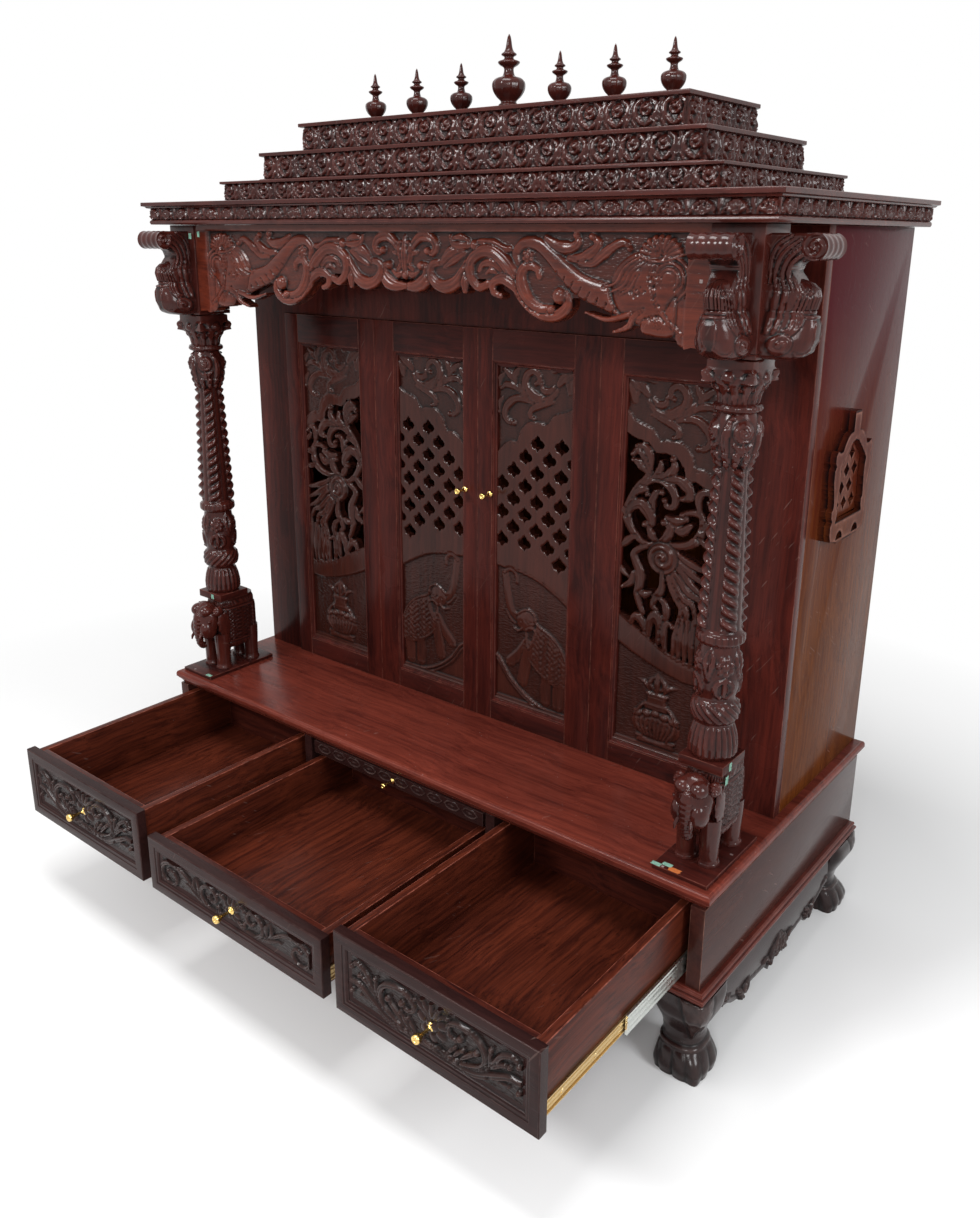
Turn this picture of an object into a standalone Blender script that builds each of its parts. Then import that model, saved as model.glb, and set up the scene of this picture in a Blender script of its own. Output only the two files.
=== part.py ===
"""Carved home shrine cabinet: named solids in metres, Z up, standing on the floor at Z = 0."""
import math

import bmesh
import bpy
import numpy as np
from mathutils import Matrix, Vector

for old in list(bpy.data.objects):
    bpy.data.objects.remove(old, do_unlink=True)

# Overall levels and the base
GAP = 0.0003            # joint line between two pieces that touch
SLIDE_CLEAR = 0.005     # free air round a drawer front
FLOOR_TO_TOP = 0.394    # top face of the base board
BASE_HALF = 0.750
BASE_DEPTH = 0.736
TOP_THICK = 0.032
OPENING_LOW = 0.197     # top face of the bottom board, below the base top face
BOTTOM_THICK = 0.022
BOTTOM_PROUD = 0.005    # bottom board past the top board
SIDE_INSET = 0.009      # side board in from the end of the top board
SIDE_THICK = 0.0276
SIDE_FRONT = 0.006
BACK_INSET = 0.014
BACK_THICK = 0.018
DIV_IN = 0.256          # divider face on the centre bay
DIV_THICK = 0.022
DIV_FRONT = 0.012
BOTTOM_LOW = OPENING_LOW + BOTTOM_THICK
SIDE_OUT = BASE_HALF - SIDE_INSET
SIDE_BACK = BASE_DEPTH - BACK_INSET

# Drawers, closed position, then pulled out by OUT
OUT = 0.432
FRONT_THICK = 0.020
FRONT_Y = 0.008
FRONT_FRAME = 0.022     # plain border round the carved recess
FRONT_RECESS = 0.008
BOX_WALL = 0.016
BOX_FLOOR = 0.012
BOX_LEN = 0.527
BOX_DROP = 0.006        # box rim below the top edge of the front
BOX_LOW = 0.183
RAIL_THICK = 0.0036     # fixed member and drawer member of a telescopic slide
RAIL_MID = 0.0052       # middle member
RAIL_WEB = 0.0014
RAIL_SPACE = 2 * RAIL_THICK + RAIL_MID + 2 * GAP
RAIL_LEN = 0.450
RAIL_Y = 0.034
RAIL_Z = 0.157          # slide centre line, below the base top face
RAIL_FIXED_H = 0.045
RAIL_MID_H = 0.038
RAIL_BOX_H = 0.028
FRONT_HIGH = 0.037      # top edge of the side drawer fronts, below the base top face
FRONT_LOW = OPENING_LOW - SLIDE_CLEAR
TRAY_GAP = 0.006        # centre drawer front below the tray

# Tray
TRAY_CLEAR = 0.0085     # tray front to divider
TRAY_SIDE_CLEAR = 0.006
TRAY_Y = 0.0135
TRAY_HIGH = 0.0375
TRAY_FACE = 0.030       # height of the tray front
TRAY_LEN = 0.400
TRAY_RIM = 0.0035       # tray body inside its front, above and below
RUNNER_IN = 0.016
RUNNER_H = 0.006
TRAY_LOW = TRAY_HIGH + TRAY_FACE
TRAY_HALF = DIV_IN - TRAY_CLEAR
TRAY_BOX_HALF = DIV_IN - TRAY_SIDE_CLEAR
CENTRE_HIGH = TRAY_LOW + TRAY_GAP

# Feet and aprons
FOOT_KNEE = 0.055       # half width under the board
APRON_THICK = 0.020
APRON_IN = 0.020        # apron face in from the edge of the bottom board

# Shrine cabinet
CAB_INSET = 0.022       # cabinet side in from the end of the base board
CAB_WALL = 0.025
CAB_FRONT = 0.302
CAB_TOP = 1.084         # above the base top face
JAMB_WIDE = 0.1166
DOOR_TOP = 0.882
LEAF_CLEAR = 0.0004
LEAF_Y = 0.296
LEAF_THICK = 0.028
STILE = 0.045           # frame of a leaf at the jamb and lip side
STILE_FOLD = 0.055      # frame of a leaf beside the fold
RAIL_LOW_H = 0.045
RAIL_TOP_H = 0.070
RECESS_DEPTH = 0.013
FIELD_DEPTH = 0.004     # carved fields below the bands
LATTICE_STEP = 0.0315
LATTICE_HOLE = 0.0145
LEAF_KNOB_X = 0.035
LEAF_KNOB_Z = 0.530
CAB_HALF = BASE_HALF - CAB_INSET
CAB_BACK = BASE_DEPTH - 0.008
JAMB_IN = CAB_HALF - JAMB_WIDE
LEAF_EDGE = JAMB_IN - LEAF_CLEAR
LEAF_SPLIT = LEAF_EDGE / 2 + 0.0005

# Porch
POST_INSET = 0.025      # post face in from the end of the base board
POST_WIDE = 0.088
POST_FRONT = 0.068
POST_LOW = 0.887
BRACKET_WIDE = 0.046
FASCIA_IN = 0.0045      # fascia face behind the post face
FASCIA_THICK = 0.030
PLATE_INSET = 0.014
PLATE_WIDE = 0.108
PLATE_FRONT = 0.015
PLATE_LEN = 0.199
PLATE_H = 0.009
SLAB_HALF = 0.0425
SLAB_LOW = 0.188
SLAB_THICK = 0.018
POST_OUT = BASE_HALF - POST_INSET
POST_IN = POST_OUT - POST_WIDE
POST_BACK = POST_FRONT + POST_WIDE
COL_X = (POST_IN + POST_OUT) / 2
COL_Y = (POST_FRONT + POST_BACK) / 2
FASCIA_Y = POST_FRONT + FASCIA_IN
PLATE_OUT = BASE_HALF - PLATE_INSET
PLATE_IN = PLATE_OUT - PLATE_WIDE
PLATE_BACK = PLATE_FRONT + PLATE_LEN
SLAB_HIGH = SLAB_LOW + SLAB_THICK

# Roof
CORNICE_PROUD = 0.018   # cornice past the end of the base board
CORNICE_OVER = 0.042    # cornice past the face of the posts
CORNICE_THICK = 0.0475
TIER_STEPS = [
    # each tier against the one below: in at the ends, front and back, and its height
    (0.154, 0.112, 0.090, 0.045),
    (0.066, 0.062, 0.049, 0.061),
    (0.0624, 0.056, 0.069, 0.062),
]
FINIAL_END = 0.109      # outer finial in from the end of the top tier
FINIAL_PAIRS = 3
FINIAL_TIP = 0.108
FINIAL_BIG_TIP = 0.150
FINIAL_R = 0.0235
FINIAL_BIG_R = 0.034
CORNICE_HALF = BASE_HALF + CORNICE_PROUD
CORNICE_FRONT = POST_FRONT - CORNICE_OVER
CORNICE_LOW = CAB_TOP + 0.0005

KNOB_LEN = 0.033
KNOB_HEAD = 0.0085

# The front knobs reach Y_FRONT, the base and the cornice end at BASE_DEPTH; the origin is between
Y_FRONT = FRONT_Y - OUT - KNOB_LEN
SHIFT_Y = -(Y_FRONT + BASE_DEPTH) / 2

part = bpy.data.collections.new("home_shrine")
tools = bpy.data.collections.new("shrine_cutters")
bpy.context.scene.collection.children.link(part)
bpy.context.scene.collection.children.link(tools)

FINISH = {
    "board": ((0.105, 0.022, 0.014), 0.32, 0.0),
    "panel": ((0.075, 0.020, 0.012), 0.28, 0.0),
    "carved": ((0.042, 0.014, 0.011), 0.34, 0.0),
    "front": ((0.026, 0.012, 0.011), 0.38, 0.0),
    "foot": ((0.018, 0.010, 0.010), 0.30, 0.0),
    "box": ((0.120, 0.026, 0.016), 0.42, 0.0),
    "brass": ((0.780, 0.560, 0.200), 0.18, 1.0),
    "zinc": ((0.560, 0.580, 0.570), 0.30, 1.0),
}


def up(z):
    """Height over the floor of a level given from the base top face."""
    return FLOOR_TO_TOP + z


def finish(obj, kind):
    """Own material for one object."""
    colour, rough, metal = FINISH[kind]
    mat = bpy.data.materials.new("mat_" + obj.name)
    mat.use_nodes = True
    bsdf = mat.node_tree.nodes["Principled BSDF"]
    bsdf.inputs["Base Color"].default_value = (*colour, 1.0)
    bsdf.inputs["Roughness"].default_value = rough
    bsdf.inputs["Metallic"].default_value = metal
    mat.diffuse_color = (*colour, 1.0)
    obj.data.materials.clear()
    obj.data.materials.append(mat)


def add_mesh(name, bm, kind=None, cutter=False):
    """Object from a bmesh, in the part or among the cutters."""
    bmesh.ops.recalc_face_normals(bm, faces=bm.faces)
    mesh = bpy.data.meshes.new(name)
    bm.to_mesh(mesh)
    bm.free()
    obj = bpy.data.objects.new(name, mesh)
    if cutter:
        tools.objects.link(obj)
        obj.hide_render = True
        obj.display_type = "WIRE"
    else:
        part.objects.link(obj)
        finish(obj, kind)
    return obj


def put_box(bm, x, y, z):
    """One closed block in a bmesh, from (low, high) pairs."""
    made = bmesh.ops.create_cube(bm, size=1.0)
    size = Matrix.Diagonal((x[1] - x[0], y[1] - y[0], z[1] - z[0], 1.0))
    mid = Matrix.Translation(((x[0] + x[1]) / 2, (y[0] + y[1]) / 2, (z[0] + z[1]) / 2))
    bmesh.ops.transform(bm, matrix=mid @ size, verts=made["verts"])
    return made["verts"]


def box(name, x, y, z, kind=None, cutter=False):
    """Plain block."""
    bm = bmesh.new()
    put_box(bm, x, y, z)
    return add_mesh(name, bm, kind, cutter)


def moulded(name, half, front, back, levels, kind):
    """Board with a moulded edge on the front and both ends; levels are (inset, z), low to high."""
    bm = bmesh.new()
    verts = put_box(bm, (-1, 1), (0, 1), (0, 1))
    top = [f for f in bm.faces if f.normal.z > 0.5]
    low = [v for v in verts if v.co.z < 0.5]

    def place(ring, inset, z):
        for v in ring:
            v.co.x = math.copysign(half - inset, v.co.x)
            v.co.y = front + inset if v.co.y < (front + back) / 2 - 1e-6 or v.co.y == 0 else back
            v.co.z = z

    for v in verts:
        v.co.y = front if v.co.y < 0.5 else back
    place(low, *levels[0])
    face = top[0]
    place(face.verts, *levels[1])
    for inset, z in levels[2:]:
        made = bmesh.ops.extrude_face_region(bm, geom=[face])
        ring = [g for g in made["geom"] if isinstance(g, bmesh.types.BMVert)]
        new_face = [g for g in made["geom"] if isinstance(g, bmesh.types.BMFace)][0]
        if face.is_valid:
            bmesh.ops.delete(bm, geom=[face], context="FACES_ONLY")
        face = new_face
        place(ring, inset, z)
    return add_mesh(name, bm, kind)


def outline(name, points, depth, matrix, kind=None, cutter=False, holes=()):
    """Solid from a closed flat outline, pushed both ways by half the depth, then placed."""
    curve = bpy.data.curves.new(name, "CURVE")
    curve.dimensions = "2D"
    curve.fill_mode = "BOTH"
    curve.extrude = depth / 2
    for ring in [points, *holes]:
        spline = curve.splines.new("POLY")
        spline.points.add(len(ring) - 1)
        for p, (u, v) in zip(spline.points, ring):
            p.co = (u, v, 0.0, 1.0)
        spline.use_cyclic_u = True
    temp = bpy.data.objects.new(name + "_curve", curve)
    tools.objects.link(temp)
    mesh = bpy.data.meshes.new_from_object(temp)
    bpy.data.objects.remove(temp, do_unlink=True)
    bpy.data.curves.remove(curve)
    bm = bmesh.new()
    bm.from_mesh(mesh)
    bpy.data.meshes.remove(mesh)
    bmesh.ops.remove_doubles(bm, verts=bm.verts, dist=0.00005)
    bmesh.ops.transform(bm, matrix=matrix, verts=bm.verts)
    return add_mesh(name, bm, kind, cutter)


def facing_front(y):
    """Matrix that stands an (x, z) outline in the plane at y."""
    return Matrix.Translation((0, y, 0)) @ Matrix.Rotation(math.radians(90), 4, "X")


def facing_side(x):
    """Matrix that stands a (y, z) outline in the plane at x."""
    turn = Matrix.Rotation(math.radians(90), 4, "Z") @ Matrix.Rotation(math.radians(90), 4, "X")
    return Matrix.Translation((x, 0, 0)) @ turn


def lathe(name, profile, steps, kind=None, centre=(0, 0, 0), axis="Z", cutter=False):
    """Turned piece: profile is (radius, height) from top to bottom, both ends on the axis."""
    bm = bmesh.new()
    verts = [bm.verts.new((r, 0, h)) for r, h in profile]
    edges = [bm.edges.new((a, b)) for a, b in zip(verts, verts[1:])]
    bmesh.ops.spin(bm, geom=verts + edges, cent=(0, 0, 0), axis=(0, 0, 1),
                   angle=math.tau, steps=steps, use_duplicate=False)
    bmesh.ops.remove_doubles(bm, verts=bm.verts, dist=0.00005)
    turn = Matrix.Identity(4)
    if axis == "-Y":
        turn = Matrix.Rotation(math.radians(90), 4, "X")
    bmesh.ops.transform(bm, matrix=Matrix.Translation(centre) @ turn, verts=bm.verts)
    return add_mesh(name, bm, kind, cutter)


def cut(obj, cutter):
    """Take one solid away from another."""
    mod = obj.modifiers.new("cut_" + cutter.name, "BOOLEAN")
    mod.operation = "DIFFERENCE"
    mod.solver = "EXACT"
    mod.object = cutter


def join(obj, other, own=False):
    """Fuse one solid to another; own says that the other's shapes run through each other."""
    mod = obj.modifiers.new("join_" + other.name, "BOOLEAN")
    mod.operation = "UNION"
    mod.use_self = own
    mod.solver = "EXACT"
    mod.object = other


def bump(bm, centre, radii, turn=(0, 0, 0), u=12, v=8):
    """Ellipsoid in a bmesh."""
    made = bmesh.ops.create_uvsphere(bm, u_segments=u, v_segments=v, radius=1.0)
    rot = Matrix.Rotation(turn[2], 4, "Z") @ Matrix.Rotation(turn[1], 4, "Y")
    rot = rot @ Matrix.Rotation(turn[0], 4, "X")
    mat = Matrix.Translation(centre) @ rot @ Matrix.Diagonal((*radii, 1.0))
    bmesh.ops.transform(bm, matrix=mat, verts=made["verts"])


def swept(bm, path, sides=8, squash=1.0):
    """Closed tapering limb in a bmesh: path is (x, y, z, radius across, radius along)."""
    rings = []
    n = len(path)
    for i, p in enumerate(path):
        here = Vector(p[:3])
        before = Vector(path[max(i - 1, 0)][:3])
        after = Vector(path[min(i + 1, n - 1)][:3])
        way = (after - before).normalized()
        side = way.cross(Vector((0, 1, 0)))
        if side.length < 0.2:
            side = way.cross(Vector((1, 0, 0)))
        side.normalize()
        other = way.cross(side).normalized()
        ring = []
        for k in range(sides):
            a = math.tau * (k + 0.5) / sides
            ring.append(bm.verts.new(here + side * math.cos(a) * p[3] + other * math.sin(a) * p[4]))
        rings.append(ring)
    for a, b in zip(rings, rings[1:]):
        for k in range(sides):
            bm.faces.new((a[k], a[(k + 1) % sides], b[(k + 1) % sides], b[k]))
    bm.faces.new(rings[0][::-1])
    bm.faces.new(rings[-1])


def filled(make):
    """New bmesh with one shape in it."""
    bm = bmesh.new()
    make(bm)
    return bm


def fused(name, makers, kind, mirror=1.0, base=None):
    """Several overlapping closed shapes fused into one body; mirror flips them across X."""
    body = base
    for i, make in enumerate(makers):
        bm = bmesh.new()
        make(bm)
        if mirror < 0:
            bmesh.ops.scale(bm, vec=(-1, 1, 1), verts=bm.verts)
        if body is None:
            body = add_mesh(name, bm, kind)
        else:
            join(body, add_mesh("%s_part%02d" % (name, i), bm, cutter=True))
    return body


# Base

def build_base():
    """Boards, sides, back and dividers of the drawer base."""
    z_low, z_open, z_top = up(-BOTTOM_LOW), up(-OPENING_LOW), up(-TOP_THICK)
    moulded("base_top", BASE_HALF, 0.0, BASE_DEPTH,
            [(0.0055, up(-TOP_THICK)), (0.0055, up(-0.0265)), (0.0095, up(-0.0245)),
             (0.0075, up(-0.0215)), (0.0008, up(-0.0195)), (0.0, up(-0.0155)), (0.0, up(-0.005)),
             (0.0025, up(-0.0012)), (0.005, up(0.0))], "board")
    moulded("base_bottom", BASE_HALF + BOTTOM_PROUD, -BOTTOM_PROUD, SIDE_BACK + 0.008,
            [(0.005, z_low), (0.001, z_low + 0.003), (0.0, z_low + 0.006), (0.0, z_low + 0.013),
             (0.004, z_low + 0.0165), (0.0095, z_low + 0.018), (0.0105, z_open)], "board")
    z = (z_open + GAP, z_top - GAP)
    fixed_z = (up(-RAIL_Z - RAIL_FIXED_H / 2), up(-RAIL_Z + RAIL_FIXED_H / 2))
    rail_y = (RAIL_Y, RAIL_Y + RAIL_LEN)
    run_top = up(-TRAY_LOW + TRAY_RIM + 0.001) - GAP
    run_z = (run_top - RUNNER_H, run_top)
    for s, tag in ((1, "r"), (-1, "l")):
        inner = SIDE_OUT - SIDE_THICK
        side = box("base_side_" + tag, sorted((s * inner, s * SIDE_OUT)), (SIDE_FRONT, SIDE_BACK),
                   z, "panel")
        join(side, box("rail_side_" + tag, sorted((s * (inner - RAIL_THICK), s * (inner + 0.004))),
                       rail_y, fixed_z, cutter=True))
        div = box("divider_" + tag, sorted((s * DIV_IN, s * (DIV_IN + DIV_THICK))),
                  (DIV_FRONT, SIDE_BACK - BACK_THICK - GAP), z, "panel")
        for k, (a, b) in enumerate(((DIV_IN - RAIL_THICK, DIV_IN + 0.004),
                                    (DIV_IN + DIV_THICK - 0.004, DIV_IN + DIV_THICK + RAIL_THICK))):
            join(div, box("rail_div%d_%s" % (k, tag), sorted((s * a, s * b)), rail_y, fixed_z,
                          cutter=True))
        join(div, box("runner_" + tag, sorted((s * (DIV_IN - RUNNER_IN), s * (DIV_IN + 0.004))),
                      (TRAY_Y + 0.0225, TRAY_Y + 0.0265 + TRAY_LEN), run_z, cutter=True))
    box("base_back", (-(inner - GAP), inner - GAP), (SIDE_BACK - BACK_THICK, SIDE_BACK), z, "panel")


def drawer(tag, x0, x1, high):
    """One drawer, pulled out: front, box with its slide members, knob."""
    y0 = FRONT_Y - OUT
    y1 = y0 + FRONT_THICK
    front = box("drawer_front_" + tag, (x0, x1), (y0, y1), (up(-FRONT_LOW), up(-high)), "front")
    cut(front, box("recess_" + tag, (x0 + FRONT_FRAME, x1 - FRONT_FRAME),
                   (y0 - 0.01, y0 + FRONT_RECESS),
                   (up(-FRONT_LOW) + FRONT_FRAME - 0.002, up(-high) - FRONT_FRAME + 0.004),
                   cutter=True))
    edge = RAIL_SPACE - SLIDE_CLEAR
    a, b = x0 + edge, x1 - edge
    top, low = up(-high - BOX_DROP), up(-BOX_LOW)
    y_end = y1 + GAP + BOX_LEN
    body = box("drawer_box_" + tag, (a, b), (y1 + GAP, y_end), (low, top), "box")
    cut(body, box("hollow_" + tag, (a + BOX_WALL, b - BOX_WALL),
                  (y1 + GAP + BOX_WALL, y_end - BOX_WALL), (low + BOX_FLOOR, top + 0.05),
                  cutter=True))
    rail_z = (up(-RAIL_Z - RAIL_BOX_H / 2), up(-RAIL_Z + RAIL_BOX_H / 2))
    rail_y = (RAIL_Y - OUT, RAIL_Y - OUT + RAIL_LEN)
    join(body, box("rail_a_" + tag, (a - RAIL_THICK, a + 0.004), rail_y, rail_z, cutter=True))
    join(body, box("rail_b_" + tag, (b - 0.004, b + RAIL_THICK), rail_y, rail_z, cutter=True))
    mid_y = (RAIL_Y - OUT / 2, RAIL_Y - OUT / 2 + RAIL_LEN)
    mid_z = (up(-RAIL_Z - RAIL_MID_H / 2), up(-RAIL_Z + RAIL_MID_H / 2))
    names = {"l": ("slide_l_out", "slide_l_in"), "c": ("slide_c_l", "slide_c_r"),
             "r": ("slide_r_in", "slide_r_out")}[tag]
    inner_z = (rail_z[0] + RAIL_WEB, rail_z[1] - RAIL_WEB)
    for name, side, face in ((names[0], -1, a - RAIL_THICK - GAP), (names[1], 1, b + RAIL_THICK + GAP)):
        far = face + side * RAIL_MID
        member = box(name, sorted((face, far)), mid_y, mid_z, "zinc")
        cut(member, box(name + "_channel", sorted((face - side * 0.01, far - side * RAIL_WEB)),
                        (mid_y[0] - 0.01, mid_y[1] + 0.01), inner_z, cutter=True))
    knob("knob_" + tag, ((x0 + x1) / 2, y0 + FRONT_RECESS - GAP, up(-(high + FRONT_LOW) / 2)), 1.0,
         KNOB_LEN + FRONT_RECESS)


def knob(name, at, scale=1.0, length=KNOB_LEN):
    """Brass knob on the -Y side of a point: flange, stem and mushroom head."""
    r = KNOB_HEAD * scale
    tip = length - GAP
    prof = [(0, 0), (r * 1.0, 0), (r * 1.0, 0.003), (r * 0.50, 0.006), (r * 0.42, tip * 0.60),
            (r * 0.95, tip * 0.80), (r * 0.95, tip * 0.95), (0, tip)]
    lathe(name, prof, 9, "brass", at, "-Y")


def build_tray():
    """Slim pull-out tray over the centre drawer, closed."""
    y0 = TRAY_Y
    low, high = up(-TRAY_LOW + TRAY_RIM + 0.001), up(-TRAY_HIGH - TRAY_RIM)
    body = box("tray", (-TRAY_HALF, TRAY_HALF), (y0, y0 + 0.016), (up(-TRAY_LOW), up(-TRAY_HIGH)),
               "front")
    join(body, box("tray_body", (-TRAY_BOX_HALF, TRAY_BOX_HALF), (y0 + 0.014, y0 + TRAY_LEN),
                   (low, high), cutter=True))
    cut(body, box("tray_hollow", (-TRAY_BOX_HALF + 0.010, TRAY_BOX_HALF - 0.010),
                  (y0 + 0.026, y0 + TRAY_LEN - 0.012), (low + 0.006, up(0.02)), cutter=True))
    knob("knob_tray", (0, y0 - GAP, up(-(TRAY_LOW + TRAY_HIGH) / 2)), 0.75)


def lofted(bm, rings):
    """Closed body through rings of equal length."""
    rows = [[bm.verts.new(p) for p in ring] for ring in rings]
    n = len(rows[0])
    for a, b in zip(rows, rows[1:]):
        for k in range(n):
            bm.faces.new((a[k], a[(k + 1) % n], b[(k + 1) % n], b[k]))
    bm.faces.new(rows[0][::-1])
    bm.faces.new(rows[-1])


# Cabriole foot: share of its height, shift along the corner diagonal, half width, squareness
FOOT = [(1.00, 0.000, 1.00, 7.0), (0.90, 0.004, 1.03, 5.0), (0.78, 0.006, 0.99, 3.6),
        (0.64, 0.002, 0.85, 2.8), (0.52, -0.003, 0.75, 2.4), (0.40, -0.005, 0.71, 2.2),
        (0.31, -0.002, 0.75, 2.6), (0.22, 0.003, 0.85, 3.4), (0.10, 0.006, 0.92, 4.5),
        (0.00, 0.006, 0.84, 5.0)]


def build_feet():
    """Four cabriole legs with lion paws under the corners of the bottom board."""
    top = up(-BOTTOM_LOW) - GAP
    sides = 16
    for sx, tx in ((1, "r"), (-1, "l")):
        for sy, ty in ((-1, "f"), (1, "b")):
            edge = -BOTTOM_PROUD if sy < 0 else SIDE_BACK + 0.008
            cx, cy = BASE_HALF + BOTTOM_PROUD - FOOT_KNEE, edge - sy * FOOT_KNEE
            rings = []
            for share, out, half, square in FOOT:
                ring = []
                for k in range(sides):
                    a = math.tau * (k + 0.5) / sides
                    c, s = math.cos(a), math.sin(a)
                    r = half * FOOT_KNEE / (abs(c) ** square + abs(s) ** square) ** (1 / square)
                    if share < 0.25:
                        r *= 1.03 if k % 2 else 0.96
                    ring.append((sx * (cx + out + r * c), cy + sy * out + r * s, top * share))
                rings.append(ring)
            bm = bmesh.new()
            lofted(bm, rings)
            add_mesh("foot_%s%s" % (ty, tx), bm, "foot")


# Lower edge of an apron: share of the half length from the middle, depth under the board
APRON_EDGE = [(0.0, 0.116), (0.04, 0.110), (0.09, 0.124), (0.15, 0.129), (0.20, 0.116),
              (0.36, 0.112), (0.50, 0.108), (0.56, 0.119), (0.64, 0.125), (0.71, 0.112),
              (0.82, 0.100), (0.92, 0.084), (1.0, 0.077)]


def apron(name, half, place):
    """Scalloped, slightly bellied board; place turns (along, out, z) into a point."""
    top = up(-BOTTOM_LOW) - GAP
    edge = [(-u, v) for u, v in reversed(APRON_EDGE[1:])] + APRON_EDGE
    bm = bmesh.new()
    rows = []
    for u, v in edge:
        x = half * u
        section = ((0.0, 0.0), (0.007, 0.55), (0.001, 1.0), (-APRON_THICK, 1.0), (-APRON_THICK, 0.0))
        rows.append([bm.verts.new(place(x, out, top - share * v)) for out, share in section])
    for a, b in zip(rows, rows[1:]):
        for k in range(5):
            bm.faces.new((a[k], a[(k + 1) % 5], b[(k + 1) % 5], b[k]))
    bm.faces.new(rows[0])
    bm.faces.new(rows[-1][::-1])
    body = add_mesh(name, bm, "foot")
    for k, (u, z, ru, rz) in enumerate(((0.0, 0.088, 0.016, 0.034), (-0.030, 0.094, 0.022, 0.020),
                                        (0.030, 0.094, 0.022, 0.020))):
        bm = bmesh.new()
        at = place(u, 0.002, top - z)
        across = place(1, 0, 0)[0] - place(0, 0, 0)[0]
        radii = (ru, 0.011, rz) if abs(across) > 0.5 else (0.011, ru, rz)
        bump(bm, at, radii, u=8, v=6)
        join(body, add_mesh("%s_leaf%d" % (name, k), bm, cutter=True))


def build_aprons():
    """Three aprons between the feet: front and both sides."""
    end_x = BASE_HALF + BOTTOM_PROUD - 2.04 * FOOT_KNEE - 0.004
    face_x = BASE_HALF + BOTTOM_PROUD - APRON_IN
    apron("apron_front", end_x, lambda u, o, z: (u, APRON_IN - BOTTOM_PROUD - o, z))
    low_y, high_y = -BOTTOM_PROUD, SIDE_BACK + 0.008
    mid = (low_y + high_y) / 2
    half = (high_y - low_y) / 2 - 2.04 * FOOT_KNEE - 0.004
    apron("apron_r", half, lambda u, o, z: (face_x + o, mid + u, z))
    apron("apron_l", half, lambda u, o, z: (-face_x - o, mid + u, z))


# Shrine cabinet

WINDOW_SHIFT = -0.154    # window middle from the middle of the side panel, as a share of its depth
WINDOW_Z = 0.640
WINDOW_PROUD = 0.023     # window frame out from the side panel
WINDOW_DEEP = 0.012      # lattice behind the face of the frame
# Half of the window frame and of its arch, from the top: share of the panel depth, and height
WINDOW_EDGE = [(0.037, 0.125), (0.037, 0.088), (0.087, 0.085), (0.112, 0.075),
               (0.137, 0.060), (0.207, 0.067), (0.217, 0.052), (0.200, 0.036), (0.217, 0.030),
               (0.209, 0.000), (0.190, -0.042), (0.205, -0.048), (0.189, -0.068), (0.205, -0.074),
               (0.190, -0.104), (0.110, -0.110)]
WINDOW_ARCH = [(0.012, 0.074), (0.034, 0.071), (0.087, 0.054), (0.127, 0.040), (0.146, 0.031),
               (0.140, 0.010), (0.148, -0.030), (0.153, -0.071)]
WINDOW_HOLES = [(0.000, 0.046), (-0.088, 0.016), (0.088, 0.016), (0.000, -0.0145), (-0.088, -0.0455),
                (0.088, -0.0455)]
WINDOW_HOLE = 0.0105
# Cusps of the half arch: share from the low side of the recess to the fold, share of the door height
ARCH_CUSPS = [(0.0, 0.678), (0.36, 0.706), (0.675, 0.7585), (1.0, 0.8005)]
ARCH_BULGE = [0.048, 0.105, 0.048]   # rise of each lobe as a share of the recess width
ARCH_BAND = 0.025
BIRD_HALF = 0.163
SCROLL_THICK = 0.0060    # half thickness; each scroll is a hair thicker than the last
# Long curved band across a pair of leaves: share of the half width, top and height as door shares
BAND = [(0.060, 0.486, 0.066), (0.195, 0.472, 0.066), (0.254, 0.463, 0.064), (0.345, 0.435, 0.070),
        (0.403, 0.415, 0.070), (0.584, 0.382, 0.072), (0.704, 0.338, 0.062), (0.813, 0.304, 0.054),
        (0.930, 0.296, 0.043)]
# Scrolls of the pierced bird panel: share across the recess, share of the door height, half width
# as a share of the recess width
SCROLLS = [
    [(0.45, 0.552, 0.053), (0.25, 0.567, 0.048), (0.11, 0.595, 0.053), (0.04, 0.635, 0.053),
     (0.13, 0.680, 0.048), (0.28, 0.717, 0.048), (0.22, 0.753, 0.062), (0.13, 0.766, 0.038)],
    [(0.28, 0.717, 0.043), (0.44, 0.726, 0.043), (0.57, 0.739, 0.053), (0.59, 0.766, 0.043)],
    [(0.13, 0.678, 0.043), (0.35, 0.703, 0.048), (0.56, 0.694, 0.053), (0.68, 0.669, 0.057),
     (0.63, 0.642, 0.048), (0.53, 0.651, 0.033)],
    [(0.45, 0.552, 0.043), (0.68, 0.563, 0.048), (0.85, 0.590, 0.048), (0.90, 0.621, 0.048),
     (0.68, 0.627, 0.053), (0.53, 0.618, 0.029)],
    [(0.85, 0.590, 0.033), (0.97, 0.635, 0.038), (1.01, 0.675, 0.043)],
    [(0.45, 0.552, 0.038), (0.35, 0.578, 0.043), (0.36, 0.621, 0.053), (0.24, 0.637, 0.067),
     (0.14, 0.618, 0.038)],
    [(0.44, 0.505, 0.067), (0.30, 0.467, 0.057), (0.24, 0.435, 0.048), (0.17, 0.444, 0.043),
     (0.09, 0.471, 0.033)],
    [(0.50, 0.499, 0.057), (0.52, 0.437, 0.043), (0.58, 0.374, 0.043), (0.60, 0.300, 0.048)],
    [(0.56, 0.524, 0.077), (0.76, 0.508, 0.077), (1.02, 0.474, 0.057)],
    [(0.58, 0.499, 0.077), (0.69, 0.448, 0.081), (0.77, 0.385, 0.105), (0.78, 0.289, 0.115)],
    [(0.19, 0.340, 0.057), (0.22, 0.391, 0.062), (0.13, 0.410, 0.038)],
    [(0.38, 0.317, 0.057), (0.41, 0.374, 0.062), (0.35, 0.399, 0.038)],
]


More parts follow.
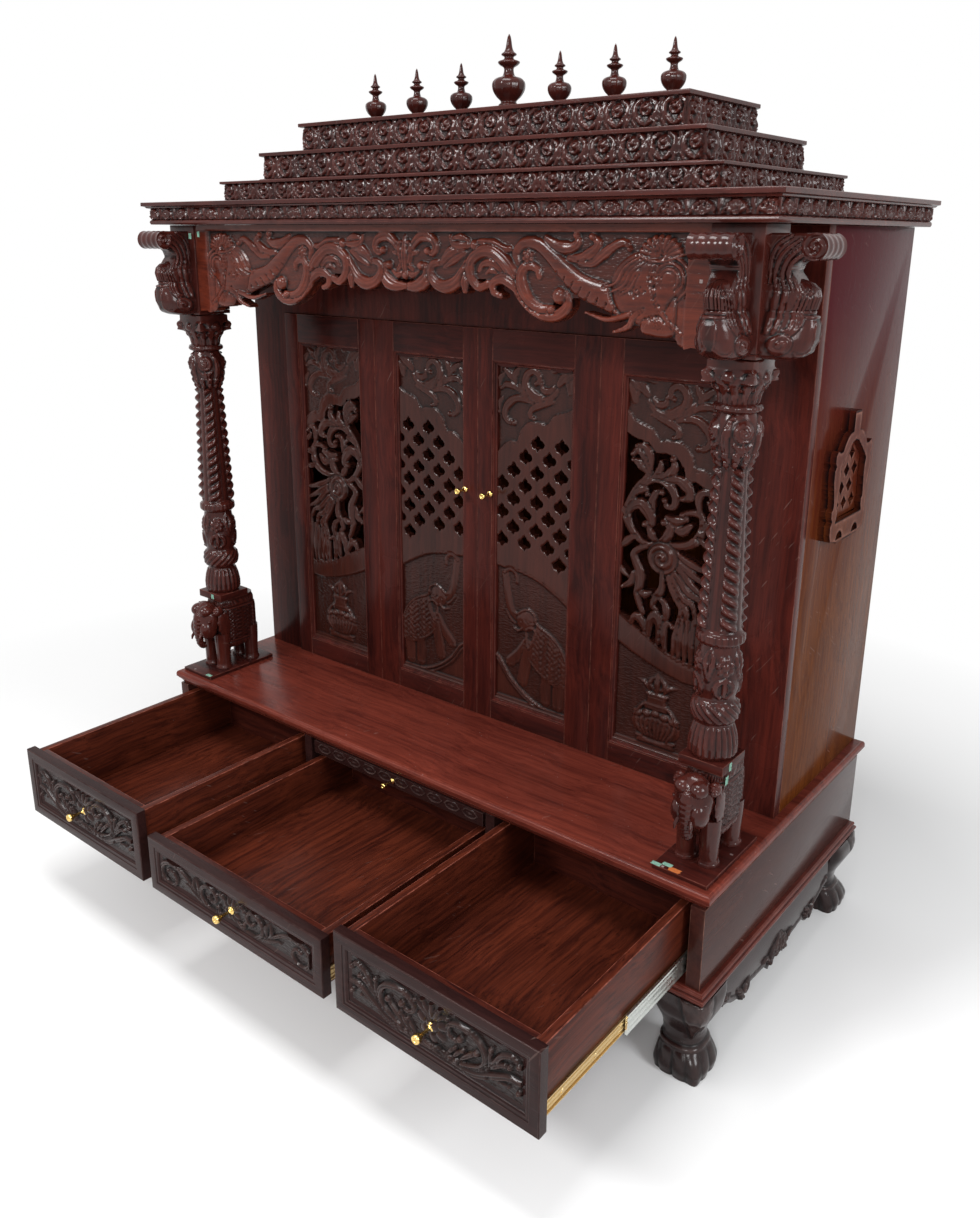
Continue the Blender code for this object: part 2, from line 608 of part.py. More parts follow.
def build_cabinet():
    """Side panels with framed windows, back, and the front frame round the doors."""
    z = (up(GAP), up(CAB_TOP))
    y0 = CAB_FRONT + CAB_WALL + GAP
    deep = CAB_BACK - y0
    window_y = (y0 + CAB_BACK) / 2 + WINDOW_SHIFT * deep

    def ring(half):
        """Whole outline of the window from its half."""
        full = half + [(-u, v) for u, v in reversed(half)]
        return [(window_y + u * deep, up(WINDOW_Z + v)) for u, v in full]

    for s, tag in ((1, "r"), (-1, "l")):
        side = box("cab_side_" + tag, sorted((s * (CAB_HALF - CAB_WALL), s * CAB_HALF)),
                   (y0, CAB_BACK), z, "panel")
        cut(side, outline("wall_arch_" + tag, ring(WINDOW_ARCH), 2 * CAB_WALL,
                          facing_side(s * (CAB_HALF - CAB_WALL / 2)), cutter=True))
        window = outline("window_" + tag, ring(WINDOW_EDGE), WINDOW_PROUD - GAP,
                         facing_side(s * (CAB_HALF + (WINDOW_PROUD + GAP) / 2)), "panel")
        bm = bmesh.new()
        for u, v in WINDOW_HOLES:
            h = WINDOW_HOLE
            made = put_box(bm, (-0.04, 0.04), (-h, h), (-h, h))
            mat = Matrix.Translation((s * CAB_HALF, window_y + u * deep, up(WINDOW_Z + v)))
            mat = mat @ Matrix.Rotation(math.radians(45), 4, "X")
            bmesh.ops.transform(bm, matrix=mat, verts=made)
        cut(window, add_mesh("window_holes_" + tag, bm, cutter=True))
        cut(window, outline("window_arch_" + tag, ring(WINDOW_ARCH), 2 * WINDOW_DEEP,
                            facing_side(s * (CAB_HALF + WINDOW_PROUD)), cutter=True))
    inner = CAB_HALF - CAB_WALL - GAP
    box("cab_back", (-inner, inner), (CAB_BACK - 0.016, CAB_BACK), z, "panel")
    front = box("cab_front", (-CAB_HALF, CAB_HALF), (CAB_FRONT, CAB_FRONT + CAB_WALL), z, "panel")
    cut(front, box("door_hole", (-JAMB_IN, JAMB_IN), (CAB_FRONT - 0.02, CAB_FRONT + 0.08),
                   (up(-0.05), up(DOOR_TOP)), cutter=True))


def inside(p, ring):
    """Whether a flat point lies in a closed outline."""
    x, y = p
    hit = False
    for (ax, ay), (bx, by) in zip(ring, ring[1:] + ring[:1]):
        if (ay > y) != (by > y) and x < (bx - ax) * (y - ay) / (by - ay) + ax:
            hit = not hit
    return hit


def arch_line(low, peak, rise=0.0):
    """Lobed half arch across a recess, from its low side up to the fold side."""
    pts = []
    wide = peak - low
    for (f0, z0), (f1, z1), bulge in zip(ARCH_CUSPS, ARCH_CUSPS[1:], ARCH_BULGE):
        ax, az, bx, bz = low + wide * f0, DOOR_TOP * z0, low + wide * f1, DOOR_TOP * z1
        long = math.hypot(bx - ax, bz - az)
        nx, nz = -(bz - az) / long, abs(bx - ax) / long
        nx = math.copysign(nx, -wide)
        for i in range(4):
            t = i / 4
            push = bulge * abs(wide) * 4 * t * (1 - t)
            pts.append((ax + (bx - ax) * t + nx * push, az + (bz - az) * t + nz * push + rise))
    pts.append((peak, DOOR_TOP * ARCH_CUSPS[-1][1] + rise))
    return pts


def band_line(x0, x1, below=False):
    """Top, or bottom, edge of the long curved band between two places across the doors."""
    share, top, tall = zip(*BAND)
    pts = []
    for i in range(7):
        x = x0 + (x1 - x0) * i / 6
        f = abs(x) / LEAF_EDGE
        z = np.interp(f, share, top) - (np.interp(f, share, tall) if below else 0.0)
        pts.append((x, float(z) * DOOR_TOP))
    return pts


def field(name, pts):
    """Cutter that sinks one carved field a little under the bands."""
    floor = LEAF_Y + RECESS_DEPTH
    return outline(name, [(x, up(z)) for x, z in pts], 2 * FIELD_DEPTH, facing_front(floor), cutter=True)


def build_doors():
    """Four leaves, each a recessed frame with a lobed arch, a pierced panel and a lower field."""
    leaf_z = (up(LEAF_CLEAR), up(DOOR_TOP - LEAF_CLEAR))
    low, high = RAIL_LOW_H, DOOR_TOP - RAIL_TOP_H
    for s, inner_name, outer_name in ((1, "leaf_3", "leaf_4"), (-1, "leaf_2", "leaf_1")):
        spans = ((inner_name, GAP, LEAF_SPLIT - GAP / 2, STILE, STILE_FOLD),
                 (outer_name, LEAF_SPLIT + GAP / 2, LEAF_EDGE, STILE_FOLD, STILE))
        for name, a, b, in_a, in_b in spans:
            leaf = box(name, sorted((s * a, s * b)), (LEAF_Y, LEAF_Y + LEAF_THICK), leaf_z, "panel")
            near, far = a + in_a, b - in_b
            cut(leaf, box(name + "_recess", sorted((s * near, s * far)),
                          (LEAF_Y - 0.02, LEAF_Y + RECESS_DEPTH), (up(low), up(high)), cutter=True))
            side, peak = (near, far) if name == inner_name else (far, near)
            arch = arch_line(side, peak)
            crown = arch_line(side, peak, ARCH_BAND)
            cut(leaf, field(name + "_spandrel", [(s * x, z) for x, z in crown]
                            + [(s * peak, high), (s * side, high)]))
            foot = band_line(side, peak, below=True)
            cut(leaf, field(name + "_lower", [(s * side, low), (s * peak, low)]
                            + [(s * x, z) for x, z in reversed(foot)]))
            edge = band_line(peak, side)
            if name == inner_name:
                pierce = arch + edge
                bm = bmesh.new()
                for i in range(int((far - near) / LATTICE_STEP)):
                    for j in range(-9, 10):
                        cx = near + LATTICE_STEP * (i + 0.6)
                        cz = 0.7 * DOOR_TOP + 1.03 * LATTICE_STEP * (2 * j + i % 2)
                        ends = [(cx + dx, cz + dz) for dx, dz in ((0, 0), (0, 0.019), (0, -0.021),
                                                                  (0.014, 0.004), (-0.014, 0.004))]
                        if not all(inside(p, pierce) for p in ends):
                            continue
                        h = LATTICE_HOLE
                        made = put_box(bm, (-h, h), (-0.04, 0.04), (-h, h))
                        mat = Matrix.Translation((s * cx, LEAF_Y + LEAF_THICK / 2, up(cz)))
                        mat = mat @ Matrix.Rotation(math.radians(45), 4, "Y")
                        bmesh.ops.transform(bm, matrix=mat, verts=made)
                cut(leaf, add_mesh(name + "_holes", bm, cutter=True))
                knob("knob_" + name, (s * LEAF_KNOB_X, LEAF_Y - GAP, up(LEAF_KNOB_Z)), 0.9, 0.030)
            else:
                pts = [(s * x, up(z)) for x, z in arch + edge]
                cut(leaf, outline(name + "_arch", pts, 0.12, facing_front(LEAF_Y + 0.01),
                                  cutter=True))
                mid = LEAF_Y + (RECESS_DEPTH + LEAF_THICK) / 2

                scrolls = bmesh.new()
                wide = far - near
                bump(scrolls, (s * (near + 0.50 * wide), mid, up(0.517 * DOOR_TOP)),
                     (BIRD_HALF * wide, 0.010, BIRD_HALF * wide), u=8, v=6)
                for k, line in enumerate(SCROLLS):
                    swept(scrolls, [(s * (near + u * wide), mid, up(v * DOOR_TOP), r * wide,
                                     SCROLL_THICK + 0.00013 * k) for u, v, r in line], 5)
                join(leaf, add_mesh(name + "_scrolls", scrolls, cutter=True), own=True)


# Porch

# Turned outline of a column, from top to bottom: radius, share of its height
COLUMN = [(0.040, 1.000), (0.054, 0.992), (0.056, 0.970), (0.044, 0.946), (0.036, 0.905),
          (0.039, 0.890), (0.036, 0.872), (0.0405, 0.850), (0.039, 0.810),
          (0.031, 0.783), (0.037, 0.765), (0.028, 0.749), (0.0375, 0.340),
          (0.041, 0.330), (0.037, 0.305), (0.041, 0.262), (0.039, 0.205),
          (0.032, 0.160), (0.041, 0.140), (0.041, 0.115), (0.033, 0.097), (0.041, 0.068),
          (0.0415, 0.038), (0.036, 0.010), (0.038, 0.000)]
SHAFT = (0.33, 0.76)
ROPE_PROUD = 0.09       # the four rope strands stand out at the corners of the shaft


def build_columns():
    """Two turned columns with rope corners under the hanging posts."""
    low, high = up(SLAB_HIGH) + GAP, up(POST_LOW) - GAP
    sides = 16
    for s, tag in ((1, "r"), (-1, "l")):
        rings = []
        for r, share in COLUMN:
            ring = []
            for k in range(sides):
                a = math.tau * k / sides
                wide = r * (1 - ROPE_PROUD * math.cos(4 * a)) if SHAFT[0] < share < SHAFT[1] else r
                ring.append((s * COL_X + wide * math.cos(a), COL_Y + wide * math.sin(a),
                             low + (high - low) * share))
            rings.append(ring)
        bm = bmesh.new()
        lofted(bm, rings)
        add_mesh("column_" + tag, bm, "carved")


def build_elephants():
    """Two standing elephants that carry the columns, each on its plate under a square slab."""
    for s, tag in ((1, "r"), (-1, "l")):
        plate = box("elephant_" + tag, sorted((s * PLATE_IN, s * PLATE_OUT)),
                    (PLATE_FRONT, PLATE_BACK), (up(GAP), up(PLATE_H)), "carved")

        def slab(bm):
            put_box(bm, (COL_X - SLAB_HALF, COL_X + SLAB_HALF), (COL_Y - SLAB_HALF, COL_Y + SLAB_HALF),
                    (up(SLAB_LOW), up(SLAB_HIGH)))

        def torso(bm):
            bump(bm, (COL_X, COL_Y + 0.020, up(0.112)), (0.043, 0.064, 0.052), u=10, v=6)

        def crown(bm):
            bump(bm, (COL_X, COL_Y, up(0.158)), (0.038, 0.052, 0.044), u=10, v=5)

        def cloth(bm):
            put_box(bm, (COL_X - 0.042, COL_X + 0.042), (COL_Y - 0.006, COL_Y + 0.070),
                    (up(0.066), up(0.150)))

        def head(bm):
            bump(bm, (COL_X, PLATE_FRONT + 0.042, up(0.136)), (0.031, 0.030, 0.038), u=8, v=6)

        def trunk(bm):
            y = PLATE_FRONT + 0.026
            swept(bm, [(COL_X, y + 0.010, up(0.140), 0.021, 0.021),
                       (COL_X, y - 0.005, up(0.108), 0.017, 0.017),
                       (COL_X, y - 0.004, up(0.070), 0.011, 0.011),
                       (COL_X, y - 0.008, up(0.048), 0.008, 0.007)], 7)

        makers = [slab, torso, crown, cloth, head, trunk]
        for dx in (-0.034, 0.034):
            def ear(bm, dx=dx):
                bump(bm, (COL_X + dx, PLATE_FRONT + 0.062, up(0.132)), (0.009, 0.022, 0.032), u=6, v=5)
            makers.append(ear)
        for dx in (-0.024, 0.024):
            for y in (COL_Y - 0.026, COL_Y + 0.058):
                def leg(bm, dx=dx, y=y):
                    swept(bm, [(COL_X + dx, y, up(0.115), 0.019, 0.020),
                               (COL_X + dx, y, up(0.050), 0.015, 0.016),
                               (COL_X + dx, y, up(0.004), 0.018, 0.019)], 7)
                makers.append(leg)
        fused("elephant_" + tag, makers, "carved", s, plate)


# Side view of a hanging bracket: out from the post, height
BRACKET = [(0.0, 1.070), (0.060, 1.070), (0.066, 1.036), (0.050, 1.028), (0.038, 1.017),
           (0.046, 1.006), (0.066, 1.002), (0.072, 0.975), (0.078, 0.945), (0.078, 0.920),
           (0.068, 0.898), (0.046, 0.887), (0.0, 0.887)]


def build_posts():
    """Square hanging posts with a bird scroll bracket on the front and on the outer side."""
    mid_x, mid_y = (POST_IN + POST_OUT) / 2, (POST_FRONT + POST_BACK) / 2
    root = 0.006
    for s, tag in ((1, "r"), (-1, "l")):
        post = box("post_" + tag, sorted((s * POST_IN, s * POST_OUT)), (POST_FRONT, POST_BACK),
                   (up(POST_LOW), up(CAB_TOP)), "carved")

        def side_at(u, w, z, s=s):
            return (s * (POST_OUT + u), mid_y + w, up(z))

        def front_at(u, w, z, s=s):
            return (s * mid_x + w, POST_FRONT - u, up(z))

        for way, at in (("side", side_at), ("front", front_at)):
            flat = [(u if u else -root, v) for u, v in BRACKET]
            if way == "side":
                pts = [(s * (POST_OUT + u), up(v)) for u, v in flat]
                place = facing_front(mid_y)
            else:
                pts = [(POST_FRONT - u, up(v)) for u, v in flat]
                place = facing_side(s * mid_x)
            join(post, outline("bracket_%s_%s" % (way, tag), pts, BRACKET_WIDE, place, cutter=True))
            for k, (u, z, r, half) in enumerate(((0.072, 1.0525, 0.0185, 0.036),
                                                 (0.030, 0.908, 0.0190, 0.031))):
                rings = [[at(u + r * math.cos(math.tau * i / 10), w, z + r * math.sin(math.tau * i / 10))
                          for i in range(10)] for w in (-half, half)]
                bm = filled(lambda bm, rings=rings: lofted(bm, rings))
                join(post, add_mesh("roll%d_%s_%s" % (k, way, tag), bm, cutter=True))
            for k, (u, z, ru, rw, rz) in enumerate(((0.052, 0.940, 0.034, 0.033, 0.048),
                                                    (0.060, 0.997, 0.023, 0.026, 0.017))):
                radii = (ru, rw, rz) if way == "side" else (rw, ru, rz)
                bm = filled(lambda bm, u=u, z=z, radii=radii: bump(bm, at(u, 0.0, z), radii, u=8, v=6))
                join(post, add_mesh("bird%d_%s_%s" % (k, way, tag), bm, cutter=True))


FASCIA_EDGE = [(0.0, 0.965), (0.026, 0.970), (0.043, 0.985), (0.058, 0.988), (0.073, 0.974),
               (0.099, 0.967), (0.122, 0.978), (0.140, 0.982), (0.152, 0.966), (0.166, 0.980),
               (0.191, 0.970), (0.214, 0.972), (0.230, 0.956), (0.262, 0.967), (0.285, 0.943),
               (0.312, 0.928), (0.340, 0.932), (0.362, 0.949), (0.394, 0.941), (0.440, 0.926),
               (0.470, 0.908), (0.520, 0.903), (0.560, 0.902), (0.600, 0.890)]


def build_fascia():
    """Scalloped board between the posts."""
    end = POST_IN - GAP
    right = FASCIA_EDGE + [(end, 0.889), (end, CAB_TOP)]
    left = [(-u, v) for u, v in reversed(right)]
    pts = [(u, up(v)) for u, v in right + left[:-1]]
    outline("fascia", pts, FASCIA_THICK, facing_front(FASCIA_Y + FASCIA_THICK / 2), "carved")


def build_roof():
    """Cornice, three stepped tiers and the row of finials."""
    low, high = up(CORNICE_LOW), up(CORNICE_LOW + CORNICE_THICK)
    moulded("cornice", CORNICE_HALF, CORNICE_FRONT, BASE_DEPTH,
            [(0.014, low), (0.012, low + 0.004), (0.013, low + 0.008), (0.018, low + 0.014),
             (0.014, low + 0.028), (0.008, low + 0.035), (0.006, high - 0.0095),
             (0.0, high - 0.008), (0.0, high - 0.001), (0.001, high)], "carved")
    half, front, back, below = CORNICE_HALF, CORNICE_FRONT, BASE_DEPTH, high
    for i, (ends, ahead, behind, rise) in enumerate(TIER_STEPS):
        half, front, back = half - ends, front + ahead, back - behind
        z0, z1 = below + GAP, below + rise
        tall = z1 - z0
        obj = moulded("tier_%d" % (i + 1), half, front, back,
                      [(-0.002, z0), (-0.004, z0 + 0.003), (0.000, z0 + 0.005),
                       (0.012, z0 + 0.3 * tall), (0.012, z0 + 0.55 * tall), (0.004, z1 - 0.009),
                       (0.0, z1 - 0.007), (0.0, z1 - 0.001), (0.001, z1)], "carved")
        below = z1
    pitch = (half - FINIAL_END) / FINIAL_PAIRS
    for k in range(-FINIAL_PAIRS, FINIAL_PAIRS + 1):
        t, w = (FINIAL_TIP, FINIAL_R) if k else (FINIAL_BIG_TIP, FINIAL_BIG_R)
        prof = [(0, t), (0.12 * w, 0.93 * t), (0.44 * w, 0.74 * t), (0.30 * w, 0.71 * t),
                (0.62 * w, 0.66 * t), (0.30 * w, 0.60 * t), (0.32 * w, 0.52 * t), (0.85 * w, 0.44 * t),
                (1.0 * w, 0.34 * t), (0.78 * w, 0.22 * t), (0.52 * w, 0.17 * t), (0.62 * w, 0.10 * t),
                (0.62 * w, -0.004), (0, -0.004)]
        join(obj, lathe("finial_%d" % (k + FINIAL_PAIRS + 1), [(r, below + h) for r, h in prof], 7,
                        None, (k * pitch, (front + back) / 2, 0), cutter=True))


build_base()
build_tray()
side_a = DIV_IN + DIV_THICK + SLIDE_CLEAR
side_b = SIDE_OUT - SIDE_THICK - SLIDE_CLEAR
drawer("r", side_a, side_b, FRONT_HIGH)
drawer("l", -side_b, -side_a, FRONT_HIGH)
drawer("c", -(DIV_IN - SLIDE_CLEAR), DIV_IN - SLIDE_CLEAR, CENTRE_HIGH)
build_feet()
build_aprons()
build_cabinet()
build_doors()
build_columns()
build_elephants()
build_posts()
build_fascia()
build_roof()

# Set the origin under the middle of the bounding box
for obj in list(part.objects) + list(tools.objects):
    obj.data.transform(Matrix.Translation((0, SHIFT_Y, 0)))
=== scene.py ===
"""Looks of a carved home shrine cabinet with pulled-out drawers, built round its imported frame."""
import logging
import math
import re
from contextlib import contextmanager
from dataclasses import dataclass
from enum import Enum
from typing import Callable, Iterator, Optional, Sequence

import bmesh
import bpy
import numpy as np
from mathutils import Matrix, Vector

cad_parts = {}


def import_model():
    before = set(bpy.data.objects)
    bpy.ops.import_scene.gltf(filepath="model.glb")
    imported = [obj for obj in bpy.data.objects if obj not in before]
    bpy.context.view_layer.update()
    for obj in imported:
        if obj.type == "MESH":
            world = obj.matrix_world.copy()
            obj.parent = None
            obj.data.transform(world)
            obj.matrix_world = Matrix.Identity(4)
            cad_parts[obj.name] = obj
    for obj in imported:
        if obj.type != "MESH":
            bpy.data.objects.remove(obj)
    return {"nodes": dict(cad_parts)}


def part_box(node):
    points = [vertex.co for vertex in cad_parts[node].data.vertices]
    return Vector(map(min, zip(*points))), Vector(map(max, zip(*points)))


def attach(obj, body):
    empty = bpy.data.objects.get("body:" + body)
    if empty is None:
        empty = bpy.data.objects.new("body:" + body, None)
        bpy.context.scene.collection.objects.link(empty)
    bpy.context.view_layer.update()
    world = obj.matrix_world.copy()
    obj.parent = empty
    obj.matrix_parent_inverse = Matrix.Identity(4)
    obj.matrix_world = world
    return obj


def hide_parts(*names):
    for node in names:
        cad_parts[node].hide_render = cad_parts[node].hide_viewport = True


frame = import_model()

LOG = logging.getLogger("shrine")
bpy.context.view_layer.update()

FLOOR_TO_TOP = 0.394    # top face of the base board over the floor
SHIFT_Y = -0.1395       # front edge of the base board in the frame
CASE_LOW = -0.2193      # tops of the feet and aprons under the base board
# Relief value of a softened edge: the finish paints it lighter, as rubbing with a painted
# highlight.
RUBBED_HIGHLIGHT = 0.75           # ridge value of a softened edge
FLAT = (1.0, 1.0, 1.0)  # taper of a stroke that keeps its width

Rgb = tuple[float, float, float]
Path2 = Sequence[tuple[float, float]]


def world(x: float, y: float, z: float) -> Vector:
    """Frame point from one given against the front edge and the top face of the base board."""
    return Vector((x, y + SHIFT_Y, z + FLOOR_TO_TOP))


def smooth01(t: np.ndarray) -> np.ndarray:
    """Smooth step of values clipped to 0..1."""
    t = np.clip(t, 0.0, 1.0)
    return t * t * (3 - 2 * t)


def spline(points: Path2, per: int = 8) -> np.ndarray:
    """Smooth curve through control points.

    Args:
        points: control points, any number of columns.
        per: steps between two control points.

    Returns:
        One row per step, with the last control point at the end.
    """
    p = np.asarray(points, float)
    if len(p) < 3:
        t = np.linspace(0, 1, per + 1)[:, None]
        return p[0] * (1 - t) + p[-1] * t
    ext = np.vstack([2 * p[0] - p[1], p, 2 * p[-1] - p[-2]])
    rows = []
    for i in range(1, len(ext) - 2):
        a, b, c, d = ext[i - 1:i + 3]
        t = np.linspace(0, 1, per, endpoint=False)[:, None]
        rows.append(0.5 * (2 * b + (c - a) * t + (2 * a - 5 * b + 4 * c - d) * t ** 2
                           + (3 * b - a - 3 * c + d) * t ** 3))
    rows.append(p[-1:])
    return np.vstack(rows)


def blur(values: np.ndarray, radius: float) -> np.ndarray:
    """Gaussian blur of a grid, radius in cells."""
    n = max(1, int(radius * 2.5))
    k = np.exp(-0.5 * (np.arange(-n, n + 1) / radius) ** 2)
    k /= k.sum()
    out = values
    for axis in (0, 1):
        pad = [(0, 0), (0, 0)]
        pad[axis] = (n, n)
        wide = np.pad(out, pad, mode="edge")
        acc = np.zeros_like(out)
        for i, w in enumerate(k):
            sl = [slice(None), slice(None)]
            sl[axis] = slice(i, i + out.shape[axis])
            acc += w * wide[tuple(sl)]
        out = acc
    return out


def points(text: str) -> list[tuple[float, ...]]:
    """Points from a text like "10 20, 12.5 30", in thousandths."""
    return [tuple(float(n + "e-3") for n in row.split()) for row in text.split(",")]


# Node groups shared by the finishes

def new_group(name: str, inputs: Sequence[tuple[str, str, object]],
              outputs: Sequence[tuple[str, str]]) -> bpy.types.NodeTree:
    """Empty shader group with named sockets.

    Args:
        name: group name.
        inputs: (name, socket kind, default) rows.
        outputs: (name, socket kind) rows.

    Returns:
        The group, with its input and output nodes in place.
    """
    group = bpy.data.node_groups.new(name, "ShaderNodeTree")
    for label, kind, default in inputs:
        sock = group.interface.new_socket(name=label, in_out="INPUT", socket_type=kind)
        sock.default_value = default
    for label, kind in outputs:
        group.interface.new_socket(name=label, in_out="OUTPUT", socket_type=kind)
    group.nodes.new("NodeGroupInput")
    group.nodes.new("NodeGroupOutput")
    return group


class Net:
    """Small helper that adds and links nodes in one tree."""

    def __init__(self, tree: bpy.types.NodeTree) -> None:
        """Keep the tree."""
        self.tree = tree

    def add(self, kind: str, **settings: object) -> bpy.types.Node:
        """New node with its properties set."""
        node = self.tree.nodes.new(kind)
        for key, value in settings.items():
            setattr(node, key, value)
        return node

    def link(self, source: object, target: object) -> None:
        """Link one output to one input."""
        self.tree.links.new(source, target)

    def put(self, value: object, target: bpy.types.NodeSocket) -> None:
        """Set an input to a constant, or link it to a socket."""
        if isinstance(value, bpy.types.NodeSocket):
            self.link(value, target)
        else:
            target.default_value = value

    def math(self, op: str, a: object, b: object = 0.0,
             clamp: bool = False) -> bpy.types.NodeSocket:
        """Output of a math node."""
        node = self.add("ShaderNodeMath", operation=op, use_clamp=clamp)
        self.put(a, node.inputs[0])
        self.put(b, node.inputs[1])
        return node.outputs[0]

    def ramp(self, value: object, low: float, high: float, to_low: float = 0.0,
             to_high: float = 1.0) -> bpy.types.NodeSocket:
        """Clamped linear map of a value."""
        node = self.add("ShaderNodeMapRange")
        self.put(value, node.inputs["Value"])
        for label, number in (("From Min", low), ("From Max", high), ("To Min", to_low),
                              ("To Max", to_high)):
            node.inputs[label].default_value = number
        return node.outputs[0]

    def mix(self, share: object, a: object, b: object) -> bpy.types.NodeSocket:
        """Mix of two colours."""
        node = self.add("ShaderNodeMix", data_type="RGBA")
        self.put(share, node.inputs[0])
        for value, sock in ((a, node.inputs[6]), (b, node.inputs[7])):
            if isinstance(value, tuple) and len(value) == 3:
                value = (*value, 1.0)
            self.put(value, sock)
        return node.outputs[2]

    def times(self, a: object, b: object, clamp: bool = False) -> bpy.types.NodeSocket:
        """Product of two values."""
        return self.math("MULTIPLY", a, b, clamp)

    def vector(self, op: str, a: object, b: object) -> bpy.types.NodeSocket:
        """Vector output of a vector math node."""
        node = self.add("ShaderNodeVectorMath", operation=op)
        self.put(a, node.inputs[0])
        self.put(b, node.inputs[1])
        return node.outputs[0]

    def bump(self, height: object, strength: float, distance: float) -> bpy.types.NodeSocket:
        """Normal from a height."""
        node = self.add("ShaderNodeBump")
        node.inputs["Strength"].default_value = strength
        node.inputs["Distance"].default_value = distance
        self.link(height, node.inputs["Height"])
        return node.outputs[0]

    def noise(self, vector: object, scale: float, detail: float = 3.0,
              rough: float = 0.55) -> bpy.types.NodeSocket:
        """Factor of a noise texture."""
        node = self.add("ShaderNodeTexNoise")
        self.put(vector, node.inputs["Vector"])
        for label, number in (("Scale", scale), ("Detail", detail), ("Roughness", rough)):
            node.inputs[label].default_value = number
        return node.outputs["Fac"]

    def inlet(self, label: str) -> bpy.types.NodeSocket:
        """Named input of the group that this tree is."""
        node = next(n for n in self.tree.nodes if n.bl_idname == "NodeGroupInput")
        return node.outputs[label]

    def outlet(self, label: str, source: object) -> None:
        """Link a named output of the group that this tree is."""
        node = next(n for n in self.tree.nodes if n.bl_idname == "NodeGroupOutput")
        self.link(source, node.inputs[label])

    def use(self, group: bpy.types.NodeTree, **values: object) -> bpy.types.Node:
        """Place a group, with underscores for spaces in the names of its inputs."""
        node = self.add("ShaderNodeGroup", node_tree=group)
        for key, value in values.items():
            self.put(value, node.inputs[key.replace("_", " ")])
        return node


def make_grain_group() -> bpy.types.NodeTree:
    """Wood grain: long streaks, broad bands and open pores along one axis."""
    group = new_group("wood_grain", [("Vector", "NodeSocketVector", (0, 0, 0)),
                                     ("Along", "NodeSocketVector", (1, 1, 1)),
                                     ("Depth", "NodeSocketFloat", 1.0)],
                      [("Streaks", "NodeSocketFloat"), ("Bands", "NodeSocketFloat"),
                       ("Pores", "NodeSocketFloat"), ("Height", "NodeSocketFloat")])
    net = Net(group)
    scaled = net.vector("MULTIPLY", net.inlet("Vector"), net.inlet("Along"))
    wander = net.times(net.noise(net.inlet("Vector"), 3.0, 2.0), 2.2)
    bend = net.vector("ADD", scaled, wander)
    streaks = net.noise(bend, 3.6, 4.0, 0.62)
    bands = net.noise(bend, 0.55, 2.0, 0.5)
    pores = net.ramp(net.noise(bend, 14.0, 2.0, 0.5), 0.60, 0.70)
    net.outlet("Streaks", streaks)
    net.outlet("Bands", bands)
    net.outlet("Pores", pores)
    height = net.math("SUBTRACT", net.times(streaks, 0.5), pores)
    net.outlet("Height", net.times(height, net.inlet("Depth")))
    return group


def make_relief_group() -> bpy.types.NodeTree:
    """Masks of carving from the stored relief value: ridges for wear with a painted highlight,
    broken up in rubbed patches, and grooves for painted shade.
    """
    group = new_group("carved_relief", [("Vector", "NodeSocketVector", (0, 0, 0)),
                                        ("Rub", "NodeSocketFloat", 1.0)],
                      [("RidgeHighlightWear", "NodeSocketFloat"), ("GrooveShade", "NodeSocketFloat")])
    net = Net(group)
    value = net.add("ShaderNodeAttribute", attribute_name="relief").outputs["Fac"]
    patch = net.ramp(net.noise(net.inlet("Vector"), 38.0, 4.0, 0.65), 0.34, 0.62)
    # The ridge mask paints ridges lighter, as wear with a painted highlight; the groove mask paints
    # grooves dark, as painted shade.
    ridge_highlight_wear = net.times(net.ramp(value, 0.08, 0.9), net.inlet("Rub"))
    net.outlet("RidgeHighlightWear", net.times(ridge_highlight_wear, patch, clamp=True))
    net.outlet("GrooveShade", net.ramp(value, -0.05, -0.8))
    return group


def make_age_group() -> bpy.types.NodeTree:
    """Age: dust specks, fine scratches and cloudy dull patches."""
    group = new_group("surface_age", [("Vector", "NodeSocketVector", (0, 0, 0)),
                                      ("Specks", "NodeSocketFloat", 0.5),
                                      ("Scratches", "NodeSocketFloat", 0.5)],
                      [("Dust", "NodeSocketFloat"), ("Scratch", "NodeSocketFloat"),
                       ("Cloud", "NodeSocketFloat")])
    net = Net(group)
    cells = net.add("ShaderNodeTexVoronoi", feature="F1")
    net.link(net.inlet("Vector"), cells.inputs["Vector"])
    cells.inputs["Scale"].default_value = 85.0
    dot = net.ramp(cells.outputs["Distance"], 0.06, 0.03)
    gate = net.ramp(net.noise(net.inlet("Vector"), 9.0, 3.0), 0.56, 0.66)
    dust = net.times(net.times(dot, gate), net.inlet("Specks"), clamp=True)
    net.outlet("Dust", dust)
    aslant = net.add("ShaderNodeVectorRotate", rotation_type="EULER_XYZ")
    net.link(net.inlet("Vector"), aslant.inputs["Vector"])
    aslant.inputs["Rotation"].default_value = (0.6, 0.9, 0.5)
    lines = net.vector("MULTIPLY", aslant.outputs[0], (4.0, 5.0, 60.0))
    scratch = net.ramp(net.noise(lines, 5.0, 2.0, 0.4), 0.70, 0.735)
    keep = net.ramp(net.noise(net.inlet("Vector"), 5.0, 2.0), 0.50, 0.62)
    net.outlet("Scratch", net.times(net.times(scratch, keep),
                                   net.inlet("Scratches"), clamp=True))
    net.outlet("Cloud", net.noise(net.inlet("Vector"), 4.5, 3.0, 0.6))
    return group


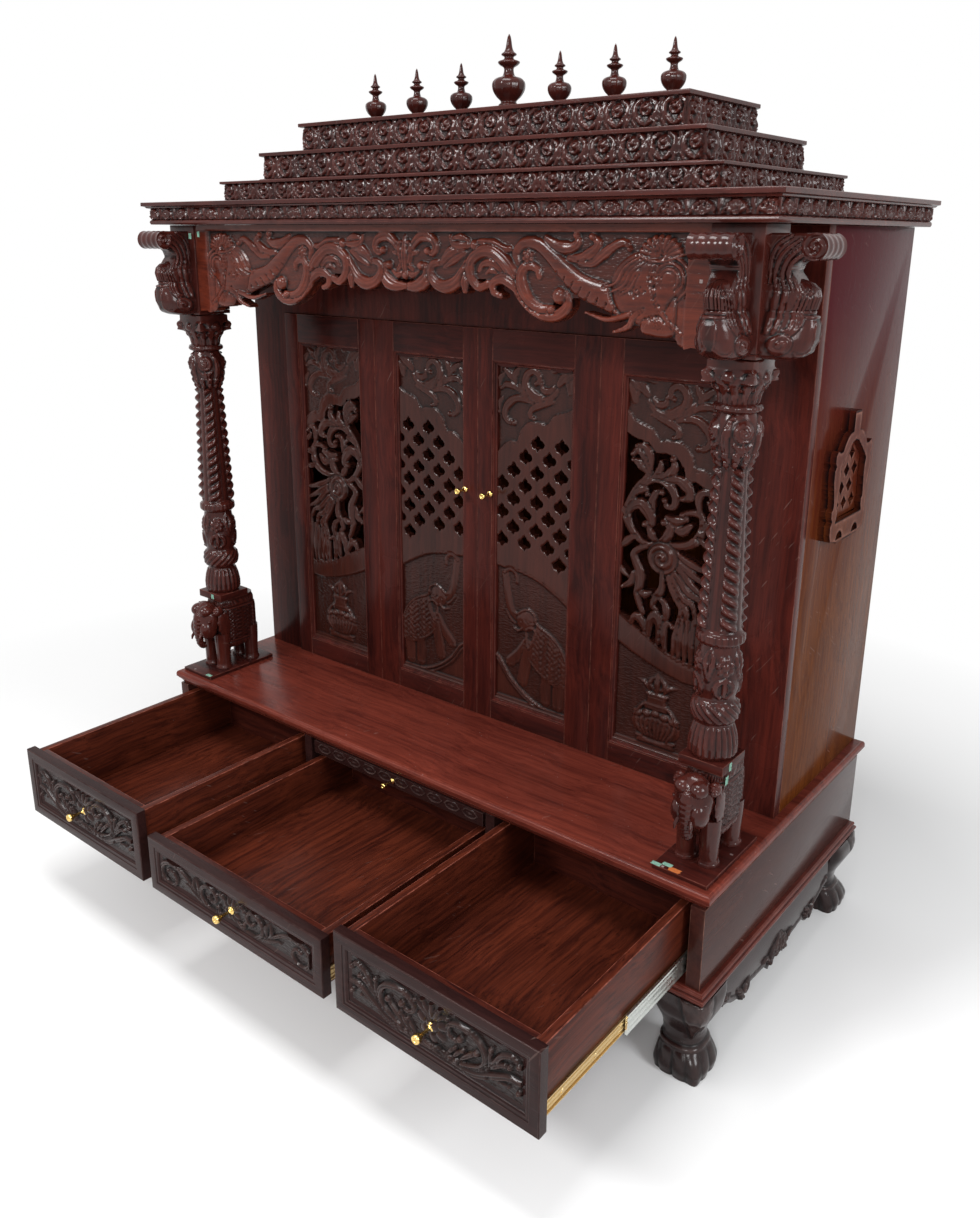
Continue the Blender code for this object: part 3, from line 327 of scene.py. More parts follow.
def make_ground_group() -> bpy.types.NodeTree:
    """Short chisel strokes on the ground between raised forms, where the stored mask says."""
    group = new_group("chiselled_ground", [("Vector", "NodeSocketVector", (0, 0, 0)),
                                           ("Size", "NodeSocketFloat", 260.0)],
                      [("Mask", "NodeSocketFloat"), ("Height", "NodeSocketFloat")])
    net = Net(group)
    mask = net.add("ShaderNodeAttribute", attribute_name="ground").outputs["Fac"]
    cells = net.add("ShaderNodeTexVoronoi", feature="F1")
    net.link(net.vector("MULTIPLY", net.inlet("Vector"), (0.42, 1.0, 1.25)), cells.inputs["Vector"])
    net.link(net.inlet("Size"), cells.inputs["Scale"])
    net.outlet("Mask", mask)
    net.outlet("Height", net.times(cells.outputs["Distance"], mask))
    return group


GROUPS: dict[str, bpy.types.NodeTree] = {}
# The upper tint is a painted reflection: the glossy side turns darker and purple towards the top.
UPPER_REFLECTION_RANGE = (0.75, 1.35)          # heights between which the upper tint comes in
SCRATCH_TINT = (0.30, 0.20, 0.17)
DUST_TINT = (0.55, 0.48, 0.45)


class Grain(Enum):
    """Axis that the grain runs along, as a stretch of the texture space."""

    X = (1.6, 34.0, 34.0)
    Y = (34.0, 1.6, 34.0)
    Z = (34.0, 34.0, 1.6)
    CARVED = (18.0, 18.0, 4.0)


@dataclass(frozen=True)
class Finish:
    """Surface finish for a material slot, whose material is made when it is first used."""

    name: str
    slot: str

    def material(self) -> bpy.types.Material:
        """Material of this finish, made once."""
        found = bpy.data.materials.get(self.name)
        if found:
            return found
        mat = bpy.data.materials.new(self.name)
        mat.use_nodes = True
        net = Net(mat.node_tree)
        where = net.add("ShaderNodeTexCoord").outputs["Object"]
        self.dress(net, mat.node_tree.nodes["Principled BSDF"].inputs, where)
        return mat

    def dress(self, net: Net, shader: bpy.types.NodeInputs, where: bpy.types.NodeSocket) -> None:
        """Set and link the inputs of the shader.

        Args:
            net: helper for the material's tree.
            shader: inputs of its Principled node.
            where: place on the object, in metres.
        """
        raise NotImplementedError


@dataclass(frozen=True)
class WoodFinish(Finish):
    """Stained and lacquered wood: stain colours, a lighter colour on ridges for wear with a painted
    highlight, a dark colour in grooves for painted shade, gloss, and how strongly ridges are rubbed
    and highlit.
    """

    deep: Rgb
    light: Rgb
    # The next two colours: ridges, lighter for wear with a painted highlight; grooves, dark for
    # painted shade.
    ridge_highlight_wear: Rgb
    groove: Rgb
    grain: Grain = Grain.X
    rough: float = 0.30
    specular: float = 0.45
    streak: float = 0.55
    pore: float = 0.35
    dust: float = 0.25
    scratches: float = 0.3
    # Share of the lighter colour on ridges: rubbing with a painted highlight.
    rub_and_highlight: float = 0.8
    bump: float = 0.25
    # Colour of a painted reflection towards the top, or none.
    upper: Rgb | None = None

    def dress(self, net: Net, shader: bpy.types.NodeInputs, where: bpy.types.NodeSocket) -> None:
        """Grain, carving with a painted highlight on ridges and painted shade in grooves, dust and
        scratches over the stain, under a clear coat.
        """
        grain = net.use(GROUPS["grain"], Vector=where, Along=self.grain.value, Depth=1.0)
        relief = net.use(GROUPS["relief"], Vector=where, Rub=self.rub_and_highlight)
        age = net.use(GROUPS["age"], Vector=where, Specks=self.dust, Scratches=self.scratches)
        ground = net.use(GROUPS["ground"], Vector=where, Size=230.0)
        ridge_highlight_wear, groove = relief.outputs["RidgeHighlightWear"], relief.outputs["GrooveShade"]
        dust, scratch, cloud = (age.outputs[label] for label in ("Dust", "Scratch", "Cloud"))
        tone = net.times(net.ramp(grain.outputs["Streaks"], 0.36, 0.64), self.streak)
        bands = net.times(net.ramp(grain.outputs["Bands"], 0.35, 0.65), 1 - self.streak)
        colour = net.mix(net.math("ADD", tone, bands), self.deep, self.light)
        colour = net.mix(net.times(grain.outputs["Pores"], self.pore), colour,
                         tuple(c * 0.35 for c in self.deep))
        shade = net.add("ShaderNodeVectorMath", operation="SCALE")
        net.link(colour, shade.inputs[0])
        net.link(net.ramp(cloud, 0.3, 0.75, 0.86, 1.14), shade.inputs["Scale"])
        colour = shade.outputs[0]
        # Painted reflection: a darker, purple tint comes in towards the top of the glossy side.
        if self.upper:
            parts = net.add("ShaderNodeSeparateXYZ")
            net.link(where, parts.inputs[0])
            colour = net.mix(net.ramp(parts.outputs[2], *UPPER_REFLECTION_RANGE), colour, self.upper)
        # Grooves take their dark colour as painted shade, the chiselled ground takes a third of
        # that colour, and ridges take their lighter colour as wear with a painted highlight.
        for share, tint in ((groove, self.groove), (ridge_highlight_wear, self.ridge_highlight_wear),
                            (net.times(ground.outputs["Mask"], 0.35), self.groove),
                            (scratch, SCRATCH_TINT), (dust, DUST_TINT)):
            colour = net.mix(share, colour, tint)
        net.link(colour, shader["Base Color"])
        rough = net.ramp(cloud, 0.3, 0.75, self.rough * 0.8, self.rough * 1.3)
        rough = net.math("ADD", rough, net.times(groove, 0.22))
        rough = net.math("ADD", rough, net.times(dust, 0.4), clamp=True)
        net.link(rough, shader["Roughness"])
        # Grooves also lose most of the clear coat, as painted shade on their reflection.
        shine = net.math("SUBTRACT", 1.0, net.times(groove, 0.85))
        net.link(net.times(shine, 0.5 * self.specular), shader["Coat Weight"])
        shader["Coat Roughness"].default_value = 0.8 * self.rough
        shader["Specular IOR Level"].default_value = 0.7 * self.specular
        lift = net.times(grain.outputs["Height"], self.bump)
        lift = net.math("ADD", lift, net.times(ground.outputs["Height"], 2.4))
        lift = net.math("SUBTRACT", lift, net.times(scratch, 0.4))
        net.link(net.bump(lift, 0.55, 0.0006), shader["Normal"])


@dataclass(frozen=True)
class MetalFinish(Finish):
    """Polished or plated metal with handling marks."""

    colour: Rgb
    tarnish: Rgb
    rough: float = 0.2

    def dress(self, net: Net, shader: bpy.types.NodeInputs, where: bpy.types.NodeSocket) -> None:
        """Spots of tarnish and fine scratches."""
        age = net.use(GROUPS["age"], Vector=where, Specks=0.4, Scratches=0.8)
        spots = net.ramp(net.noise(where, 160.0, 3.0, 0.6), 0.45, 0.72)
        net.link(net.mix(spots, self.colour, self.tarnish), shader["Base Color"])
        shader["Metallic"].default_value = 1.0
        cloud = net.ramp(age.outputs["Cloud"], 0.3, 0.75, self.rough * 0.7, self.rough * 1.4)
        net.link(net.math("ADD", cloud, net.times(spots, 0.15)), shader["Roughness"])
        lift = net.math("ADD", net.times(spots, 0.5), net.times(age.outputs["Scratch"], -0.6))
        net.link(net.bump(lift, 0.3, 0.0002), shader["Normal"])


@dataclass(frozen=True)
class TapeFinish(Finish):
    """Matt paper tape with a faint fibre."""

    colour: Rgb

    def dress(self, net: Net, shader: bpy.types.NodeInputs, where: bpy.types.NodeSocket) -> None:
        """Paper fibre in the colour and the height."""
        fibre = net.noise(where, 900.0, 3.0, 0.7)
        dull = tuple(c * 0.72 for c in self.colour)
        net.link(net.mix(net.ramp(fibre, 0.3, 0.7), self.colour, dull), shader["Base Color"])
        shader["Roughness"].default_value = 0.8
        net.link(net.bump(fibre, 1.0, 0.0001), shader["Normal"])


# Each wood finish gives deep and light stain colours, then a lighter colour for ridges (wear with a
# painted highlight) and a dark colour for grooves (painted shade).
BOARD = WoodFinish("lacquer_board", "mahogany_board", (0.056, 0.0094, 0.0068),
    (0.145, 0.0270, 0.0165), (0.26, 0.075, 0.050), (0.016, 0.004, 0.004), Grain.X, rough=0.26,
    specular=0.13, dust=0.8, scratches=0.2)
FRAME = WoodFinish("lacquer_frame", "mahogany_board", (0.018, 0.0042, 0.0038),
    (0.068, 0.0115, 0.0078), (0.15, 0.050, 0.036), (0.007, 0.003, 0.003), Grain.Z, rough=0.25,
    specular=0.09, scratches=0.15)
# The side boards carry a painted reflection: darker and purple towards the top.
PANEL = WoodFinish("lacquer_side", "mahogany_board", (0.056, 0.0125, 0.0026),
    (0.108, 0.0300, 0.0060), (0.20, 0.085, 0.060), (0.010, 0.004, 0.004), Grain.Z, rough=0.17,
    specular=0.022, scratches=0.16, streak=0.75, upper=(0.050, 0.0050, 0.0078))
LOW_PANEL = WoodFinish("lacquer_low_side", "mahogany_board", (0.026, 0.0080, 0.0070),
    (0.050, 0.0150, 0.0105), (0.18, 0.085, 0.060), (0.010, 0.004, 0.004), Grain.Y, rough=0.16,
    specular=0.12, scratches=0.2)
CARVED = WoodFinish("lacquer_carved", "mahogany_carved", (0.0240, 0.0049, 0.0040),
    (0.056, 0.0108, 0.0074), (0.064, 0.0170, 0.0130), (0.004, 0.0018, 0.0018), Grain.CARVED,
    rough=0.17, specular=0.27, pore=0.2, dust=0.05, scratches=0.08)
DARK = WoodFinish("lacquer_dark", "mahogany_dark", (0.0150, 0.0058, 0.0056),
    (0.0290, 0.0105, 0.0094), (0.075, 0.045, 0.040), (0.003, 0.002, 0.002), Grain.X, rough=0.20,
    specular=0.10, pore=0.25, dust=0.25, scratches=0.2)
DARK_CARVED = WoodFinish("lacquer_dark_carved", "mahogany_dark", (0.0150, 0.0068, 0.0060),
    (0.0270, 0.0110, 0.0094), (0.050, 0.024, 0.020), (0.002, 0.0015, 0.0015), Grain.CARVED,
    rough=0.17, specular=0.17, pore=0.2, dust=0.12, scratches=0.1)
FOOT = WoodFinish("lacquer_foot", "mahogany_dark", (0.0100, 0.0045, 0.0045),
    (0.0180, 0.0072, 0.0065), (0.050, 0.028, 0.025), (0.003, 0.002, 0.002), Grain.CARVED,
    rough=0.18, specular=0.30, dust=0.1, scratches=0.1)
INSIDE = WoodFinish("satin_inside", "drawer_wood", (0.027, 0.0052, 0.0034),
    (0.092, 0.0180, 0.0082), (0.30, 0.09, 0.06), (0.012, 0.004, 0.004), Grain.Y, rough=0.36,
    specular=0.12, streak=0.8, pore=0.7, dust=0.3, scratches=0.15)
BRASS = MetalFinish("polished_brass", "brass", (0.80, 0.56, 0.19), (0.55, 0.36, 0.12), 0.16)
ZINC = MetalFinish("zinc_plate", "zinc_steel", (0.56, 0.58, 0.55), (0.51, 0.54, 0.50), 0.28)
YELLOW_ZINC = MetalFinish("yellow_zinc", "zinc_steel", (0.60, 0.43, 0.20), (0.50, 0.36, 0.17),
    0.32)
GREEN_TAPE = TapeFinish("green_tape", "", (0.36, 0.66, 0.52))
ORANGE_TAPE = TapeFinish("orange_tape", "", (0.86, 0.24, 0.06))
PALE_PLUG = TapeFinish("pale_plug", "", (0.50, 0.40, 0.38))
BOARD_LOW = WoodFinish("lacquer_plinth", "mahogany_board", (0.050, 0.0095, 0.0070),
    (0.096, 0.0190, 0.0130), (0.24, 0.080, 0.055), (0.012, 0.004, 0.004), Grain.X, rough=0.22,
    specular=0.16, scratches=0.2)
INSIDE_CROSS = WoodFinish("satin_inside_cross", "drawer_wood", (0.022, 0.0047, 0.0038),
    (0.062, 0.0125, 0.0074), (0.30, 0.09, 0.06), (0.012, 0.004, 0.004), Grain.X, rough=0.36,
    specular=0.12, streak=0.8, pore=0.7, dust=0.3, scratches=0.15)
CARVED_RED = WoodFinish("lacquer_fascia", "mahogany_carved", (0.036, 0.0068, 0.0044),
    (0.108, 0.0190, 0.0088), (0.15, 0.040, 0.028), (0.005, 0.002, 0.002), Grain.X, rough=0.17,
    specular=0.26, pore=0.25, dust=0.05, scratches=0.1)
LEAF_PANEL = WoodFinish("lacquer_panel", "mahogany_board", (0.0240, 0.0064, 0.0044),
    (0.050, 0.0122, 0.0080), (0.050, 0.0185, 0.0145), (0.0055, 0.0022, 0.0018), Grain.Z,
    rough=0.20, specular=0.21, pore=0.25, dust=0.08, scratches=0.1)
FRAME_CROSS = WoodFinish("lacquer_rail", "mahogany_board", (0.017, 0.0042, 0.0038),
    (0.054, 0.0098, 0.0070), (0.15, 0.050, 0.036), (0.007, 0.003, 0.003), Grain.X, rough=0.25,
    specular=0.09, scratches=0.15)
BOARD_ROOF = WoodFinish("lacquer_roof", "mahogany_carved", (0.028, 0.0065, 0.0055),
    (0.064, 0.0130, 0.0095), (0.17, 0.060, 0.045), (0.006, 0.003, 0.003), Grain.X, rough=0.22,
    specular=0.22, dust=0.25, scratches=0.15)
FOOT_BOARD = WoodFinish("lacquer_apron", "mahogany_dark", (0.012, 0.0050, 0.0050),
    (0.022, 0.0085, 0.0078), (0.062, 0.035, 0.030), (0.003, 0.002, 0.002), Grain.X, rough=0.22,
    specular=0.25, dust=0.15, scratches=0.15)


# Mesh tools

def to_object(mesh: bpy.types.Mesh, finish: Finish, replaced: str = "", body: str = "cabinet",
              slot: Optional[str] = None) -> None:
    """Put a mesh in the scene under its own name, dress it and let it ride.

    Args:
        mesh: in frame coordinates.
        finish: its finish.
        replaced: CAD node that it stands for, or nothing.
        body: CAD body that carries it.
        slot: material slot of the record, where it isn't the finish's; not used.
    """
    obj = bpy.data.objects.new(mesh.name, mesh)
    bpy.context.scene.collection.objects.link(obj)
    mesh.materials.clear()
    mesh.materials.append(finish.material())
    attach(obj, body)
    if replaced:
        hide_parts(replaced)
    slot = finish.slot if slot is None else slot
    LOG.info("%s: %d faces on %s", obj.name, len(mesh.polygons), body)


def grid_mesh(name: str, verts: np.ndarray, quads: np.ndarray, tris: Optional[np.ndarray] = None,
              relief: Optional[np.ndarray] = None,
              ground: Optional[np.ndarray] = None) -> bpy.types.Mesh:
    """Smooth mesh from arrays, with stored relief and ground values.

    Args:
        name: mesh name.
        verts: points, one per row.
        quads: corner numbers, four per row.
        tris: corner numbers, three per row.
        relief: ridge or groove value per point.
        ground: ground mask per point.

    Returns:
        The mesh.
    """
    mesh = bpy.data.meshes.new(name)
    tris = np.zeros((0, 3), int) if tris is None else tris
    loops = np.concatenate([quads.ravel(), tris.ravel()])
    totals = np.concatenate([np.full(len(quads), 4), np.full(len(tris), 3)])
    mesh.vertices.add(len(verts))
    mesh.vertices.foreach_set("co", np.asarray(verts, np.float32).ravel())
    mesh.loops.add(len(loops))
    mesh.loops.foreach_set("vertex_index", loops.astype(np.int32))
    mesh.polygons.add(len(totals))
    starts = np.concatenate([[0], np.cumsum(totals)[:-1]])
    mesh.polygons.foreach_set("loop_start", starts.astype(np.int32))
    mesh.polygons.foreach_set("use_smooth", np.ones(len(totals), bool))
    mesh.update(calc_edges=True)
    mesh.validate()
    for label, values in (("relief", relief), ("ground", ground)):
        if values is not None:
            attr = mesh.attributes.new(label, "FLOAT", "POINT")
            attr.data.foreach_set("value", np.asarray(values, np.float32))
    return mesh


@contextmanager
def editing(mesh: bpy.types.Mesh, angle: float) -> Iterator[bmesh.types.BMesh]:
    """Open a mesh for work, then turn its normals outward and shade it.

    Args:
        mesh: mesh to change.
        angle: least angle of a sharp edge in degrees.

    Yields:
        The mesh under work.
    """
    bm = bmesh.new()
    bm.from_mesh(mesh)
    yield bm
    bmesh.ops.recalc_face_normals(bm, faces=bm.faces)
    bm.to_mesh(mesh)
    bm.free()
    shade(mesh, angle)


def tidy(mesh: bpy.types.Mesh, angle: float = 40.0, weld: float = 0.00002) -> None:
    """Weld a mesh, unless weld is 0, turn its normals outward and shade it."""
    with editing(mesh, angle) as bm:
        if weld:
            bmesh.ops.remove_doubles(bm, verts=bm.verts, dist=weld)


def ring_mesh(name: str, rings: Sequence[np.ndarray], cap: bool = True,
              relief: Optional[np.ndarray] = None) -> bpy.types.Mesh:
    """Skin through closed rings of equal length.

    Args:
        name: mesh name.
        rings: arrays of points, one per ring.
        cap: whether both ends are filled with a fan.
        relief: relief value per point, ring by ring.

    Returns:
        The mesh.
    """
    n, m = len(rings), len(rings[0])
    verts = np.vstack(rings)
    cur = np.arange(n * m).reshape(n, m)
    nxt = np.roll(cur, -1, axis=1)
    quads = np.stack([cur[:-1], nxt[:-1], nxt[1:], cur[1:]], -1).reshape(-1, 4)
    tris = None
    if cap:
        verts = np.vstack([verts, rings[0].mean(0), rings[-1].mean(0)])
        low = np.stack([nxt[0], cur[0], np.full(m, n * m)], -1)
        top = np.stack([cur[-1], nxt[-1], np.full(m, n * m + 1)], -1)
        tris = np.vstack([low, top])
        if relief is not None:
            relief = np.concatenate([relief, [0.0, 0.0]])
    return grid_mesh(name, verts, quads, tris, relief)


def turned(profile: Path2, centre: Vector, steps: int = 40,
           wave: Optional[Callable] = None) -> list[np.ndarray]:
    """Rings of a turned form.

    Args:
        profile: (radius, height) rows from bottom to top.
        centre: foot of the axis.
        steps: points round.
        wave: extra radius from (angle array, height).

    Returns:
        One array of points per profile row.
    """
    ang = np.arange(steps) * math.tau / steps
    rings = []
    for r, h in profile:
        extra = wave(ang, h) if wave else 0.0
        rad = np.maximum(r + extra, 1e-5) * np.ones(steps)
        rings.append(np.stack([centre.x + rad * np.cos(ang), centre.y + rad * np.sin(ang),
                               np.full(steps, centre.z + h)], -1))
    return rings


def softened(bm: bmesh.types.BMesh, name: str, edges: Sequence[bmesh.types.BMEdge],
             width: float) -> bpy.types.Mesh:
    """Round some edges of a bmesh and store it as a mesh, whose rounds carry the relief value that
    paints them lighter, as rubbing with a painted highlight.
    """
    made = bmesh.ops.bevel(bm, geom=edges, offset=width, segments=2, profile=0.6,
                           affect="EDGES", clamp_overlap=True)
    bm.faces.index_update()
    worn_highlit = {f.index for f in made["faces"] if f.is_valid}
    mesh = bpy.data.meshes.new(name)
    bm.to_mesh(mesh)
    bm.free()
    mark_faces(mesh, worn_highlit, RUBBED_HIGHLIGHT)
    shade(mesh, 30.0)
    return mesh


def bevelled(node: str, width: float, label: str = "_board") -> bpy.types.Mesh:
    """Copy of a CAD node with rounded edges, painted lighter as rubbing with a highlight; the label
    follows its name.
    """
    bm = bmesh.new()
    bm.from_mesh(frame["nodes"][node].data)
    bmesh.ops.remove_doubles(bm, verts=bm.verts, dist=0.00002)
    bmesh.ops.dissolve_limit(bm, angle_limit=math.radians(1.0), verts=bm.verts, edges=bm.edges,
                             delimit=set())
    sharp = [e for e in bm.edges if len(e.link_faces) == 2
             and e.calc_face_angle(0.0) > math.radians(28.0)]
    return softened(bm, node + label, sharp, width)


def mark_faces(mesh: bpy.types.Mesh, chosen: set[int], value: float) -> None:
    """Store a relief value at the corners of some faces."""
    attr = mesh.attributes.new("relief", "FLOAT", "CORNER")
    values = np.zeros(len(mesh.loops), np.float32)
    for poly in mesh.polygons:
        if poly.index in chosen:
            values[poly.loop_start:poly.loop_start + poly.loop_total] = value
    attr.data.foreach_set("value", values)


def shade(mesh: bpy.types.Mesh, angle: float) -> None:
    """Smooth faces, with sharp edges past an angle in degrees."""
    mesh.polygons.foreach_set("use_smooth", np.ones(len(mesh.polygons), bool))
    bm = bmesh.new()
    bm.from_mesh(mesh)
    for edge in bm.edges:
        edge.smooth = len(edge.link_faces) == 2 and edge.calc_face_angle(0.0) < math.radians(angle)
    bm.to_mesh(mesh)
    bm.free()


def rounded(name: str, low: Vector, high: Vector, width: float = 0.0012) -> bpy.types.Mesh:
    """Block between two corners with rounded edges, painted lighter as rubbing with a highlight."""
    return rounded_blocks(name, [(low, high)], width)


def rounded_blocks(name: str, blocks: Sequence[tuple[Vector, Vector]],
                   width: float) -> bpy.types.Mesh:
    """Blocks, given by their low and high corners, in one mesh with rounded edges, painted lighter
    as rubbing with a highlight.
    """
    bm = bmesh.new()
    for low, high in blocks:
        for v in bmesh.ops.create_cube(bm, size=1.0)["verts"]:
            v.co = Vector([low[i] + (high[i] - low[i]) * (v.co[i] + 0.5) for i in range(3)])
    return softened(bm, name, list(bm.edges), width)


def mirrored(mesh: bpy.types.Mesh, side: float) -> bpy.types.Mesh:
    """Mirror a mesh across the middle of the shrine where side is -1."""
    if side < 0:
        mesh.transform(Matrix.Diagonal((-1, 1, 1, 1)))
        mesh.flip_normals()
    return mesh


MEASURES = {"w": "width", "h": "height", "b": "ball", "s": "sink", "g": "base", "r": "radius"}
COUNTS = {"v": "veins", "q": "squash", "n": "turns"}


def read_word(word: str) -> tuple[str, object]:
    """Argument name and value of one word of a carving table."""
    if word == "open":
        return "open_edge", True
    kind, number = word[0], word[1:]
    if kind == "t":
        return "taper", tuple(float(n) for n in number.split("/"))
    if kind in COUNTS:
        return COUNTS[kind], float(number)
    return MEASURES[kind], float(number + "e-3")


class Relief:
    """Carved height field over a flat board: heights, a silhouette and a ground mask on one grid.

    u runs across and v up, in metres. The silhouette is a signed distance, positive inside.
    """

    def __init__(self, u0: float, u1: float, v0: float, v1: float, cell: float,
                 inside: float = 1.0) -> None:
        """Lay the grid out.

        Args:
            u0: left edge.
            u1: right edge.
            v0: lower edge.
            v1: upper edge.
            cell: grid step.
            inside: first value of the silhouette everywhere.
        """
        self.nu = int(round((u1 - u0) / cell)) + 1
        self.nv = int(round((v1 - v0) / cell)) + 1
        self.us = np.linspace(u0, u1, self.nu)
        self.vs = np.linspace(v0, v1, self.nv)
        self.cell = cell
        self.high = np.zeros((self.nv, self.nu))
        self.edge = np.full((self.nv, self.nu), inside)
        self.free = np.ones((self.nv, self.nu))

    def window(self, u: np.ndarray, v: np.ndarray, pad: float) -> tuple:
        """Part of the grid round some points.

        Args:
            u: across values.
            v: up values.
            pad: margin round them.

        Returns:
            Slices of the grid and its u and v values there, or None where it is empty.
        """
        a = np.searchsorted(self.us, u.min() - pad)
        b = np.searchsorted(self.us, u.max() + pad)
        c = np.searchsorted(self.vs, v.min() - pad)
        d = np.searchsorted(self.vs, v.max() + pad)
        if b <= a or d <= c:
            return None
        uu, vv = np.meshgrid(self.us[a:b], self.vs[c:d])
        return (slice(c, d), slice(a, b)), uu, vv

    def lay(self, where: tuple, height: np.ndarray, cover: np.ndarray, sink: float,
            groove: float) -> None:
        """Lay one form over what is there, with a cut line round it.

        Args:
            where: slices of the grid.
            height: form's height there.
            cover: distance inside the form's outline, in metres.
            sink: depth of the cut line round it.
            groove: width of that line.
        """
        old = self.high[where]
        ring = np.exp(-(np.minimum(cover, 0.0) / groove) ** 2)
        trench = old - sink * ring * (old > -sink)
        out = np.where(cover > 0, np.maximum(height, old * 0.15), np.minimum(old, trench))
        self.high[where] = out
        free = self.free[where]
        self.free[where] = np.minimum(free, smooth01(-cover / (groove * 1.5)))

    def stroke(self, path: Path2, width: float, height: float,
               taper: tuple[float, float, float] = (0.25, 1.0, 0.3), veins: int = 1,
               ball: float = 0.0, sink: float = 0.0012, base: float = 0.0,
               open_edge: bool = False) -> None:
        """Carved ribbon, stem or leaf along a path.

        Args:
            path: control points.
            width: full width where it is widest.
            height: height over the ground.
            taper: width shares at the start, the middle and the end.
            veins: number of grooves along it.
            ball: radius of a ball at its end, or 0.
            sink: depth of the cut line round it.
            base: height that it starts from.
            open_edge: whether it adds to the silhouette.
        """
        line = spline(path, 7)
        found = self.window(line[:, 0], line[:, 1], width)
        if found is None:
            return
        step = np.diff(line, axis=0)
        seg = np.hypot(*step.T)
        t = np.concatenate([[0], np.cumsum(seg)]) / seg.sum()
        half = np.maximum(0.5 * width * np.interp(t, (0, 0.5, 1.0), taper), 0.0004)
        where, uu, vv = found
        p = np.stack([uu.ravel(), vv.ravel()], -1)
        best = np.full(len(p), 1e9)
        side = np.zeros(len(p))
        wide = np.full(len(p), 0.001)
        for i, ab in enumerate(step):
            rel = p - line[i]
            k = np.clip((rel @ ab) / max(ab @ ab, 1e-12), 0, 1)
            off = rel - k[:, None] * ab
            dist = np.hypot(off[:, 0], off[:, 1])
            w = half[i] + (half[i + 1] - half[i]) * k
            better = dist - w < best
            best = np.where(better, dist - w, best)
            cross = np.sign(ab[0] * rel[:, 1] - ab[1] * rel[:, 0])
            side = np.where(better, cross * dist / np.maximum(w, 1e-6), side)
            wide = np.where(better, w, wide)
        cover, s, w = (a.reshape(uu.shape) for a in (-best, side, wide))
        rise = np.sqrt(np.clip(1 - s ** 2, 0, 1))
        form = rise ** 0.8 * np.minimum(1.0, (w / (0.5 * width)) ** 0.55)
        if veins == 1:
            form = form - 0.34 * np.exp(-(s / 0.20) ** 2) * rise
        elif veins:
            form = form - 0.22 * (0.5 + 0.5 * np.cos(math.pi * (veins + 1) * (s + 1))) * rise
        self.lay(where, base + height * np.clip(form, 0.0, 1.5), cover, sink, 0.0016)
        if open_edge:
            self.edge[where] = np.maximum(self.edge[where], cover)
        if ball:
            self.ball(line[-1], ball, height * 1.15, base=base, open_edge=open_edge)

    def ball(self, at: Sequence[float], radius: float, height: float, base: float = 0.0,
             squash: float = 1.0, open_edge: bool = False, turns: float = 0.0) -> None:
        """Domed boss, or a volute where turns isn't 0.

        Args:
            at: its middle.
            radius: its radius across.
            height: height over the ground.
            base: height that it starts from.
            squash: radius up the board over the radius across.
            open_edge: whether it adds to the silhouette.
            turns: turns of a spiral groove, negative for the other hand.
        """
        at = np.asarray(at, float)
        found = self.window(at[:1], at[1:2], radius * 1.6 * max(1, squash))
        if found is None:
            return
        where, uu, vv = found
        du, dv = uu - at[0], (vv - at[1]) / squash
        r = np.hypot(du, dv) / radius
        form = np.sqrt(np.clip(1 - r ** 2, 0, 1))
        if turns:
            phase = abs(turns) * math.tau * (1 - r) + math.copysign(1, turns) * np.arctan2(dv, du)
            form = ((0.55 + 0.45 * form) * (0.72 + 0.28 * np.cos(phase))
                    + 0.25 * np.exp(-(r / 0.25) ** 2))
            form = form * smooth01((1 - r) / 0.18)
        self.lay(where, base + height * form, (1 - r) * radius, 0.0014, 0.0016)
        if open_edge:
            self.edge[where] = np.maximum(self.edge[where], (1 - r) * radius)

    def petals(self, at: Sequence[float], radius: float, height: float, count: int = 8,
               start: float = 0.0, heart: float = 0.32) -> None:
        """Open flower of pointed petals round a boss."""
        at = np.asarray(at, float)
        found = self.window(at[:1], at[1:2], radius * 1.3)
        if found is None:
            return
        where, uu, vv = found
        du, dv = uu - at[0], vv - at[1]
        r = np.hypot(du, dv) / radius
        wave = np.abs(np.cos((np.arctan2(dv, du) - start) * count / 2))
        rim = 0.62 + 0.38 * wave ** 0.7
        form = np.clip(np.sin(np.clip(r / rim, 0, 1) * math.pi) ** 0.6, 0, 1) * (0.45 + 0.55 * wave)
        self.lay(where, height * form, (rim - r) * radius, 0.0012, 0.0014)
        self.ball(at, radius * heart, height * 1.05)

    def carve(self, table: str, flip: float = 1.0, at: tuple[float, float] = (0.0, 0.0),
              scale: tuple[float, float] = (1.0, 1.0), swell: tuple[float, float] = (1.0, 1.0),
              **shared: object) -> None:
        """Carve the forms of a table in their order.

        A form is "u v, u v, ...: words", on one line or with indented lines after it. Places and
        measures are in thousandths. One point makes a boss, more make a stroke. The words are
        a letter with a number: w width, h height, b end ball, s cut line, g ground, r radius,
        v veins, q squash and n turns, or t with three taper shares, or open.

        Args:
            table: the forms.
            flip: -1 mirrors them across u = 0.
            at: where their origin lies.
            scale: size of their places, across and up.
            swell: size of their widths and heights.
            shared: arguments of each stroke that its words don't give.
        """
        for form in re.split(r"\n(?! )", table.strip("\n")):
            where, words = form.split(":")
            path = [(at[0] + flip * scale[0] * u, at[1] + scale[1] * v) for u, v in points(where)]
            own = dict(read_word(word) for word in words.split())
            if len(path) == 1:
                self.ball(path[0], **own)
                continue
            own["width"] *= swell[0]
            own["height"] *= swell[1]
            self.stroke(path, **{**shared, **own})

    def carve_both(self, table: str, at: tuple[float, float] = (0.0, 0.0),
                   scale: tuple[float, float] = (1.0, 1.0),
                   swell: tuple[float, float] = (1.0, 1.0), **shared: object) -> None:
        """Carve a table as it is, and again mirrored."""
        for flip in (1.0, -1.0):
            self.carve(table, flip, at, scale, swell, **shared)

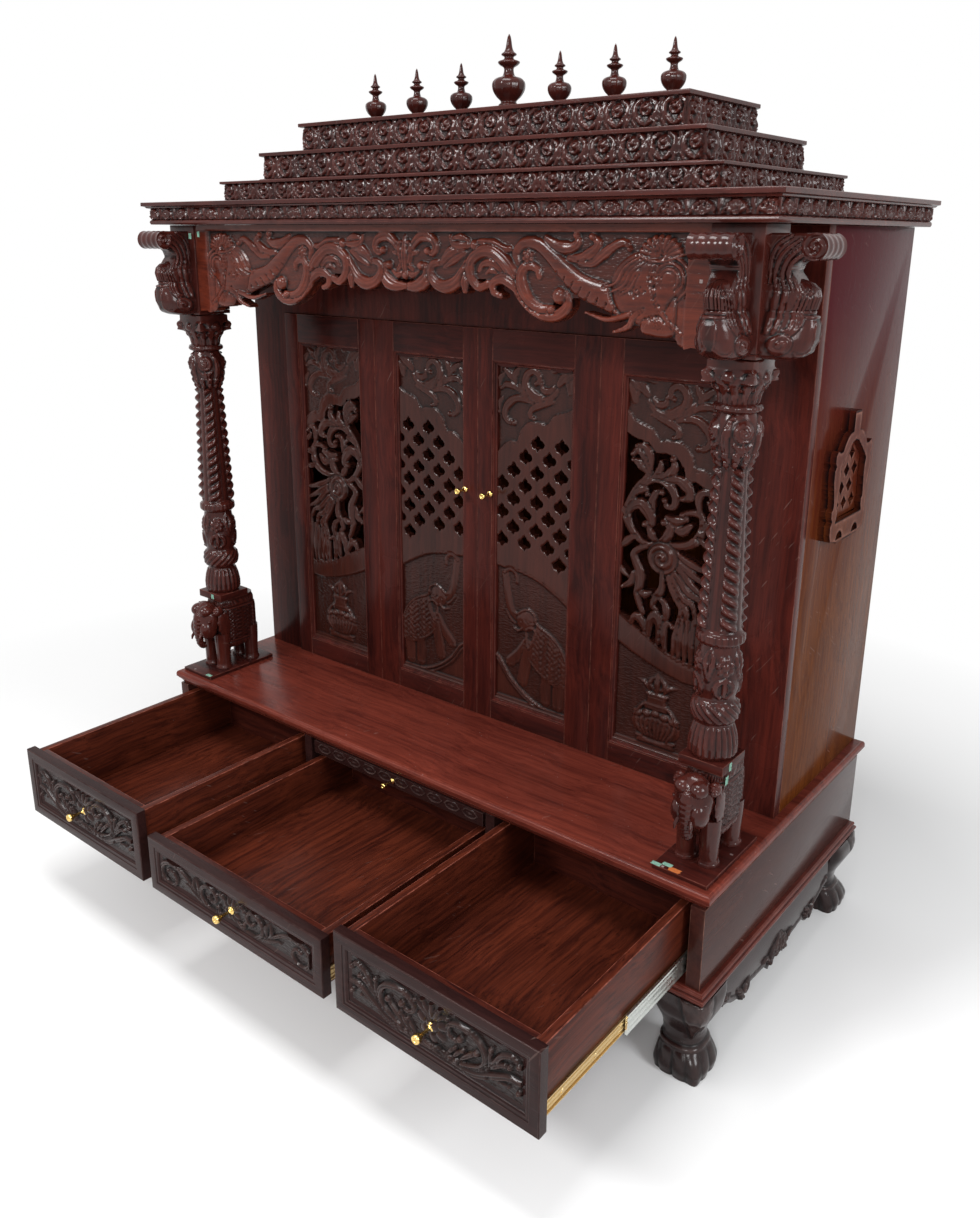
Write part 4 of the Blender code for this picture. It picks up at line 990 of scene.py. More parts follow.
    def grid(self) -> tuple[np.ndarray, np.ndarray]:
        """The u and v values of all grid points."""
        return np.meshgrid(self.us, self.vs)

    def relief_value(self) -> np.ndarray:
        """Relief value of the height field, from about -1 to 1: positive on ridges, which the
        finish paints lighter as wear with a painted highlight, and negative in grooves, which it
        paints dark as painted shade.
        """
        fine, broad = blur(self.high, 1.2), blur(self.high, 3.5)
        diff = (self.high - fine) * 1.6 + (self.high - broad)
        scale = np.percentile(np.abs(diff), 96) + 1e-9
        return np.clip(diff / scale, -1, 1)

    def mesh(self, name: str, place: Callable, thick: float = 0.0, cut: bool = True,
             back: bool = True) -> bpy.types.Mesh:
        """Board with the carved front, cut to the silhouette.

        Args:
            name: mesh name.
            place: turns arrays (u, v, out) into points.
            thick: distance from the ground plane to the back.
            cut: whether the silhouette is used.
            back: whether sides and a back are added.

        Returns:
            The mesh, closed where back is true.
        """
        uu, vv = (a.copy() for a in self.grid())
        inside = self.edge > 0 if cut else np.ones_like(self.edge, bool)
        cell = inside[:-1, :-1].astype(int) + inside[1:, :-1] + inside[:-1, 1:] + inside[1:, 1:]
        keep = cell >= 2 if cut else cell > 0
        if cut:
            self.fit_rim(uu, vv, keep)
        idx = np.arange(self.nu * self.nv).reshape(self.nv, self.nu)
        i, j = np.nonzero(keep)
        quads = np.stack([idx[i, j], idx[i, j + 1], idx[i + 1, j + 1], idx[i + 1, j]], -1)
        front = place(uu.ravel(), vv.ravel(), np.maximum(self.high, 0.0).ravel())
        used, remap = np.unique(quads, return_inverse=True)
        quads = remap.reshape(quads.shape)
        verts, relief, ground = (a[used] for a in (front, self.relief_value().ravel(),
                                                   self.free.ravel()))
        if not back:
            return grid_mesh(name, verts, quads, None, relief, ground)
        edges = np.concatenate([quads[:, [k, (k + 1) % 4]] for k in range(4)])
        code = np.sort(edges, axis=1) @ np.array([len(verts) + 1, 1])
        _, first, count = np.unique(code, return_index=True, return_counts=True)
        rim = edges[first[count == 1]]
        ids = np.unique(rim)
        twin = np.full(len(verts), -1)
        twin[ids] = len(verts) + np.arange(len(ids))
        flat = place(uu.ravel()[used[ids]], vv.ravel()[used[ids]], np.full(len(ids), -thick))
        local = np.full(self.nu * self.nv, -1)
        local[used] = twin
        walls = np.stack([rim[:, 1], rim[:, 0], twin[rim[:, 0]], twin[rim[:, 1]]], -1)
        tris = flat_back(keep, local.reshape(self.nv, self.nu))
        none = np.zeros(len(ids))
        mesh = grid_mesh(name, np.vstack([verts, flat]), np.vstack([quads, walls]), tris,
                         np.concatenate([relief, none]), np.concatenate([ground, none]))
        sharpen(mesh, np.vstack([rim, twin[rim]]))
        return mesh

    def fit_rim(self, uu: np.ndarray, vv: np.ndarray, keep: np.ndarray) -> None:
        """Move the rim points of the kept cells onto the silhouette.

        Args:
            uu: u values, changed in place.
            vv: v values, changed in place.
            keep: which cells the board has.
        """
        gv, gu = np.gradient(self.edge, self.cell)
        norm = np.maximum(gu ** 2 + gv ** 2, 1e-6)
        used, hole = np.zeros((2, *self.edge.shape), bool)
        for a, b in ((0, 0), (0, 1), (1, 0), (1, 1)):
            part = slice(a, a + keep.shape[0]), slice(b, b + keep.shape[1])
            used[part] |= keep
            hole[part] |= ~keep
        rim = used & hole & (np.abs(self.edge) < 1.6 * self.cell)
        rim[[0, -1], :] = rim[:, [0, -1]] = False
        push = np.clip(-self.edge / norm, -1.2 * self.cell, 1.2 * self.cell)
        most = 0.62 * self.cell
        uu[rim] += np.clip(gu[rim] * push[rim], -most, most)
        vv[rim] += np.clip(gv[rim] * push[rim], -most, most)


def flat_back(keep: np.ndarray, twin: np.ndarray) -> np.ndarray:
    """Triangles of a flat back, one strip for each run of cells in a row.

    Args:
        keep: which cells the board has.
        twin: back point number of each grid point on the rim, else -1.

    Returns:
        Corner numbers, three per row.
    """
    tris = []
    for i, row in enumerate(keep):
        steps = np.flatnonzero(np.diff(np.concatenate([[0], row.astype(int), [0]])))
        for a, b in zip(steps[::2], steps[1::2]):
            low = [k for k in range(a, b + 1) if twin[i, k] >= 0]
            top = [k for k in range(a, b + 1) if twin[i + 1, k] >= 0]
            m = n = 0
            while m < len(low) - 1 or n < len(top) - 1:
                if n >= len(top) - 1 or (m < len(low) - 1 and low[m + 1] <= top[n + 1]):
                    tris.append((twin[i, low[m + 1]], twin[i, low[m]], twin[i + 1, top[n]]))
                    m += 1
                else:
                    tris.append((twin[i + 1, top[n]], twin[i + 1, top[n + 1]], twin[i, low[m]]))
                    n += 1
    return np.array(tris, int).reshape(-1, 3)


def sharpen(mesh: bpy.types.Mesh, pairs: np.ndarray) -> None:
    """Mark the edges between pairs of points as sharp."""
    size = len(mesh.vertices) + 1
    ends = np.zeros(len(mesh.edges) * 2, np.int32)
    mesh.edges.foreach_get("vertices", ends)
    have = np.sort(ends.reshape(-1, 2), axis=1) @ np.array([size, 1])
    want = np.sort(pairs, axis=1) @ np.array([size, 1])
    attr = mesh.attributes.get("sharp_edge") or mesh.attributes.new("sharp_edge", "BOOLEAN", "EDGE")
    attr.data.foreach_set("value", np.isin(have, want))


def facing_front(y: float) -> Callable:
    """Placer for a carved board that faces the viewer, with its ground at y."""
    def place(u: np.ndarray, v: np.ndarray, out: np.ndarray) -> np.ndarray:
        """Points of the board."""
        return np.stack([u, y + SHIFT_Y - out, v + FLOOR_TO_TOP], -1)
    return place


# Mouldings

def eased(profile: Path2, radius: float = 0.0012) -> list[tuple[float, float, float]]:
    """Profile with small rounds at its inner corners.

    Args:
        profile: (inset, height) points.
        radius: size of a round.

    Returns:
        (inset, height, relief value) rows: convex rounds are ridges, painted lighter as wear with a
        highlight, and concave ones are grooves, painted dark as shade.
    """
    p = np.asarray(profile, float)
    rows = [(*p[0], 0.0)]
    for a, b, c in zip(p[:-2], p[1:-1], p[2:]):
        d0, d1 = b - a, c - b
        l0, l1 = np.hypot(*d0), np.hypot(*d1)
        r = min(radius, 0.45 * l0, 0.45 * l1)
        turn = d0[0] * d1[1] - d0[1] * d1[0]
        if abs(turn) < 0.15 * l0 * l1:
            rows.append((*b, 0.0))
            continue
        start, end = b - d0 / l0 * r, b + d1 / l1 * r
        value = 0.8 if turn < 0 else -0.7
        rows += [(*start, 0.0), (*(0.6 * b + 0.2 * (start + end)), value), (*end, 0.0)]
    return rows + [(*p[-1], 0.0)]


class Facing(Enum):
    """Way that a board or a moulded rectangle looks."""

    UP = "up"
    FRONT = "front"
    RIGHT = "right"
    LEFT = "left"


def end_of(side: float) -> Facing:
    """End of the object on one side."""
    return Facing.RIGHT if side > 0 else Facing.LEFT


def handed(name: str, side: float) -> str:
    """Name with the letter of its side."""
    return name + ("_r" if side > 0 else "_l")


def moulding(name: str, rect: tuple[float, float, float, float],
             profile: Sequence[tuple[float, float, float]], facing: Facing = Facing.UP,
             at: float = 0.0, cap: bool = True) -> bpy.types.Mesh:
    """Sweep a profile round a rectangle with mitred corners.

    Args:
        name: mesh name.
        rect: low and high of the first axis, then of the second.
        profile: (inset, height, relief value) rows.
        facing: UP for x, y rectangles with heights in z; FRONT for x, z ones, out of the front.
        at: place of height 0 along the third axis.
        cap: whether the ends are filled; otherwise the profile is closed on itself.

    Returns:
        The mesh, shaded smooth over its small rounds.
    """
    a, b, c, d = rect
    rings, values = [], []
    for inset, high, value in profile:
        corners = [(a + inset, c + inset), (b - inset, c + inset), (b - inset, d - inset),
                   (a + inset, d - inset)]
        if facing is Facing.UP:
            ring = [(u, v + SHIFT_Y, at + high + FLOOR_TO_TOP) for u, v in corners]
        else:
            ring = [(u, at - high + SHIFT_Y, v + FLOOR_TO_TOP) for u, v in corners]
        rings.append(np.array(ring))
        values += [value] * 4
    if not cap:
        rings.append(rings[0])
        values += values[:4]
    mesh = ring_mesh(name, rings, cap=cap, relief=np.array(values, float))
    tidy(mesh, 38.0, 0.00001)
    return mesh


def cad_rect(node: str) -> tuple[float, float, float, float, float, float]:
    """Box of a CAD node against the front edge and top face of the base board."""
    low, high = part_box(node)
    return (low[0], high[0], low[1] - SHIFT_Y, high[1] - SHIFT_Y, low[2] - FLOOR_TO_TOP,
            high[2] - FLOOR_TO_TOP)


# Base case

@dataclass
class BaseCase:
    """Low case of boards under the shrine, with its moulded top and bottom boards."""

    top_nose: str = ("300 -32, 13 -32, 11 -28, 7.5 -22.5, 3.5 -19.5, 3.5 -17.5, 0 -15.5, 0 -7.5, "
                     "2.2 -2.5, 6.5 0, 300 0")
    low_nose: str = "300 0, 4 0, 1.2 2.5, 0 6.5, 1.2 10.5, 4.5 12, 4.5 13.5, 3.5 16.5"

    def build(self) -> None:
        """Make the boards."""
        x0, x1, y0, y1, _, z1 = cad_rect("base_top")
        mesh = moulding("top_board", (x0, x1, y0, y1), eased(points(self.top_nose), 0.0009), at=z1)
        to_object(mesh, BOARD, "base_top")
        x0, x1, y0, y1, z0, z1 = cad_rect("base_bottom")
        h = z1 - z0
        nose = points(self.low_nose) + [(0.0045, h - 0.0025), (0.0075, h), (0.30, h)]
        mesh = moulding("bottom_board", (x0, x1, y0, y1), eased(nose, 0.0008), at=z0)
        to_object(mesh, BOARD_LOW, "base_bottom")
        for node in ("base_side_r", "base_side_l", "base_back", "divider_r", "divider_l"):
            to_object(bevelled(node, 0.0010), LOW_PANEL if "side" in node else DARK, node,
                      slot="mahogany_board")


# Brass knobs

@dataclass
class Knob:
    """Turned brass knob: flange, waisted neck and domed head with a dimple."""

    node: str
    body: str = "cabinet"
    steps: int = 36
    shape: str = ("0 0, 980 0, 1000 30, 1000 60, 900 100, 620 130, 460 170, 360 240, 320 340, "
                  "330 440, 400 550, 520 630, 700 690, 740 710, 740 740, 820 760, 970 800, "
                  "1000 840, 990 900, 930 955, 820 985, 660 1000, 500 990, 400 965, 300 955, "
                  "140 960, 0 962")

    def build(self) -> None:
        """Turn it at its CAD node's place; its shape is in shares of its radius and length."""
        low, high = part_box(self.node)
        long, r = high[1] - low[1], (high[0] - low[0]) / 2
        line = spline(points(self.shape), 2)
        line[:, 0] = np.clip(line[:, 0], 0.0, 1.0)
        rings = turned([(a * r, b * long) for a, b in line], Vector((0, 0, 0)), self.steps)
        mesh = ring_mesh(self.node + "_turned", rings, cap=False)
        foot = ((low[0] + high[0]) / 2, high[1], (low[2] + high[2]) / 2)
        mesh.transform(Matrix.Translation(foot) @ Matrix.Rotation(math.pi / 2, 4, "X"))
        tidy(mesh)
        to_object(mesh, BRASS, self.node, self.body)


# Drawers

class Bay(Enum):
    """Bay of the base case."""

    LEFT = "l"
    CENTRE = "c"
    RIGHT = "r"


SIDE_DRAWER = """
0 -45, 35 -46, 75 -40, 105 -20, 112 8, 98 34, 66 44, 40 33, 37 12, 52 4,
  62 14: w12.5 h6.2 t0.9/1/0.55 b6.5
16 -40, 48 -52, 90 -46, 130 -22, 162 -4, 192 -8, 190 -26, 176 -26: w13.5 h6.2 t0.5/1/0.5 b5
70 -44, 104 -26, 128 6, 142 32, 164 44, 176 32: w11 h5.6 t0.3/1/0.7 b5.5
108 -22, 126 -4, 142 12, 158 18: w9 h5 t0.3/1/0.8 b5
118 -10, 120 14, 122 32: w8 h4.8 t0.4/1/0.9 v0 b4.8
58 -40, 70 -22, 84 -6, 94 4: w9.5 h5.2 t0.4/1/0.9 b6.2
45 -40, 55 -24, 66 -10: w8.5 h4.8 t0.5/1/0.5 b4.5
34 -38, 43 -24, 50 -14: w8 h4.4 t0.5/1/0.5 b3.8
118 -34, 140 -30, 156 -28: w6.5 h3.4 t0.6/1/0.5 b3.5
"""

CENTRE_DRAWER = """
90 -20, 120 -2, 150 18, 185 26, 212 14, 220 -8, 208 -27, 186 -30, 172 -16, 178 2,
  196 4: w11 h5 t0.5/1/0.55 b4.2
75 -30, 105 -20, 130 -8, 142 -6: w8.5 h4.2 t0.7/1/0.4
46 -30, 72 -28, 90 -10, 88 12, 68 24, 48 16, 46 -2, 58 -8, 66 0: w9.5 h4.8 t0.8/1/0.5 b4.2
102 -12, 100 8, 110 26: w10 h4.4 t0.4/1/0.25
108 -10, 116 6, 113 24: w8 h4 t0.4/1/0.25 v0
18 -18, 34 -26, 40 -12: w9 h4.4 t0.6/1/0.6 b4.5
14 10, 26 22, 40 18: w9 h4.4 t0.6/1/0.6 b4.5
"""


@dataclass
class Drawer:
    """Pulled-out drawer: framed carved front, box of boards, slide members and brass knob."""

    bay: Bay
    border: float = 0.022
    sill: float = 0.0135
    deep: float = 0.008
    wall: float = 0.016
    rail: float = 0.0039

    def __post_init__(self) -> None:
        """Names of its body and nodes."""
        self.tag = self.bay.value
        self.body = "drawer_" + self.tag
        self.front = "drawer_front_" + self.tag
        self.box = "drawer_box_" + self.tag

    def build(self) -> None:
        """Make the drawer."""
        self.make_front()
        self.make_box()
        Knob("knob_" + self.tag, self.body).build()

    def make_front(self) -> None:
        """Moulded frame round a carved sunk field."""
        x0, x1, y0, y1, z0, z1 = cad_rect(self.front)
        b, thick = self.border, y1 - y0
        profile = [(0.0, 0.0), (0.0, thick - 0.0015), (0.0015, thick), (b - 0.0035, thick),
                   (b - 0.0020, thick - 0.0016), (b + 0.0020, thick - 0.0016),
                   (b + 0.0060, thick - 0.0040), (b + 0.0068, thick - 0.0056),
                   (b + self.sill, thick - self.deep), (b + self.sill, 0.0)]
        mesh = moulding(self.front + "_frame", (x0, x1, z0, z1), eased(profile, 0.0009),
                        Facing.FRONT, y1, cap=False)
        to_object(mesh, DARK, self.front, self.body)
        inset = b + self.sill - 0.0003
        relief = Relief(x0 + inset, x1 - inset, z0 + inset, z1 - inset, 0.0018)
        self.carve(relief, (x0 + x1) / 2, (z0 + z1) / 2)
        mesh = relief.mesh(self.front + "_field", facing_front(y1 - (thick - self.deep)),
                           thick - self.deep - 0.0002, cut=False)
        to_object(mesh, DARK_CARVED, "", self.body)

    def carve(self, relief: Relief, cx: float, cz: float) -> None:
        """Scrolls each side of a middle flower."""
        centre = self.bay is Bay.CENTRE
        table, tall = (CENTRE_DRAWER, 0.86) if centre else (SIDE_DRAWER, 0.80)
        relief.carve_both(table, (cx, cz), (0.985, tall), (1.04, 1.40))
        if centre:
            relief.petals((cx, cz), 0.026, 0.0046, 8, 0.4, 0.38)
            return
        relief.petals((cx + 0.002, cz + 0.004), 0.034, 0.0058, 7, 0.3, 0.40)
        for k in range(5):
            a = math.radians(40 + 25 * k)
            tip = (cx + 0.040 * math.cos(a) * 1.1, cz + 0.012 + 0.032 * math.sin(a))
            relief.stroke([(cx, cz + 0.010), (0.5 * (cx + tip[0]), cz + 0.024), tip], 0.009, 0.0055,
                          (0.5, 1.0, 0.7), 1, 0.0042)

    def make_box(self) -> None:
        """Sides, ends and floor as separate boards, and the drawer members of the slides."""
        x0, x1, y0, y1, z0, z1 = cad_rect(self.box)
        x0, x1 = x0 + self.rail, x1 - self.rail
        w, low = self.wall, z0 + 0.010
        a, b = x0 + w + 0.0002, x1 - w - 0.0002
        walls = (((x0, y0), (x0 + w, y1)), ((x1 - w, y0), (x1, y1)), ((a, y0), (b, y0 + w)),
                 ((a, y1 - w), (b, y1)))
        for k, (near, far) in enumerate(walls):
            mesh = rounded(f"{self.box}_wall_{k + 1}", world(*near, low), world(*far, z1), 0.0014)
            to_object(mesh, INSIDE if k < 2 else INSIDE_CROSS, "" if k else self.box, self.body)
        mesh = rounded(self.box + "_floor", world(x0 + 0.004, y0 + 0.004, z0 + 0.001),
                       world(x1 - 0.004, y1 - 0.004, z0 + 0.0125), 0.0006)
        to_object(mesh, INSIDE, "", self.body)
        for side, x in ((1, x1), (-1, x0)):
            name = handed(self.box + "_rail", side)
            mesh = rail_mesh(name, x + side * 0.0002, side, y0 + 0.004, y0 + 0.454)
            to_object(mesh, YELLOW_ZINC, "", self.body)


def rail_mesh(name: str, x: float, side: float, y0: float, y1: float) -> bpy.types.Mesh:
    """Rolled steel slide member: a shallow channel with lips, two ribs and pressed dimples.

    Args:
        name: mesh name.
        x: face that it stands on.
        side: 1 where it opens to +x, -1 to -x.
        y0: front end.
        y1: back end.

    Returns:
        The mesh.
    """
    out, z, half, gauge, dimples = 0.0034, -0.157, 0.014, 0.0011, 5
    lower = points("0 -14, 3.4 -14, 3.8 -13.4, 3.8 -12, 2.3 -12, 2.3 -12.5, 1.1 -12.5, 1.1 -6.2, "
                   "2.42 -5.6, 2.42 -4, 1.1 -3.4")
    sect = lower + [(a, -b) for a, b in reversed(lower)]
    rings = []
    for y in (y0, y0 + 0.002, *np.linspace(y0 + 0.01, y1 - 0.01, 9), y1 - 0.002, y1):
        pinch = 0.0006 if y in (y0, y1) else 0.0
        rings.append(np.array([[x + side * min(a, out), y + SHIFT_Y,
                                z + b * (1 - pinch / half) + FLOOR_TO_TOP] for a, b in sect]))
    mesh = ring_mesh(name, rings)
    with editing(mesh, 30.0) as bm:
        for k in range(dimples):
            y = y0 + (y1 - y0) * (k + 0.5) / dimples
            made = bmesh.ops.create_cone(bm, cap_ends=True, segments=16, radius1=0.0042,
                                         radius2=0.0030, depth=0.0012)["verts"]
            turn = Matrix.Translation((x + side * (gauge + 0.0006), y + SHIFT_Y, z + FLOOR_TO_TOP))
            turn = turn @ Matrix.Rotation(side * math.pi / 2, 4, "Y")
            bmesh.ops.transform(bm, matrix=turn, verts=made)
    return mesh


@dataclass
class Slides:
    """Middle members of the telescopic slides."""

    proud: float = 0.0012

    def build(self) -> None:
        """Dress each member with a channel between ribs, with slots along it."""
        for node, body, side in (("slide_l_out", "slides_l", -1), ("slide_l_in", "slides_l", 1),
                                 ("slide_c_l", "slides_c", -1), ("slide_c_r", "slides_c", 1),
                                 ("slide_r_in", "slides_r", -1), ("slide_r_out", "slides_r", 1)):
            x0, x1, y0, y1, z0, z1 = cad_rect(node)
            half, mid = (y1 - y0) / 2, (z0 + z1) / 2
            field = Relief(-half, half, z0, z1, 0.0026)
            for v, wide, high in ((z0 + 0.0020, 0.0040, 0.0011), (z1 - 0.0020, 0.0040, 0.0011),
                                  (mid - 0.0065, 0.0024, 0.0007), (mid + 0.0065, 0.0024, 0.0007)):
                field.stroke([(-half, v), (half, v)], wide, high, FLAT, 0, sink=0.0)
            for at, length in ((0.030, 0.022), (0.085, 0.008), (0.300, 0.022), (0.380, 0.008)):
                u = side * (at - half)
                field.stroke([(u, mid), (u + side * length, mid)], 0.0075, -0.0012, FLAT, 0,
                             sink=0.0)
            face = (x1 if side > 0 else -x0) - self.proud
            place = strip_placer(end_of(side), face, (y0 + y1) / 2)
            mesh = field.mesh(node + "_channel", place, x1 - x0 - self.proud, cut=False)
            tidy(mesh, 60.0, 0.0)
            to_object(mesh, ZINC, node, body)


@dataclass
class Tray:
    """Shallow tray over the centre drawer, with a chain-carved front."""

    half: float = 0.2475
    low: float = -0.0675
    high: float = -0.0375
    pitch: float = 0.0475
    links: int = 10

    def build(self) -> None:
        """Make the tray and its front."""
        y0 = cad_rect("tray")[2]
        to_object(bevelled("tray", 0.0008, "_body"), DARK, "tray", "tray")
        Knob("knob_tray", "tray").build()
        relief = Relief(-self.half + 0.004, self.half - 0.004, self.low + 0.006, self.high - 0.002,
                        0.0017)
        mid = (self.low + self.high) / 2 + 0.0022
        for k in range(self.links):
            u = (k - (self.links - 1) / 2) * self.pitch
            tilt = 1 if u > 0 else -1
            for s in (1, -1):
                relief.stroke([(u - 0.020, mid - s * 0.001), (u - 0.010, mid + s * 0.0078),
                               (u + 0.010, mid + s * 0.0078), (u + 0.020, mid - s * 0.001)],
                              0.0050, 0.0026, (0.7, 1.0, 0.7), 0, sink=0.0006)
            relief.stroke([(u - 0.009, mid + 0.0012 * tilt), (u + 0.009, mid - 0.0012 * tilt)],
                          0.0062, 0.0026, (0.4, 1.0, 0.4), 1, sink=0.0006)
        mesh = relief.mesh("tray_chain", facing_front(y0 + 0.0002 if y0 > 0 else 0.0133), 0.0002,
                           cut=False)
        to_object(mesh, DARK, "", "tray")


# Carved boards

def polygon_distance(uu: np.ndarray, vv: np.ndarray, poly: Path2) -> np.ndarray:
    """Signed distance to a closed outline, positive inside."""
    p = np.asarray(poly, float)
    best = np.full(uu.shape, 1e9)
    hit = np.zeros(uu.shape, bool)
    for a, b in zip(p, np.roll(p, -1, axis=0)):
        ab = b - a
        k = np.clip(((uu - a[0]) * ab[0] + (vv - a[1]) * ab[1]) / max(ab @ ab, 1e-12), 0, 1)
        best = np.minimum(best, np.hypot(uu - a[0] - k * ab[0], vv - a[1] - k * ab[1]))
        over = ((a[1] > vv) != (b[1] > vv)) & \
            (uu < (b[0] - a[0]) * (vv - a[1]) / (b[1] - a[1] + 1e-15) + a[0])
        hit ^= over
    return np.where(hit, best, -best)


def plateau(relief: Relief, poly: Path2, height: float, ramp: float = 0.0012) -> None:
    """Raise a flat field with softened edges, and take the chiselled ground off it."""
    inside = polygon_distance(*relief.grid(), poly)
    share = smooth01(0.5 + inside / (2 * ramp))
    relief.high = relief.high * (1 - share) + height * share
    relief.free = relief.free * (1 - smooth01(inside / 0.001 + 1))


def pierce(relief: Relief, poly: Path2) -> None:
    """Take a region out of the silhouette."""
    inside = polygon_distance(*relief.grid(), poly)
    relief.edge = np.minimum(relief.edge, -inside)
    relief.free = relief.free * (inside < 0)


def scrolls(relief: Relief, table: str, flip: float = 1.0, cut: bool = False) -> None:
    """Carve a table of scrolls in full strength; cut lets them stand free in a pierced region."""
    relief.carve(table, flip, swell=(1.28, 1.15), taper=(0.45, 1.0, 0.5), open_edge=cut)


FASCIA_LOW = points(
    "0 985, 45 985, 75 985, 105 985, 140 995, 170 990, 200 990, 235 985, 270 965, 300 955, "
    "335 950, 360 965, 395 965, 430 953, 465 945, 490 930, 515 925, 545 930, 565 917, 597 899, "
    "637 897")
FASCIA_SCROLLS = """
1 972, 24 972, 44 979, 56 993, 53 1006, 41 1010: w24 h8.5 v2 b8.5
6 1016, 12 1032, 24 1050, 45 1064, 68 1059, 78 1045, 70 1033, 57 1037: w18 h8 b7.5
30 1034, 14 1030, 9 1014, 19 1002: w13 h7
86 1017, 68 1012, 64 996, 79 979, 104 974, 128 984, 145 1004, 160 1024, 180 1037: w22 h8.5 v2
92 1017, 104 1029, 124 1040, 142 1041: w19 h7 v2
98 1009, 120 1020, 146 1034: w12 h5.5
112 1064, 121 1050, 148 1047, 163 1049: w13 h6.8 b4
118 1060, 138 1062, 156 1056: w11 h6
176 1054, 205 1052, 238 1042, 250 1043: w15 h7
149 999, 147 984, 147 968: w16 h7
203 982, 180 976, 161 994, 161 1019, 183 1036, 209 1038, 235 1023, 256 1000, 275 971, 298 948,
  328 934, 356 936, 374 952, 370 968, 357 967: w25 h9.5 v2 b14.5
180 1004, 190 1016, 212 1018, 234 1003: w13 h6.5
196 1000, 208 1006, 222 1000: w9 h5 v0
229 962, 215 968, 212 983, 234 992, 258 982, 281 962, 300 945: w18 h8 v2 b6
313 998, 308 1010, 290 1016, 276 1003, 278 981, 293 958, 316 945, 341 944: w20 h9 v2 b8.5
326 1062, 351 1049, 376 1046, 391 1053, 389 1066: w18 h8 v2 b6.5
374 1029, 401 1030, 423 1041, 432 1053, 420 1064: w18 h8 v2 b6.5
396 1021, 422 1022, 442 1036, 467 1052, 484 1054, 492 1045: w15 h7.5 v2 b5
"""
FLEUR_SIDE = """
0 1000, 9 1022, 15 1043, 10 1052: w13 h8.5 t0.5/1/0.7 b4 open
2 998, 20 992, 33 999: w12 h7.5 t0.6/1/0.5 open
"""
FLEUR_BUD = """
0 996, 0 1030, 0 1069: w20 h10 t0.5/1/0.15
0 992: r8 h9 open
"""
HEAD_TRUNK = """
530 968, 480 963, 442 972, 401 985, 366 1009, 336 1034, 309 1051, 281 1053, 262 1038,
  266 1020: w44 h8.8 t1.25/0.78/0.3 v0 open
"""
HEAD_SKULL = """
532 985: r75 h9.5 q0.8 open
585 955, 565 930, 530 926: w40 h8 t1/1/0.7 v0 open
600 960, 600 915: w40 h7 t1/1/1 v0 open
"""
HEAD_CHEEK = """
540 990, 546 962, 568 935, 596 915: w8.5 h10 t0.6/1/0.8
"""
HEAD_FACE = """
508 1038, 530 1028, 560 1028, 590 1038: w6 h10 t0.7/1/0.7 v0
448 985, 470 993, 487 1018, 512 1033: w7.5 h10 t0.6/1/0.6 v0 s1.4
462 978, 486 990, 500 1012, 524 1026: w7.5 h10 t0.6/1/0.6 v0 s1.4
478 974, 497 984, 507 1000, 514 1014: w7.5 h10 t0.6/1/0.6 v0 s1.4
511 979: r5 h10.5
498 979, 511 987.5, 526 981: w3.2 h10 t0.6/1/0.6 v0 s1
498 979, 511 970.5, 526 981: w3.2 h10 t0.6/1/0.6 v0 s1
500 944, 456 933, 412 942: w11.5 h10.5 t1/0.9/0.35 v0 open
522 952, 505 941, 495 924, 470 914: w10.5 h10 t0.7/1/0.6 open
535 945, 545 927: w3 h9.2 t1/1/1 v0 s1.2
543 941, 553 923: w3 h9.2 t1/1/1 v0 s1.2
551 937, 561 919: w3 h9.2 t1/1/1 v0 s1.2
"""


